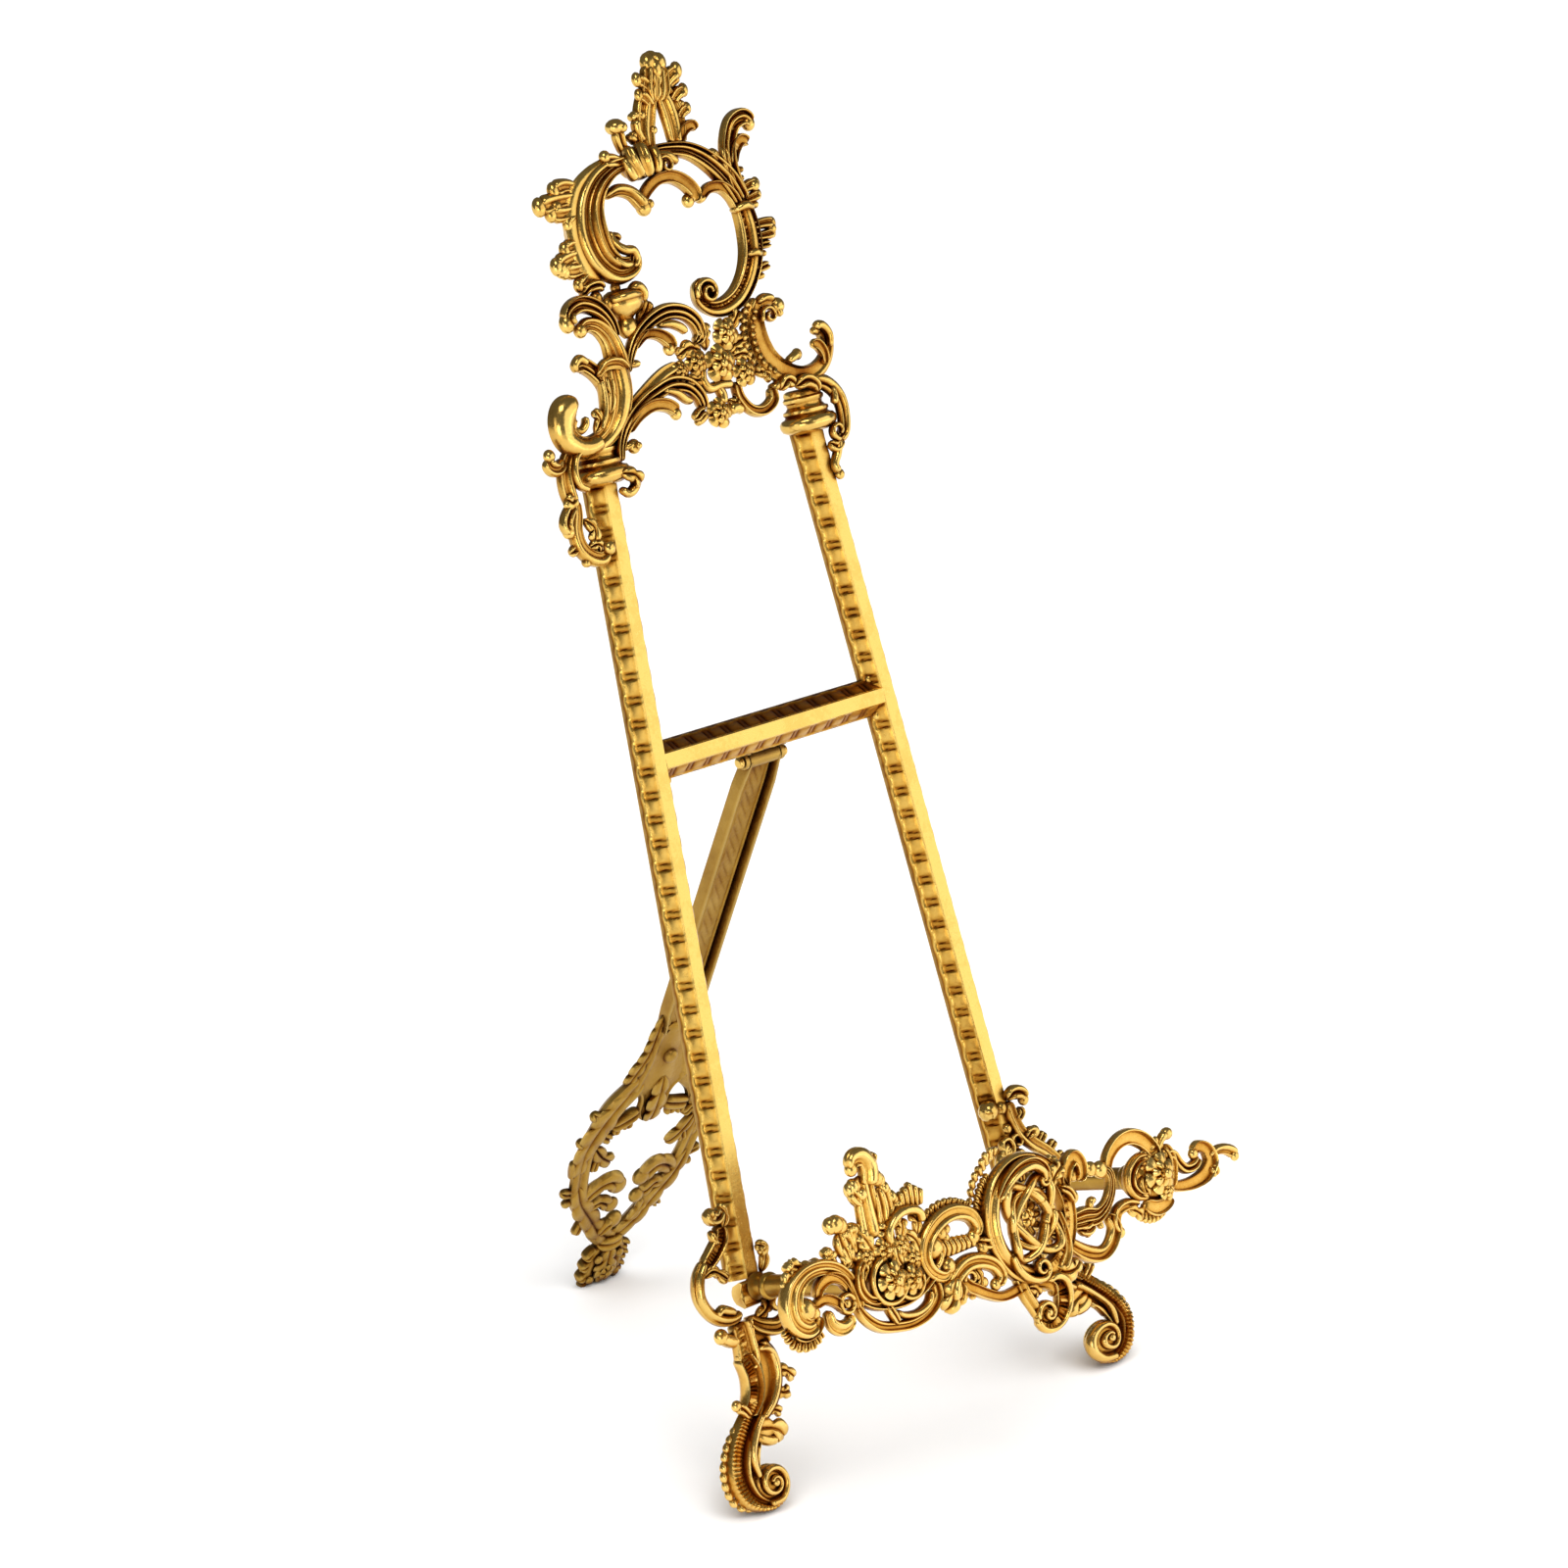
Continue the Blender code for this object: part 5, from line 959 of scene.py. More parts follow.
PLUME = ((-0.74, 0.26, 0.8), (-0.1, 0.4, 0.95), (0.68, 0.32, 0.9))
plume = [
    band([(0.0, 464, 7.4), (0.4, 470.4, 9.0), (2.6, 477.4, 9.8), (6.2, 484.6, 8)], PLUME, 2.6, 2.0, 0.4,
         rounded=(0.4, 0.6)),
    band([(14.0, 464, 8.2), (14.6, 470.4, 10.0), (14.0, 477.4, 10.4), (11.6, 484.6, 8)], PLUME, 2.6, 2.0,
         0.4, rounded=(0.4, 0.6)),
    band([(8.2, 479.4, 9, 0.2), (8.6, 483.6, 13.4, 0.5), (9.8, 488.6, 12.4, 0.8),
          (10.6, 493.4, 11.6, 0.8)], ((-0.84, 0.16, 0.8), (-0.44, 0.24, 1.0), (0.02, 0.22, 0.85),
                                      (0.46, 0.24, 1.0), (0.86, 0.14, 0.8)), 3.0, 2.0, 0.5,
         rounded=(0.3, 0.6)),
    leaf([(7.4, 479.6, 4, 1.4), (8.8, 485, 6, 2.0), (10, 490, 4.4, 2.0)], lobes=2),
    bead(8.6, 493.4, 3.3, 1.0, stretch=1.2), bead(13.2, 493.0, 3.3, 1.0, stretch=1.15),
    bead(10.8, 494.9, 3.2, 0.4, stretch=0.9), bead(10.6, 491.0, 2.4, 2.2, stretch=1.5),
    frond(6.4, 484.6, 128, 34, 6.6, 5.0, 0.6), frond(5.4, 478.6, 118, 40, 6.6, 4.4, 0.4),
    frond(13.4, 485.0, 48, -34, 7.8, 5.8, 0.6), frond(15.6, 478.8, 50, -46, 6.6, 4.8, 0.4),
    frond(17.0, 472.8, 52, -40, 5.2, 4.2, 0.2),
    lobe(17.4, 473, 68, 6.6, 3.6, 2.0), lobe(15.6, 484, 30, 6, 3.6, 2.2),
    band([(-0.6, 467, 2.8), (-2.8, 471.4, 3.6, 0.4), (-2.8, 475.6, 4, 0.8)], front=2.4, back=1.6),
    roll(-2.4, 476.8, 10, 4.6, 3, 0.6), bead(0.2, 476.4, 1.7, 1.4),
    band([(-4.6, 467, 3), (-6, 469.2, 3.4, 0.4), (-8.4, 469.8, 2.6, 0.4)], front=2.2, back=1.4),
    band([(14.4, 464.6, 3.6), (17.4, 468.6, 4.4, 0.6), (21.4, 469.6, 4, 1), (22.8, 467.4, 3, 1)], RIMS,
         2.4, 1.6),
    bead(4.2, 470.6, 1.6, 1.2)]
piece("crest_finial", plume)

c_scroll = [
    band([(36, 438.6, 8.6), (36.6, 430, 9.6), (35.2, 421.4, 9.6), (31, 413.8, 8.8), (24.6, 408, 8),
          (17.4, 405.6, 7), (11.2, 406.4, 5.8), (7, 410, 4.8, 0.6), (6.8, 414.6, 3.6, 1.2),
          (9.6, 416.6, 2.6, 1.8)], ((-0.68, 0.3, 0.95), (0.36, 0.52, 0.80), (0.93, 0.08, 0.85)), 3.4, 2.4,
         0.2, ticks=(-0.36, -0.14, 0.3), pitch=1.0, rounded=(0.3, 0.8)),
    bead(11, 412.2, 4.2, -0.2, squash=0.5, sides=22),
    band([(6.2, 410, 2.6, 1.2)] + spiral(11, 412, 5.0, 1.0, 168, -560, 2.4, 1.2, 1.8, 3.2, count=22),
         front=2.2, back=2.2, step=0.35),
    band([(30.8, 437.4, 2.6, 1.6), (35.6, 438.6, 3.4, 2.8), (40.6, 437.2, 2.6, 1.6)], front=2.4,
         back=2.6),
    band([(32.6, 421.6, 2, 2), (36.4, 421.8, 2.8, 2.8), (39.4, 420.4, 2, 2)], front=1.6, back=2.0),
    frond(39.2, 430.6, 10, -24, 9.0, 4.2), frond(39.6, 427, -6, 18, 7.8, 3.8),
    bead(47.2, 428.6, 1.9, 1.8), lobe(39, 423.6, 0, 6.2, 3, 2.2, 1.6, 0, CLEFT, 1.2),
    lobe(38.6, 421.2, -8, 4.4, 2.4), lobe(36.4, 415.4, 12, 6.4, 3.4, 2.2, 1.6, 0, CLEFT, 1),
    lobe(35.4, 413, 4, 4.4, 2.4)]
piece("crest_c_scroll", c_scroll)

shell = [
    band([(34.4, 405.6, 5.6), (30.6, 400.4, 7.4), (29.6, 392.6, 8.8), (31.8, 384.6, 9.4),
          (37.8, 378.8, 8.6), (45.8, 375.8, 7.4), (53.8, 376.4, 6.6), (59.6, 380.4, 6),
          (61.4, 386.2, 6, 0.4), (58.6, 390.4, 5.4, 1)], ((0.86, 0.14, 1.0), (-0.5, 0.44, 0.75)), 3.2,
         2.4, 0.4, rounded=(0.6, 0.9)),
    band([(40.4, 381.8, 2.6, 1), (43.4, 382.8, 3.4, 1.4), (46.4, 384.2, 3.6, 1.6)], front=2.2, back=1.4),
    bead(45.8, 383.6, 2.2, 1.6),
    band([(57.8, 377.6, 2.6, 1.2), (57.6, 382, 3.8, 1.6), (55, 385.4, 4.2, 2), (52.6, 385.6, 3.4, 2)],
         RIMS, 2.2, 1.6),
    band([(61.4, 383.4, 2.4, 2.4), (61.6, 388.2, 2.8, 2.8), (58.6, 391.8, 3.4, 2.8),
          (55.4, 391.4, 3.6, 2.4)], front=2.0, back=1.6),
    lobe(58.6, 389.2, 160, 4.4, 3, 2.0, 1.4, 1.2),
    band([(33, 404, 4, 0.6), (37, 405, 4.6, 1), (40.6, 403.8, 4.4, 1.2)], ((0.3, 0.66, 1.0),), 2.8, 1.8),
    bead(42.2, 401.8, 3.0, 1.2), lobe(40.6, 404.4, -75, 7, 3, 2.0, 1.2, 1),
    band([(33.2, 397, 2, 1)] + spiral(36.6, 399.2, 3.6, 0.9, 190, -470, 2.0, 1.1, 1.6, 2.6, count=16),
         front=2.0, back=1.8, step=0.35)]
shell += fringe([(30.8, 405, 1), (26.8, 398.6, 1), (25.8, 391.6, 1), (28, 383.6, 1), (32.6, 378.4, 1)],
                11, -1, 3.6, 3.0, slant=6, lift=0.6, front=2.0, taper=0.9)
shell += fringe([(32.6, 402, 1), (29.4, 396, 1), (29, 390.8, 1), (31, 384.6, 1), (35, 380.6, 1)], 10, -1,
                3.2, 2.2, slant=6, lift=1.9, front=1.2, taper=0.9)
piece("crest_shell_scroll", shell)

flowers = [
    rosette(9.6, 386.8, 7.2, 5, 1.4, 4.0, 2, 10), rosette(-0.6, 389, 5.2, 5, 1.0, 3.4, 2, 40),
    rosette(20, 381.8, 5.4, 5, 1.2, 3.4, 2, 20), rosette(5, 370.2, 5.8, 5, 0.8, 3.4, 2, 0),
    rosette(15.4, 396.6, 6.0, 5, 1.2, 3.6, 2, 50), rosette(-8.2, 387.4, 4.0, 5, 0.8, 3.0, 2, 0),
    leaf([(4, 392, 4, 0), (-2, 394.6, 6, 0.8), (-8, 392.8, 4, 0.8)], lobes=3),
    leaf([(6, 392, 4, 0), (6, 397.6, 6.4, 0.8), (7.6, 402, 4, 0.6)], lobes=3),
    leaf([(14, 390, 4, 0), (20, 392.6, 6.4, 0.8), (25.4, 393.2, 4, 0.6)], lobes=3),
    leaf([(18, 397, 4, 0.6), (22, 401.4, 6, 1), (24.4, 403.6, 3, 0.6)], lobes=2),
    leaf([(16, 388, 4, 0.6), (21, 388.4, 5.4, 1), (25.6, 386.4, 3.4, 0.8)], lobes=3),
    leaf([(3, 384, 4, 0.4), (-1.6, 383, 5, 1), (-6, 384.4, 3, 0.8)], lobes=2),
    band([(2.4, 387, 3.4), (0.8, 382.6, 4, 0.6), (2.6, 379.4, 4, 0.8), (8, 379.6, 3.6, 0.8),
          (14, 379, 3.6, 0.6)], front=2.4, back=1.8),
    band([(6.4, 380.4, 3.6), (8.4, 376.4, 4, 0.4), (7.6, 372.6, 4, 0.6)], front=2.4, back=1.8),
    band([(15.6, 379.4, 4), (16.4, 373.4, 4.2), (20.2, 368.6, 4.4), (25.6, 367.4, 4.6),
          (30.4, 370.2, 4.6, 0.4), (30.6, 374.6, 3.6, 0.8)], ((-0.62, 0.34, 1.0), (0.56, 0.4, 0.85)), 2.8,
         2.0, 0.3),
    band([(9.6, 369.6, 4), (13, 370.6, 4.4, 0.4), (17, 369, 3.4)], front=2.4, back=1.8),
    leaf([(24.4, 381, 3, 0.4), (28.4, 380.4, 5, 0.8), (32.4, 377.4, 4, 0.6)], lobes=2),
    band([(30.6, 374.4, 2.6), (33.4, 374.4, 3.4, 0.6), (35.4, 376.4, 2.6, 0.4)], front=2.2, back=1.6),
    leaf([(10.4, 374, 3, 0), (13.4, 372.4, 4.6, 0.6), (15.4, 374.6, 3, 0.4)], lobes=2)]
piece("crest_flowers", flowers)


# ---------------------------------------------------------------- ledge: cartouche and pendant
def ledge_piece(node, shells):
    piece(node, shells, plane=GALLERY_PLANE, material=LEDGE_PAINTED_LIGHT)


def oval(from_angle, to_angle, grow=0.0, width=5.0, lift=0.0, count=16):
    """Points along the cartouche's oval, grow mm outside its middle line."""
    points = []
    for k in range(count + 1):
        a = math.radians(from_angle + (to_angle - from_angle) * k / count)
        points.append((OVAL_X + (OVAL_WIDE + grow) * math.cos(a),
                       OVAL_S + (OVAL_TALL + grow) * math.sin(a), width, lift))
    return points


def ring_strap(wide, tall, tilt, width, lift, phase, count=60):
    """A closed oval strap, tilted by so many degrees, that rises and dips to weave with its neighbours."""
    points = []
    c, d = math.cos(math.radians(tilt)), math.sin(math.radians(tilt))
    for k in range(count + 2):
        t = 2 * math.pi * k / count
        x, s = wide * math.cos(t), tall * math.sin(t)
        points.append((OVAL_X + c * x - d * s, OVAL_S + d * x + c * s, width,
                       lift + 0.9 * math.sin(4 * t + phase)))
    return points


def boss_cup(x):
    """The turned cup behind a boss, where an arm meets the ledge."""
    rows = [(-7.8, 6.2), (-7.5, 7.6), (-6.7, 8.6), (-3.2, 9.4), (-1.4, 9.1), (-0.6, 7.6)]
    return turned(rows, (x, 76.6, 0), (0, 0, 1), (1, 0, 0), sides=36)


cartouche = [
    band(oval(62, 268, 0.0, 7.4), ((-0.66, 0.34, 0.9), (0.36, 0.62, 1.0)), 3.6, 3.0, 0.6,
         rounded=(0.6, 0.4)),
    band(oval(268, 452, 0.4, 6.4), ((-0.84, 0.16, 0.9), (0.84, 0.16, 1.0), (-0.2, 0.1, 0.6)), 3.8, 3.0,
         0.55, ticks=(0.0, 0.6, 0.22), pitch=1.1, rounded=(0.4, 0.6)),
    band([(-12.6, 89.4, 3, 2.4), (-8, 94.4, 4.6, 3.4), (-1.4, 97.6, 5.6, 4), (5.4, 97.4, 5.2, 4),
          (9.6, 93.8, 4.4, 3.6), (9.4, 90.4, 3.4, 3.2), (7.4, 90.2, 2.6, 3)],
         ((-0.3, 0.66, 1.0), (0.72, 0.24, 0.8)), 3.0, 2.6, 0.2),
    band(spiral(8.6, 91, 3.2, 1.0, 60, -300, 2.4, 1.4, 3, 4.2, count=12), front=2.2, back=2.4, step=0.4),
    band([(-12.8, 70, 2.4, 3), (-11, 64, 3, 3.4), (-6.4, 59.6, 3, 3.6),
          (-1, 58.6, 2.8, 3.6)] + spiral(-1.4, 62.2, 3.6, 1.1, -60, 400, 2.6, 1.4, 3.6, 4.6,
                                         count=14)[1:], front=2.6, back=2.6, step=0.4),
    band([(9.4, 58.4, 5, 1.6), (13.4, 63.8, 4, 2), (14.6, 71, 3, 2), (13.2, 78.6, 2.4, 1.8)],
         ((-0.5, 0.46, 1.0), (0.6, 0.36, 0.8)), 2.6, 2.4, 0.3),
    leaf([(11, 86.6, 4, 2), (14.6, 90.8, 7, 3), (19, 93.4, 5, 3)], lobes=3, front=2.4),
    leaf([(6, 60.6, 5, 1), (9.6, 57.6, 8, 2), (14.6, 57.2, 6, 2.4), (18.4, 59.4, 3, 2)], lobes=3,
         front=2.4),
    band([(16.4, 86, 3, 2.4), (19.4, 83.6, 3.4, 3), (21.6, 79.4, 2.6, 2.6)], CLEFT, 2.0, 2.0),
    band([(19.6, 84, 3.4, 0.6), (20.6, 88.4, 4.6, 1), (22.4, 92.4, 5.6, 1.4), (25.6, 94.2, 5.6, 1.8),
          (27.8, 91.4, 5, 2), (27.6, 87.4, 4.2, 2), (25.6, 85.6, 3.2, 2)], RIMS, 2.8, 2.4, 0.3),
    bead(25.2, 87.8, 2.4, 1.0), lobe(19.6, 92.6, 118, 4.4, 3.4, 2.0), lobe(17.4, 94.4, 128, 3.8, 3, 2.0)]
cartouche += fringe(oval(190, 128, 2.4, 1, -0.6), 12, 1, 4.8, 2.7, slant=26, lift=-0.6, front=1.7,
                    taper=0.7, ribs=CLEFT)
cartouche += fringe(oval(164, 116, 6.2, 1, -1.0), 8, 1, 4.2, 2.6, slant=40, lift=-0.8, front=1.6,
                    taper=0.5)
cartouche += fringe(oval(134, 106, 5.6, 1, -0.6), 5, 1, 5.4, 2.8, slant=30, lift=-0.6, front=1.7,
                    taper=0.6)
ledge_piece("cartouche", cartouche)

straps = [
    band(ring_strap(7.0, 15.0, 36, 3.4, 2.6, 0.8), PLAIN, 2.4, 1.8, step=0.35),
    band(ring_strap(7.0, 15.0, -36, 3.4, 2.6, 3.9), PLAIN, 2.4, 1.8, step=0.35),
    band(ring_strap(9.8, 9.8, 0, 3.0, 2.2, 2.4), PLAIN, 2.2, 1.8, step=0.35),
    rosette(OVAL_X, OVAL_S, 3.4, 4, 1.2, 2.4, 1, 45)]
straps += fan(OVAL_X, OVAL_S, 0, 324, 10, 7.4, 3.0, -1.4, 1.6, 2.4)
for a in (38, 90, 142, 218, 270, 322):
    c, d = math.cos(math.radians(a)), math.sin(math.radians(a))
    straps.append(band([(OVAL_X + 9.4 * c, OVAL_S + 12.6 * d, 2.8, 1.4),
                        (OVAL_X + 16.0 * c, OVAL_S + 17.8 * d, 3.6, 1.4)],
                       CLEFT, 2.0, 1.6))
ledge_piece("cartouche_straps", straps)

pendant = [
    band([(-9.6, 62.0, 5, 0), (-7.8, 54.6, 5.4, 0.2), (-5.8, 49.6, 5, 0.6), (-4.6, 45.6, 4.4, 1)],
         ((-0.7, 0.26, 0.8), (0.3, 0.56, 0.9)), 2.8, 2.2, 0.4, rounded=(0.4, 0.6)),
    band([(6.8, 57.2, 4.4, 0.4), (8, 51.6, 6.2, 0.6), (6.6, 46, 6.4, 0.6), (3.2, 42.4, 5.4, 0.8),
          (-1.4, 41.4, 3.6, 1.2), (-5.4, 43.6, 3.2, 1.6), (-6, 47, 3, 2)],
         ((0.84, 0.16, 1.0), (-0.86, 0.14, 0.7)), 3.0, 2.4, 0.25, ticks=(-0.66, 0.6, 0.5), pitch=1.5,
         rounded=(0.5, 0.8)),
    band([(1.6, 56.6, 2.6, 2.2), (5.4, 57.4, 3, 3), (9, 55.4, 2.8, 3), (10.4, 51, 2.6, 2.6),
          (9.4, 46, 2.4, 2), (5.4, 41.6, 2.4, 1.8), (0.4, 40, 2.4, 1.8), (-4.4, 41.4, 2.6, 2),
          (-7, 45.2, 2.6, 2.2)], front=2.0, back=2.2),
    bead(-1.6, 46.4, 4.4, 0.6, squash=0.5, sides=24),
    band(spiral(-1.6, 46.4, 4.8, 1.0, 200, -420, 2.4, 1.4, 2, 3.4, count=16), front=2.0, back=2.2,
         step=0.35),
    bead(-1.6, 46.4, 1.5, 3.6),
    band([(-3.6, 57.4, 4), (1.4, 56, 4.4, 0.4), (4.4, 53, 3.6, 0.6), (3.4, 50.6, 2.4, 0.6)], RIMS, 2.4,
         1.8),
    leaf([(-7.4, 57, 4, 1), (-4.2, 55.6, 5, 1.6), (-2.6, 52.6, 3, 1)], lobes=2)]
ledge_piece("pendant", pendant)


# ---------------------------------------------------------------- ledge: left side
left_scroll = [
    band([(-26, 80.8, 3.4, 1.4), (-24, 83.6, 4.6, 1), (-25.6, 88, 5.6, 0.4), (-31, 90.8, 6, 0.2),
          (-37, 91, 6.2, 0), (-43.4, 88.6, 6, 0), (-48, 84.4, 5.6, 0), (-49.6, 79, 5.2, 0),
          (-47.4, 74.2, 4.8, 0.2), (-43.2, 71.8, 4.4, 0.6), (-40, 73.6, 3.6, 1)],
         ((0.5, 0.5, 1.0), (-0.6, 0.38, 0.75)), 4.0, 2.6, 0.5),
    bead(-26.2, 80.8, 2.6, 1.6), bead(-40.2, 74.4, 3.2, 1.4),
    bead(-44.2, 81.8, 4.5, 0.2, sides=24, rings=16),
    bead(-39.6, 85.8, 2.4, 0.8), bead(-37, 86.6, 1.9, 0.8), bead(-41.8, 87, 1.8, 0.8),
    bead(-37.8, 83.8, 1.6, 0.8),
    band([(-24.6, 78.6, 4, 0), (-20.4, 76.6, 5, 0.4), (-16.6, 76.6, 4, 0.4)], CLEFT, 2.6, 1.8),
    bead(-22.8, 75.6, 2.3, 1.2),
    band([(-46.6, 75.4, 2.4, 2), (-43.6, 78, 2.6, 2), (-42.6, 81, 2, 1.6)], front=1.8, back=1.8)]
for k in range(7):
    lean = -6 + 2 * k
    left_scroll.append(band([(-41.4 + 2.3 * k, 84.4 - 0.35 * k, 2.0, 0),
                             (-40.8 + 2.3 * k, 80.6 - 0.3 * k, 2.5, 0.9),
                             (-41.6 + 2.3 * k + 0.08 * lean, 76.8, 2.0, 0)], front=2.0, back=1.8))
left_scroll += fringe([(-24, 89.6, 1, -0.8), (-31, 92.4, 1, -0.8), (-38, 92.8, 1, -0.8),
                       (-44.6, 90.8, 1, -0.8)], 9, -1, 3.8, 3.2, slant=-16, lift=-0.6, front=1.9,
                      taper=0.8, ribs=CLEFT)
ledge_piece("gallery_left_scroll", left_scroll)

lower_scroll = [
    band([(-44.4, 60.8, 4.6, 0.4), (-43, 64.4, 6, 0.2), (-38.8, 69.4, 6.4, 0), (-32, 72.6, 6.4, 0),
          (-25, 71.8, 6.2, 0), (-19.4, 68.4, 5.4, 0.2), (-17.8, 64.4, 4.6, 0.6), (-20.4, 61.4, 3.6, 1)],
         CLEFT, 3.4, 2.4, 0.5),
    bead(-20.8, 62.2, 2.3, 1.2),
    leaf([(-36.6, 70, 5, 1), (-40.4, 66.8, 9, 1.8), (-43.4, 62.6, 8, 1.6), (-45.6, 60.4, 4, 1)], lobes=2,
         front=3.4, back=2),
    band([(-38.4, 70, 3, 3), (-41.2, 66, 3.4, 3.6), (-41.4, 62.4, 3, 3)], front=2, back=2),
    leaf([(-36, 68.6, 4, 0.6), (-37, 64.4, 7, 1.2), (-39.8, 61.6, 4, 1)], lobes=2, front=2.6),
    band([(-35.2, 69.4, 3), (-33.4, 65.4, 4.4, 0.4), (-29.6, 62.8, 4.4, 0.4), (-25.4, 60.2, 4, 0.2),
          (-19, 57.4, 3.8, 0), (-12, 57.4, 3.8, 0), (-6.6, 58.6, 3.6, 0)], RIMS, 2.8, 1.8, 0.3),
    band(spiral(-31.4, 67.6, 2.9, 0.8, 200, -380, 2.0, 1.2, 0.6, 1.6, count=14), front=1.8, back=1.6,
         step=0.35),
    leaf([(-28.6, 71, 3, 0), (-27, 66.4, 5, 0.8), (-28.6, 62.6, 3, 0.4)], lobes=2),
    lobe(-31.4, 63.4, -100, 3.4, 2.6, 2), lobe(-34.4, 64.6, -110, 3.6, 2.8, 2),
    bead(-25.6, 64.4, 2.0, 0.8)]
ledge_piece("gallery_lower_scroll", lower_scroll)

loops = [
    band([(-83, 73.4, 3.4), (-80.4, 68.4, 4.4), (-75.4, 64, 4.4), (-68, 61.6, 4.2), (-60, 60.6, 4.2),
          (-52.6, 62.2, 4.4), (-47.6, 66.2, 4.6), (-47.4, 71.4, 3.8)],
         ((-0.62, 0.36, 1.0), (0.5, 0.42, 0.8)), 3.0, 2.0, 0.3),
    band([(-80.6, 74.6, 3.6), (-76, 71.8, 4.2), (-69, 69.6, 4.2), (-61, 69, 4.2), (-53, 71, 4.2),
          (-46, 74.4, 3.6)], ((-0.62, 0.36, 1.0), (0.5, 0.42, 0.8)), 3.0, 2.0, 0.3),
    band([(-70.8, 70.4, 3, 0.8), (-69.6, 66.4, 3.4, 1.6), (-67.4, 62.4, 3, 0.8)], CLEFT, 2.4, 1.8),
    band([(-67, 66.4, 2.4, 0.4), (-63.4, 64.2, 2.8, 0.4), (-57, 63.4, 2.8, 0.4), (-51.6, 65.4, 2.8, 0.4),
          (-49.6, 68.8, 2.4, 0.4)], front=2.4, back=1.8)]
ledge_piece("gallery_left_loops", loops)

left_boss = [
    boss_cup(-ARM_X),
    bead(-65.6, 78.4, 11.2, -1.6, squash=0.24, sides=30, rings=14),
    band([(-76.4, 87.4, 3.4, 1), (-80, 83.8, 4.4, 1.4), (-80.8, 78.6, 4.6, 1.4), (-78, 74.2, 4, 1.4),
          (-73, 72.4, 3.4, 1.4)], ((0.4, 0.5, 0.8), (-0.66, 0.32, 1.0)), 3.0, 2.0, 0.25),
    rosette(-67.6, 77.6, 6.6, 6, 3.2, 4.2, 3, 0), rosette(-58.4, 75, 5, 6, 2.6, 3.6, 3, 20),
    band(spiral(-58.4, 75, 6.6, 5.6, 150, 220, 2.2, 1.8, 1.6, 1.4, count=14), front=2.2, back=1.8,
         step=0.4),
    band(spiral(-67.6, 77.6, 8.2, 7.6, 100, 250, 2.6, 2.0, 2, 1.8, count=14), front=2.2, back=2.0,
         step=0.4),
    rosette(-74.2, 87.4, 4.2, 5, 0.8, 3, 2, 10), rosette(-66.4, 87.8, 4.6, 5, 1.2, 3.2, 3, 30),
    rosette(-58.6, 86.8, 4.2, 5, 0.8, 3, 2, 0), rosette(-54.2, 81.4, 4.2, 5, 0.8, 3, 2, 18),
    leaf([(-70, 86, 4, 0.4), (-72.4, 91.4, 7, 1), (-74.6, 96, 5, 0.8)], lobes=3),
    leaf([(-78, 85, 4, 0), (-81.4, 89.4, 7, 0.8), (-82.8, 94.4, 5, 0.6)], lobes=3),
    leaf([(-54, 77, 4, 0), (-51, 82, 6.4, 0.8), (-52, 87.4, 5, 0.8), (-55, 90.4, 3, 0.4)], lobes=3),
    leaf([(-60, 80, 4, 1.4), (-62, 84, 5.6, 2), (-61, 88, 4, 1.4)], lobes=2),
    leaf([(-77.6, 79.4, 3, 0.4), (-74.8, 83.4, 4, 1), (-74.4, 86, 3, 1)], lobes=2),
    leaf([(-60, 89.6, 3, 0.4), (-63.6, 93.4, 5.6, 1), (-66.8, 95, 4, 0.8)], lobes=2),
    band([(-80.6, 89, 8, -0.8), (-82, 94, 8.6, -0.6), (-83.2, 99, 7.6, 0)], THREE, 2.6, 1.8),
    roll(-83.8, 101.8, -14, 10, 6, 0.4, 2.8),
    leaf([(-76, 88, 6, -0.8), (-76, 94, 10, -0.4), (-74.4, 99.4, 7, 0)], lobes=3, front=2.4),
    roll(-80.6, 97.4, -20, 4.6, 3, 0.2), band([(-88, 88, 4, -0.6), (-89.8, 91, 5, -0.4), (-90, 93, 4, 0)],
                                              CLEFT, 2.4, 1.6),
    roll(-89.8, 94, 0, 4.4, 3.4, 0), leaf([(-77, 92, 4, -0.4), (-77.4, 96.4, 6, 0), (-76.6, 98.8, 4, 0)],
                                          lobes=2),
    roll(-77, 98.4, -8, 4.6, 3, 0.2),
    band([(-63.8, 88.6, 3, 1.6), (-63.6, 93, 3.4, 1.8), (-59.4, 97, 3.6, 1.8), (-53.4, 98, 3.6, 1.8),
          (-48.4, 96, 3.4, 1.8), (-47.4, 92, 3, 1.6)], front=2.6, back=2.2),
    leaf([(-57.6, 88.6, 4, 0), (-56.2, 92.4, 6, 0.6), (-55.6, 95.6, 4, 0.4)], lobes=2),
    leaf([(-50, 88, 3, 0), (-49, 92.6, 5, 0.6), (-51, 96, 3, 0.4)], lobes=2)]
left_boss += [band([(-53.8 + 2.1 * k, 96.4 + 0.2 * k, 2.2, -0.4), (-53.6 + 2.2 * k, 101, 2.6, 0.2),
                    (-53.4 + 2.3 * k, 104.6 + 1.0 * min(k, 2) - 1.6 * max(k - 2, 0), 2.4, 0.2)],
                    front=2.0, back=1.4)
              for k in range(5)]
ledge_piece("gallery_left_boss", left_boss)

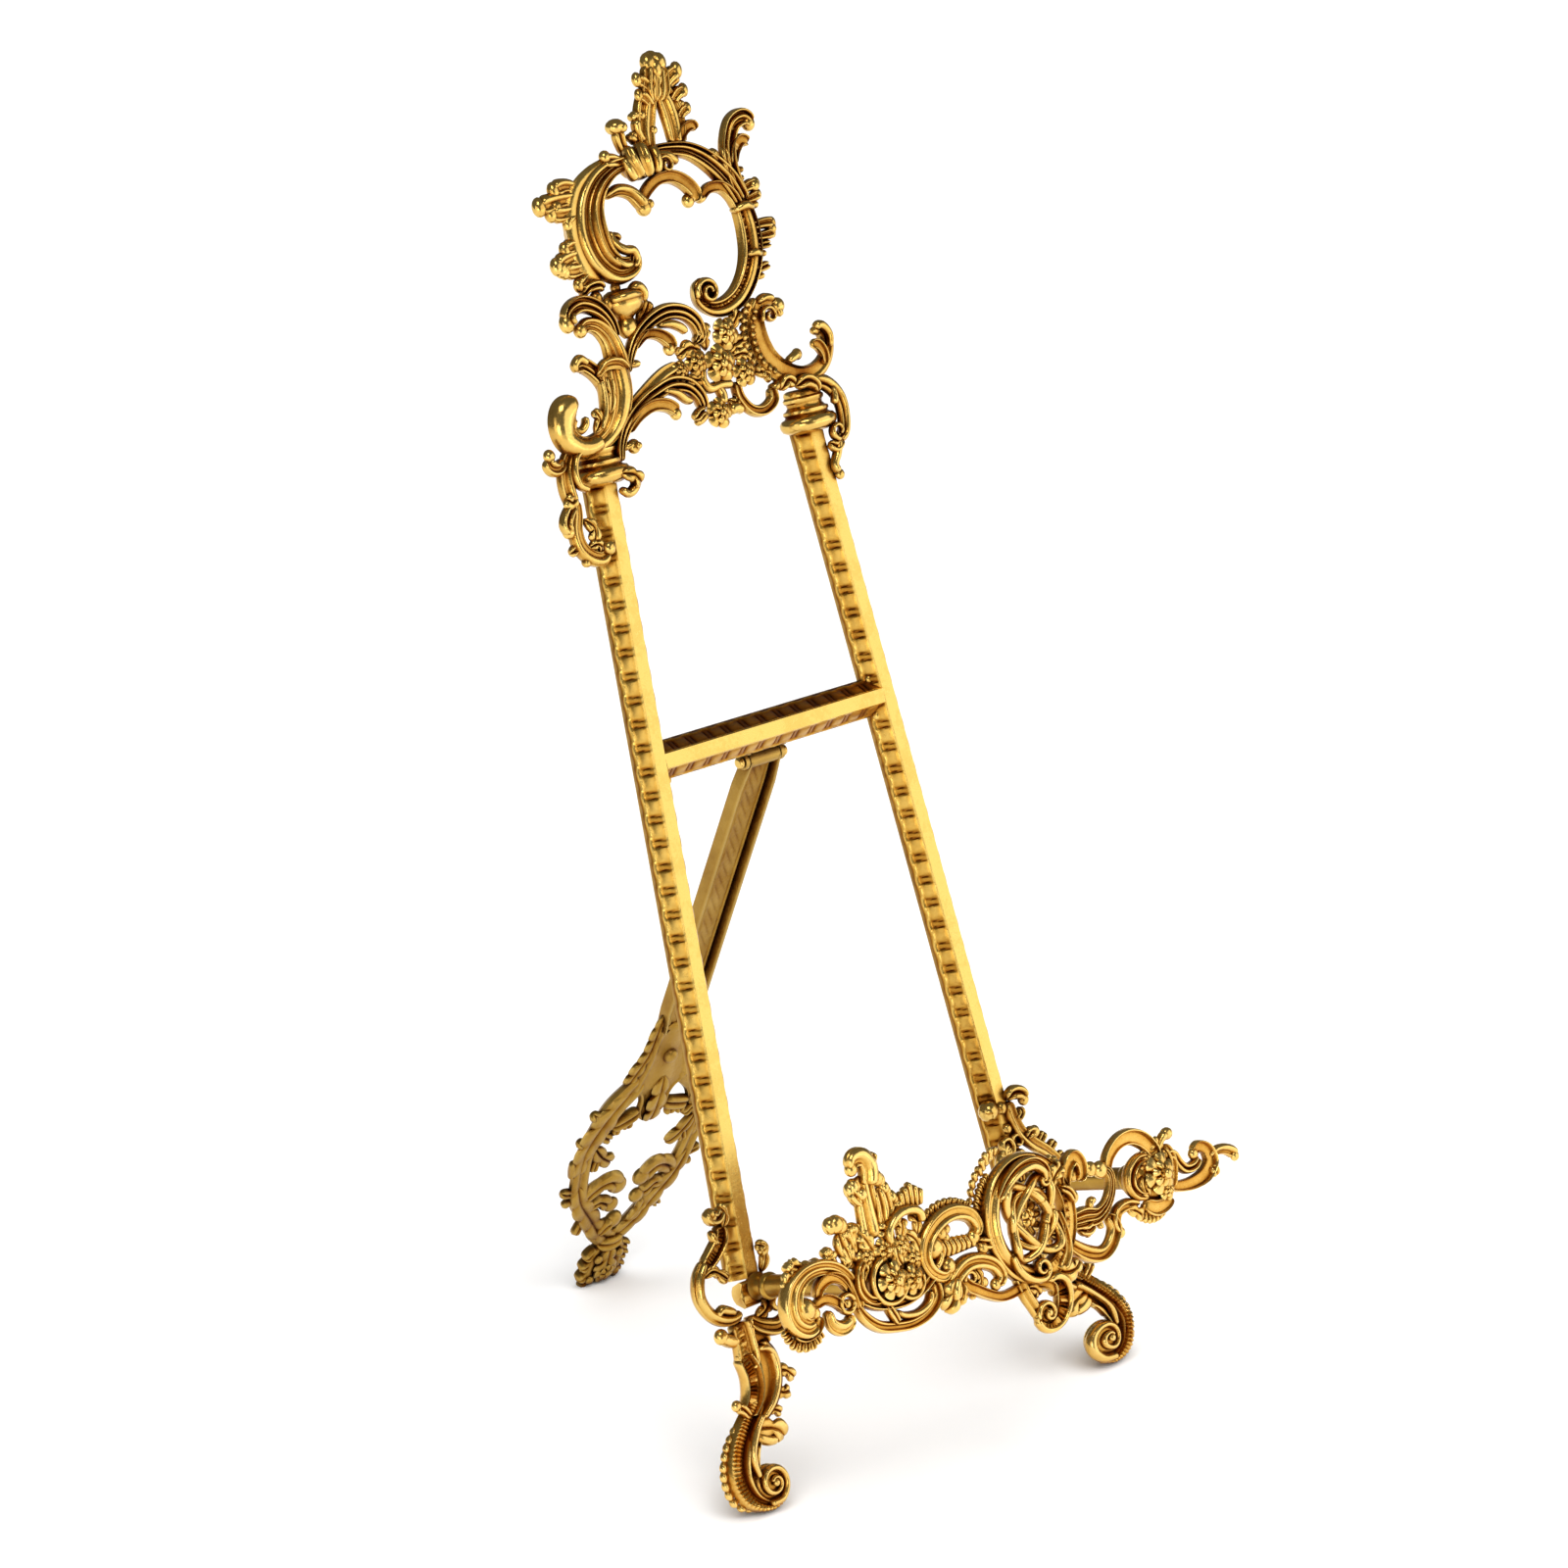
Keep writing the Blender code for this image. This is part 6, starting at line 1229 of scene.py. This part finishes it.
left_plume = [
    band([(-67.6, 92, 14, -0.8), (-68, 98, 12, -0.6), (-68.6, 105, 10.4, 0), (-68.6, 114.8, 8.6, 0.4)],
         PLUME, 2.8, 1.8, 0.2, rounded=(0.4, 0.6)),
    band([(-66.4, 110, 8, 0.4), (-65.4, 116.4, 8.4, 0.8), (-67.4, 120.2, 7.4, 1.0),
          (-71.6, 120.6, 6.6, 1.2), (-73.4, 117.6, 5.4, 1.4)], ((-0.3, 0.66, 1.0), (0.72, 0.28, 0.85)),
         3.2, 2.0, 0.4, rounded=(0.4, 0.9)),
    bead(-72.6, 117.6, 2.6, 1.4), lobe(-64.6, 116, 60, 5.6, 4.6, 2.4, 1.8, 0.6, CLEFT),
    band([(-70, 104.6, 4), (-73, 107.6, 5, 0.4), (-74.8, 110.6, 5, 0.8)], CLEFT, 2.4, 1.8),
    roll(-73, 111.6, 14, 7, 5.4, 0.6), bead(-70.6, 108.4, 2.2, 1.8),
    band([(-62.6, 94, 8, -0.6), (-61.6, 101, 8, -0.2), (-62.4, 108.6, 7, 0.4)], PLUME, 2.6, 1.8),
    roll(-62, 111.6, -24, 7.4, 5.4, 0.6), roll(-59.6, 107.6, -44, 6, 4.2, 0.4),
    roll(-57.2, 103.8, -36, 6, 4.4, 0.2),
    roll(-55, 100.4, -30, 5.6, 3.6, 0), band([(-60, 93.4, 6, -0.6), (-57.6, 98, 7, -0.4),
                                              (-56.4, 101.6, 5, 0)], CLEFT,
                                             2.4, 1.6)]
ledge_piece("gallery_plume", left_plume)

left_end = [
    band([(-101.6, 73.4, 5, 0.6), (-106.4, 72.8, 7.6, 0.4), (-110.2, 76, 9, 0), (-111, 81, 9.4, 0),
          (-108.4, 86.4, 8.4, 0), (-102.6, 89.8, 6.6, 0), (-95.6, 90.2, 6, 0), (-88.6, 87.6, 5.6, 0),
          (-84.2, 82.8, 5.2, 0), (-82.4, 76.6, 4.4, 0), (-81.6, 71.6, 3.4, 0)],
         ((-0.76, 0.24, 0.9), (-0.1, 0.4, 0.9), (0.66, 0.34, 1.0)), 3.8, 2.6, 0.55),
    band([(-111.4, 72.4, 4, -0.6), (-107.6, 70.6, 5, -0.4), (-102.6, 71.4, 4.6, 0),
          (-99.4, 75, 3.4, 0.4)], RIMS, 2.8, 2.0, 0.3),
    band([(-99.4, 80.6, 3, 0.6), (-97.6, 84.2, 4, 0.8), (-92.6, 85.8, 4.4, 0.8), (-87.6, 83.6, 4.2, 0.8),
          (-85.4, 79.4, 3.2, 0.8)], RIMS, 2.6, 2.0, 0.35),
    band([(-101.2, 78.6, 3, 0.4), (-96.4, 79.6, 4, 0.4), (-91.8, 77.2, 4, 0.6), (-89.2, 73.6, 3.2, 0.8)],
         RIMS, 2.6, 1.8, 0.3),
    bead(-105, 78.4, 4.4, 0.4, squash=0.8), bead(-101.6, 76.4, 2.4, 1),
    band(spiral(-87.4, 75.4, 3.2, 2.8, 0, 372, 2.0, 2.0, 1.2, 1.2, count=14), front=1.8, back=1.6,
         step=0.4),
    bead(-87.4, 75.4, 1.7, 1.6),
    band([(-95.6, 75.6, 3.6, 0), (-95, 70.6, 5, 0.2), (-91.4, 68.2, 5.4, 0.6), (-87.8, 69.4, 4.6, 1),
          (-88, 72, 3, 1)], ((0.3, 0.66, 1.0), (-0.76, 0.22, 0.7)), 2.8, 1.8, 0.4),
    leaf([(-101.4, 91, 4, -0.6), (-104, 93, 6, 0), (-107.4, 94.4, 4, 0)], lobes=3),
    roll(-107.2, 94.2, 20, 4.2, 3, 0), roll(-99.8, 92.4, -6, 4.6, 3.2, 0),
    roll(-95.6, 92.2, -10, 4, 3, 0),
    leaf([(-93, 89, 4, 0), (-89.6, 91.2, 5.6, 0.6), (-86.6, 90.8, 4, 0.4)], lobes=2),
    leaf([(-111, 86, 4, 0), (-109.6, 89.6, 6, 0.4), (-105.8, 91.2, 4, 0.4)], lobes=3),
    leaf([(-85, 86, 4, 0.4), (-82.4, 89.6, 5.6, 0.8), (-82.4, 93, 4, 0.4)], lobes=2)]
left_end += fringe([(-113.4, 74.6, 1, -0.6), (-110.4, 70, 1, -0.6), (-104.6, 68.6, 1, -0.6),
                    (-99.8, 70.8, 1, -0.6)], 8, -1, 4.2, 3.0, slant=-18, lift=-0.4, front=1.9, taper=0.8,
                   ribs=CLEFT)
ledge_piece("gallery_left_end", left_end)


# ---------------------------------------------------------------- ledge: right side
right_scrolls = [
    band([(17.0, 73.4, 5.4), (20.6, 72.4, 7), (26.4, 72, 8.4), (32.4, 71.2, 6.6), (37.6, 73.4, 5),
          (41.4, 78, 4.4), (42.4, 83.2, 4), (40, 86.4, 3.4)],
         ((-0.72, 0.2, 0.85), (-0.24, 0.2, 0.9), (0.24, 0.2, 0.85), (0.76, 0.22, 1.0)), 3.0, 2.0, 0.25),
    bead(38.4, 86, 3.2, 0.8, sides=20), bead(34.8, 87.2, 2.8, 0),
    band([(29, 73.6, 2.4, 0.6), (30.6, 77, 3, 1), (32.6, 76.6, 2.6, 1)], front=2, back=1.4),
    band([(15.4, 67.4, 5), (19, 63.6, 6), (25.4, 59.4, 6.4), (31.4, 58, 5.6), (36.4, 60.6, 5.4),
          (39.2, 65.4, 5.4), (37.4, 70, 5)], ((-0.7, 0.28, 1.0), (0.44, 0.5, 0.8)), 3.0, 2.0, 0.2),
    band([(22.6, 68.6, 3), (26.4, 67.6, 4.4, 0.4), (30, 69, 3.4, 0.4)], CLEFT, 2.4, 1.6),
    lobe(33.4, 69.6, -100, 3.6, 2.8, 2), lobe(25.4, 68.4, -70, 3.6, 2.6, 2),
    band([(41.4, 84.6, 3.6), (43.4, 89, 4.8), (48.6, 92.6, 5.6), (55, 93.2, 6.2), (60.8, 90.4, 6.6),
          (64.4, 85.8, 6.2), (65.6, 81.8, 5)], ((0.72, 0.26, 1.0), (-0.8, 0.2, 0.8)), 3.0, 2.0, 0.3),
    band([(41.4, 62.6, 4, 0.4), (40.2, 66.2, 4.6, 0.2), (42.6, 69.8, 4.8, 0), (47.6, 70.6, 4.8, 0),
          (53, 68.6, 4.6, 0)], ((0.5, 0.46, 1.0), (-0.6, 0.36, 0.7)), 2.8, 1.8, 0.3),
    bead(41.6, 62.4, 2.2, 0.6), leaf([(46.4, 70, 3, 0.4), (50.4, 67.4, 5.4, 1), (53.6, 64.8, 3, 0.6)],
                                     lobes=2)]
ledge_piece("gallery_right_scrolls", right_scrolls)

right_boss = [
    boss_cup(ARM_X),
    band([(61.4, 84.2, 3.4, 0.4), (55.6, 84.6, 3.8, 1), (50.6, 81.2, 4, 1.2), (49.4, 76.6, 4, 1.2),
          (52.2, 72.6, 3.6, 1.2), (57, 71, 3, 1)], ((-0.4, 0.5, 0.8), (0.66, 0.32, 1.0)), 3.2, 2.0, 0.25),
    bead(64, 77, 9.8, -1.0, squash=0.42, sides=28, rings=14),
    rosette(63.6, 77.4, 7.4, 6, 2.8, 4.6, 3, 10), rosette(66, 70.6, 3.8, 5, 2.2, 3, 2, 0),
    rosette(60, 83, 3.8, 5, 1.0, 3, 2, 20),
    leaf([(57, 79, 3, 1.4), (55.6, 74.4, 5, 2), (57.6, 70.6, 3, 1.6)], lobes=2),
    band([(70.6, 86, 3.4, 0.4), (72.2, 81.6, 4.6, 0.6), (71.6, 76, 4.8, 0.6), (70, 70.4, 4, 0.4)],
         ((-0.5, 0.46, 1.0), (0.6, 0.36, 0.8)), 2.8, 1.8),
    leaf([(62, 85, 4, 0), (66.2, 85.8, 6, 0.6), (69.4, 88.4, 4, 0.6)], lobes=2),
    band([(66.4, 84.4, 2.6, 0.4), (69.8, 88, 3.2, 0.6), (72.6, 89.8, 4.4, 1)], front=2.4, back=1.6),
    bead(73.2, 89.2, 2.7, 0.8, stretch=0.85),
    band([(55.4, 68.6, 5), (60, 66, 6.4, 0.4), (65.6, 66.2, 5.4, 0.4), (69.4, 67.6, 3.4, 0.2)], RIMS, 2.6,
         1.8, 0.4)]
right_boss += fan(59.6, 71.6, 232, 292, 6, 11, 3.6, -0.6, 1.9, 4, CLEFT)
ledge_piece("gallery_right_boss", right_boss)

right_tip = [
    band([(69.8, 82.4, 3.6), (73.6, 81.4, 4.2), (75.6, 77.8, 4.2), (78.4, 75, 4), (82.6, 74.8, 4),
          (86.2, 77, 3.2)], CLEFT, 2.8, 1.8),
    band([(69.4, 71, 3.6), (75, 69.6, 4.4), (81.4, 69.2, 5.2), (87.6, 70.6, 6), (91.4, 74.4, 6),
          (90.4, 78.8, 5), (86.4, 80.8, 4.4), (83.4, 79.2, 3.6, 0.6)],
         ((-0.76, 0.24, 1.0), (0.84, 0.16, 0.75)), 3.0, 2.0, 0.2),
    bead(83.8, 78.8, 2.2, 0.8), band([(91.2, 73, 4.4), (92, 69.8, 4.6, 0.4), (92.6, 68, 4, 0.4)], CLEFT,
                                     2.4, 1.8),
    band([(91.4, 75.4, 3.6), (95.4, 76.8, 3.6), (99.6, 76.2, 4.2), (102.8, 74.4, 4.8),
          (104.2, 72.4, 4.6, 0.4)], ((0.3, 0.66, 1.0), (-0.76, 0.22, 0.7)), 2.6, 1.8, 0.3),
    bead(103.2, 72.6, 1.9, 1.2), bead(70.6, 82.6, 2.3, 0.8)]
ledge_piece("gallery_right_tip", right_tip)


# ---------------------------------------------------------------- hinge and rear leg
PIN_G = (FRAME_PLANE.inverted() @ PIVOT).z


def strut_piece(node, shells, **how):
    piece(node, shells, plane=STRUT_PLANE, body="strut", slot="dull_brass", **how)


def block(low, high, chamfer=0.35):
    """A box with chamfered edges; low and high are opposite corners."""
    corners = {}
    points = []
    for i in range(8):
        sign = [1 if i >> axis & 1 else -1 for axis in range(3)]
        for axis in range(3):
            p = [high[a] if sign[a] > 0 else low[a] for a in range(3)]
            for a in range(3):
                if a != axis:
                    p[a] -= sign[a] * chamfer
            corners[(tuple(sign), axis)] = len(points)
            points.append(p)
    faces = []
    for i in range(8):
        sign = tuple(1 if i >> axis & 1 else -1 for axis in range(3))
        faces.append(tuple(corners[(sign, axis)] for axis in range(3)))
    for axis in range(3):
        a, b = [k for k in range(3) if k != axis]
        for side in (-1, 1):
            ring = []
            for u, v in ((-1, -1), (1, -1), (1, 1), (-1, 1)):
                sign = [0, 0, 0]
                sign[axis], sign[a], sign[b] = side, u, v
                ring.append(corners[(tuple(sign), axis)])
            faces.append(tuple(ring))
        for u in (-1, 1):
            for v in (-1, 1):
                ends = []
                for side in (-1, 1):
                    sign = [0, 0, 0]
                    sign[axis], sign[a], sign[b] = side, u, v
                    ends.append(tuple(sign))
                faces.append((corners[(ends[0], a)], corners[(ends[1], a)], corners[(ends[1], b)],
                              corners[(ends[0], b)]))
    points = np.array(points, float)
    middle = points.mean(axis=0)
    turned_out = []
    for face in faces:
        p = points[list(face)]
        normal = np.cross(p[1] - p[0], p[2] - p[0])
        turned_out.append(face if normal @ (p.mean(axis=0) - middle) > 0 else tuple(reversed(face)))
    return points, turned_out, np.full(len(points), 0.8)


def collar(inner, outer, start, end, centre, sides=32):
    """A ring about an axis that runs across, with rounded edges."""
    section = [(start, inner), (start, outer - 0.3), (start + 0.3, outer), (end - 0.3, outer),
               (end, outer - 0.3), (end, inner)]
    count = len(section)
    points, faces = [], []
    for j in range(sides):
        t = 2 * math.pi * j / sides
        for x, r in section:
            points.append((centre[0] + x, centre[1] + r * math.cos(t), centre[2] + r * math.sin(t)))
    for j in range(sides):
        n = (j + 1) % sides
        for k in range(count):
            m = (k + 1) % count
            faces.append((j * count + k, j * count + m, n * count + m, n * count + k))
    return np.array(points), faces, np.full(len(points), 0.8)


back_of_bar = -RAIL_DEPTH - RIM_DEPTH
bracket = [block((-9.2, 252.6, back_of_bar - 1.6), (9.2, 264.6, back_of_bar - 0.02)),
           bead(-5.6, 259.4, 1.5, back_of_bar - 1.6, squash=0.6),
           bead(5.6, 259.4, 1.5, back_of_bar - 1.6, squash=0.6)]
for side in (-1, 1):
    middle_x = side * 8.45
    bracket.append(collar(PIN_HOLE, 2.9, middle_x - 0.85, middle_x + 0.85, (0, PIN_S, PIN_G)))
    low = (middle_x - 0.85, PIN_S + 2.2, back_of_bar - 3.85)
    high = (middle_x + 0.85, PIN_S + 9.1, back_of_bar - 0.1)
    bracket.append(block(low, high, 0.25))
piece("hinge_bracket", bracket, slot="brown_brass", sharp=35)

pin_rows = [(-11.4, 0.9), (-11.3, 1.5), (-10.9, 2.0), (-10.2, 2.2), (-9.75, 2.1), (-9.7, 1.5), (9.7, 1.5),
            (9.75, 2.1), (10.2, 2.2), (10.9, 2.0), (11.3, 1.5), (11.4, 0.9)]
strut_piece("hinge_pin", [turned(pin_rows, (0, 0, 0), (1, 0, 0), (0, 1, 0), sides=28)], how="turned",
            material=BRIGHT, sharp=40)


def make_strut_bar():
    """A channel with turned-up edges and a raised, notched strip along its middle."""
    top, bottom, pitch = 0.8, -124.0, 5.4
    section = [(-8.6, 1.9), (-8.4, 2.8), (-7.6, 2.8), (-7.2, 2.2), (-6.9, -1.2), (-5.9, -1.5),
               (-5.4, -1.0), (-5.0, 0.7), (-4.4, 0.9), (-3.9, 0.3)]
    strip = [(x, 0.3) for x in np.linspace(-3.4, 3.4, 15)]
    edge = [(-x, g) for x, g in reversed(section)]
    loop = section + strip + edge + [(8.5, -2.2), (7.9, -2.8), (0.0, -2.8), (-7.9, -2.8), (-8.5, -2.2)]
    rows = int((top - bottom) / 0.55)
    points, marks = [], []
    for i in range(rows + 1):
        s = top + (bottom - top) * i / rows
        narrow = 0.84 + 0.16 * min(1.0, (top - s) / 12.0) - 0.12 * max(0.0, 1 - (s - bottom) / 9.0)
        for x, g in loop:
            # painted shade in the notches and on the channel's floor, painted light on the raised edges;
            # the slow wave is tone
            raised, mark = 0.0, 0.45
            if abs(x) <= 3.45 and g > 0.2:
                phase = ((s + 1.5 * x) / pitch) % 1.0
                notch = math.exp(-((phase - 0.5) / 0.13) ** 2) * max(0.0, 1 - (abs(x + 0.4) / 3.2) ** 4)
                beat = 0.12 * math.sin(2 * math.pi * s / (pitch * 3))
                raised = beat - 0.30 * notch
                mark = 0.55 - 0.42 * notch + 0.1 * math.sin(2 * math.pi * s / 17.0)
            elif g < -0.6 and abs(x) < 7.1:
                mark = 0.0
            elif g > 0.6 and abs(x) < 5.2:
                mark = 0.9
            elif g > 2.5:
                mark = 0.85
            points.append((x * narrow, s, g + raised))
            marks.append(mark)
    points += [(0, top, -0.4), (0, bottom, -0.4)]
    marks += [0.4, 0.4]
    return np.array(points), tube_faces(rows + 1, len(loop)), np.array(marks)


knuckle = turned([(-7.2, 2.2), (-7.1, 2.6), (-6.8, 2.8), (6.8, 2.8), (7.1, 2.6), (7.2, 2.2)], (0, 0, 0),
                 (1, 0, 0), (0, 1, 0), sides=32)
strut_piece("strut_bar", [make_strut_bar(), knuckle], sharp=32)

ARM_RIBS = ((-0.5, 0.48, 0.85), (0.5, 0.48, 1.0))
rear_body = [
    band([(0, -121.6, 16), (0, -130, 18.4), (0, -139, 21), (0, -145.6, 26), (0, -150.4, 28),
          (0, -154, 19), (0, -158, 15), (0, -162.4, 15), (0, -166, 11), (0, -169.6, 5)],
         ((-0.84, 0.15, 0.85), (0.0, 0.62, 0.8), (0.84, 0.15, 0.85)), 2.8, 2.4, 0.5, rounded=(0.3, 0.8)),
    leaf([(0, -146, 6, 1.6), (0, -154, 9, 2.2), (0, -163, 8, 2), (0, -169, 4, 1)], lobes=3, front=2.0)]
for side in (-1, 1):
    rear_body += [
        band([(side * 9, -146, 9, 0), (side * 13.6, -150, 10.6, 0), (side * 20.4, -156.4, 11.6, 0),
              (side * 24.4, -165.6, 10.6, 0), (side * 27.8, -175, 8.4, 0), (side * 27.0, -188, 8.4, 0),
              (side * 24.4, -199, 8.6, 0), (side * 18.4, -208.4, 8, 0), (side * 12.0, -217.4, 8, 0),
              (side * 5.2, -225, 8.6, 0), (side * -2.4, -228.4, 7, 0)], ARM_RIBS, 2.8, 2.4, 0.5),
        leaf([(side * 14, -149.6, 7, 1.2), (side * 21.4, -157.4, 13, 1.6),
              (side * 27.0, -166.4, 12.6, 1.6), (side * 29.6, -176, 9, 1.2), (side * 29.0, -186, 6, 1)],
             lobes=5, front=1.9, sharp=0.3),
        leaf([(side * 27.4, -192, 6, 1.0), (side * 23.4, -201.6, 9.6, 1.4), (side * 16.4, -211, 9.6, 1.4),
              (side * 9, -220.6, 9, 1.4), (side * 2, -227, 6, 1)], lobes=5, front=1.9, sharp=0.3),
        leaf([(side * 7.4, -116, 3, -0.4), (side * 9.2, -123, 6, 0), (side * 10.4, -134, 7, 0),
              (side * 14.4, -141.6, 7.6, 0.2), (side * 17, -146.6, 5, 0.2)], lobes=6, front=2.0),
        lobe(side * 26.4, -160.6, 90 - side * 40, 6.6, 4.6, 2.4, 1.8, 0, CLEFT),
        lobe(side * 29.0, -171.4, 90 - side * 58, 6.0, 4.2, 2.4, 1.8, 0, CLEFT),
        lobe(side * 24.0, -168.4, 90 + side * 120, 7.4, 4.6, 2.4, 1.8, 0.2, CLEFT),
        band([(side * 6, -162.4, 6, 0.2), (side * 12, -164.6, 6.4, 0.2), (side * 19, -166.4, 6.4, 0.2)],
             CLEFT, 2.6, 2.0),
        lobe(side * 10.6, -164, -90, 6.0, 5.4, 2.2, 1.6, 0, CLEFT),
        lobe(side * 15.4, -166, 270 + side * 10, 5.0, 4.6, 2.2, 1.6, 0, CLEFT),
        leaf([(side * 25, -173.6, 5, 0.6), (side * 19.6, -180.0, 7.6, 1), (side * 13.6, -184.4, 5.4, 1)],
             lobes=2, front=2.4),
        lobe(side * 20.6, -180.0, 270 + side * 14, 7.0, 4.2, 2.2, 1.4, 0, CLEFT),
        lobe(side * 30.4, -187.4, 90 - side * 14, 9.4, 4.0, 2.2, 1.6, -0.4, CLEFT),
        lobe(side * 26.6, -196.6, 90 - side * 68, 8.4, 4.2, 2.2, 1.6, -0.4, CLEFT),
        lobe(side * 25, -200, 90 - side * 92, 7.0, 3.6, 2.2, 1.6, -0.4),
        lobe(side * 17.4, -213, 270 + side * 30, 7.0, 4.0, 2.2, 1.6, -0.4, CLEFT),
        leaf([(side * 23.6, -203.6, 6, 0.4), (side * 18.4, -197.4, 8.6, 0.8),
              (side * 11.4, -195.0, 9.6, 1.2), (side * 5.6, -198.4, 7.4, 1.6)], lobes=2, front=2.8,
             back=2.0, sharp=0.2),
        bead(side * 5.8, -198.6, 3.9, 1.4, squash=0.6),
        leaf([(side * 20, -206.4, 5, 0.6), (side * 13.6, -204.4, 6.6, 1), (side * 8.0, -207.4, 6.4, 1.4)],
             lobes=2, front=2.6, back=2.0, sharp=0.2),
        bead(side * 6.4, -208.2, 3.4, 1.4, squash=0.6)]
rear_body += [
    band([(-9, -223, 5, 0.6), (-6.4, -218.8, 6, 1), (-3.0, -216.8, 6.4, 1.4)], CLEFT, 2.8, 1.8),
    bead(-2.4, -217, 3.9, 1.4, squash=0.6),
    leaf([(6, -222, 4, 1), (9, -216.6, 6, 1.6), (12, -211.6, 4, 1)], lobes=2),
    band([(-6.4, -228.6, 6, 0.4), (0, -229.6, 7, 1), (6.4, -228.6, 6, 0.4)], CLEFT, 2.8, 2.4)]
strut_piece("rear_leg", rear_body)
rivet_rows = [(-4.2, 1.2), (-4.1, 1.8), (-3.6, 2.5), (-3.0, 2.9), (-2.8, 2.9), (2.7, 2.9), (3.3, 2.5),
              (3.9, 1.8), (4.1, 1.2)]
strut_piece("rivet", [turned(rivet_rows, (0, -137, 0), (0, 0, 1), (1, 0, 0), sides=24)], how="turned",
            sharp=40)

rear_foot = [
    band([(0, -229.4, 14), (0, -234, 18), (0, -241, 20), (0, -247.4, 18), (0, -251, 12)],
         ((-0.7, 0.26, 0.8), (0, 0.4, 0.9), (0.7, 0.26, 0.8)), 3.2, 3.6, 0.5, rounded=(0.4, 0.9)),
    leaf([(0, -230, 6, 2), (0, -238, 11, 2.6), (0, -246, 8, 2.4)], lobes=3, front=2.2),
    rosette(0, -242.6, 5.4, 6, 3.2, 2.6, 2, 0)]
for side in (-1, 1):
    rear_foot += [
        lobe(side * 5.4, -232, 270 + side * 62, 6.4, 4.6, 2.6, 2.6, 0, CLEFT),
        lobe(side * 5.4, -237, 270 + side * 66, 6.8, 4.8, 2.8, 2.8, 0, CLEFT),
        lobe(side * 5, -242, 270 + side * 60, 7.2, 4.8, 2.8, 2.8, 0, CLEFT),
        lobe(side * 3.6, -246.4, 270 + side * 40, 6.8, 4.8, 2.6, 2.8, 0, CLEFT),
        bead(side * 5.2, -235.4, 1.9, 3.0), bead(side * 6.4, -245.4, 1.8, 2.8)]
rear_foot += [lobe(0, -247, 270, 5.0, 5, 2.6, 2.8, 0, CLEFT)]
strut_piece("rear_foot", rear_foot, floor=0.0)


# ---------------------------------------------------------------- floor, lights and camera
FLOOR_HALF = 60.0                    # m
WARM_WHITE = (1.0, 0.985, 0.96)
SENSOR_WIDTH, FOCAL_LENGTH = 36.0, 125.93


def make_floor():
    size = FLOOR_HALF
    mesh = bpy.data.meshes.new("floor")
    mesh.from_pydata([(-size, -size, 0), (size, -size, 0), (size, size, 0), (-size, size, 0)], [],
                     [(0, 1, 2, 3)])
    mat = bpy.data.materials.new("pale_floor")
    mat.use_nodes = True
    shader = mat.node_tree.nodes["Principled BSDF"]
    shader.inputs["Base Color"].default_value = (0.93, 0.93, 0.93, 1)
    shader.inputs["Roughness"].default_value = 0.9
    shader.inputs["Specular IOR Level"].default_value = 0.1
    mesh.materials.append(mat)
    obj = bpy.data.objects.new("floor", mesh)
    bpy.context.scene.collection.objects.link(obj)


def area_light(name, where, aim, width, height, power):
    data = bpy.data.lights.new(name, "AREA")
    data.shape = "RECTANGLE"
    data.size, data.size_y = width, height
    data.energy = power
    data.color = WARM_WHITE
    obj = bpy.data.objects.new(name, data)
    obj.location = where
    obj.rotation_euler = (Vector(aim) - Vector(where)).to_track_quat("-Z", "Y").to_euler()
    bpy.context.scene.collection.objects.link(obj)


make_floor()
middle = (0.0, 0.0, 0.23)
# name, place, width, height and power
for name, where, width, height, power in (("front_right", (1.3, -1.5, 0.70), 2.2, 1.5, 14),
                                          ("front_left", (-1.7, -0.9, 0.75), 0.8, 1.0, 4),
                                          ("overhead", (-0.3, -0.9, 1.7), 0.55, 0.55, 5),
                                          ("fill", (-1.2, -1.9, 0.55), 0.9, 0.7, 8)):
    area_light(name, where, middle, width, height, power)
sun = bpy.data.objects.new("floor_light", bpy.data.lights.new("floor_light", "SUN"))
sun.data.energy = 3.3
sun.data.angle = math.radians(75)
sun.rotation_euler = (math.radians(18), math.radians(-12), 0)
sun.visible_glossy = False
bpy.context.scene.collection.objects.link(sun)

world = bpy.data.worlds.new("studio")
world.use_nodes = True
world.node_tree.nodes["Background"].inputs["Color"].default_value = (1.0, 0.98, 0.95, 1)
world.node_tree.nodes["Background"].inputs["Strength"].default_value = 0.17
bpy.context.scene.world = world
bpy.context.scene.view_settings.view_transform = "Standard"

lens = bpy.data.cameras.new("camera")
lens.sensor_width = SENSOR_WIDTH
lens.lens = FOCAL_LENGTH
camera = bpy.data.objects.new("camera", lens)
camera.location = (-1.2386, -1.3056, 0.8665)
camera.rotation_euler = (math.radians(70.5), 0, math.radians(-43.3))
bpy.context.scene.collection.objects.link(camera)
bpy.context.scene.camera = camera
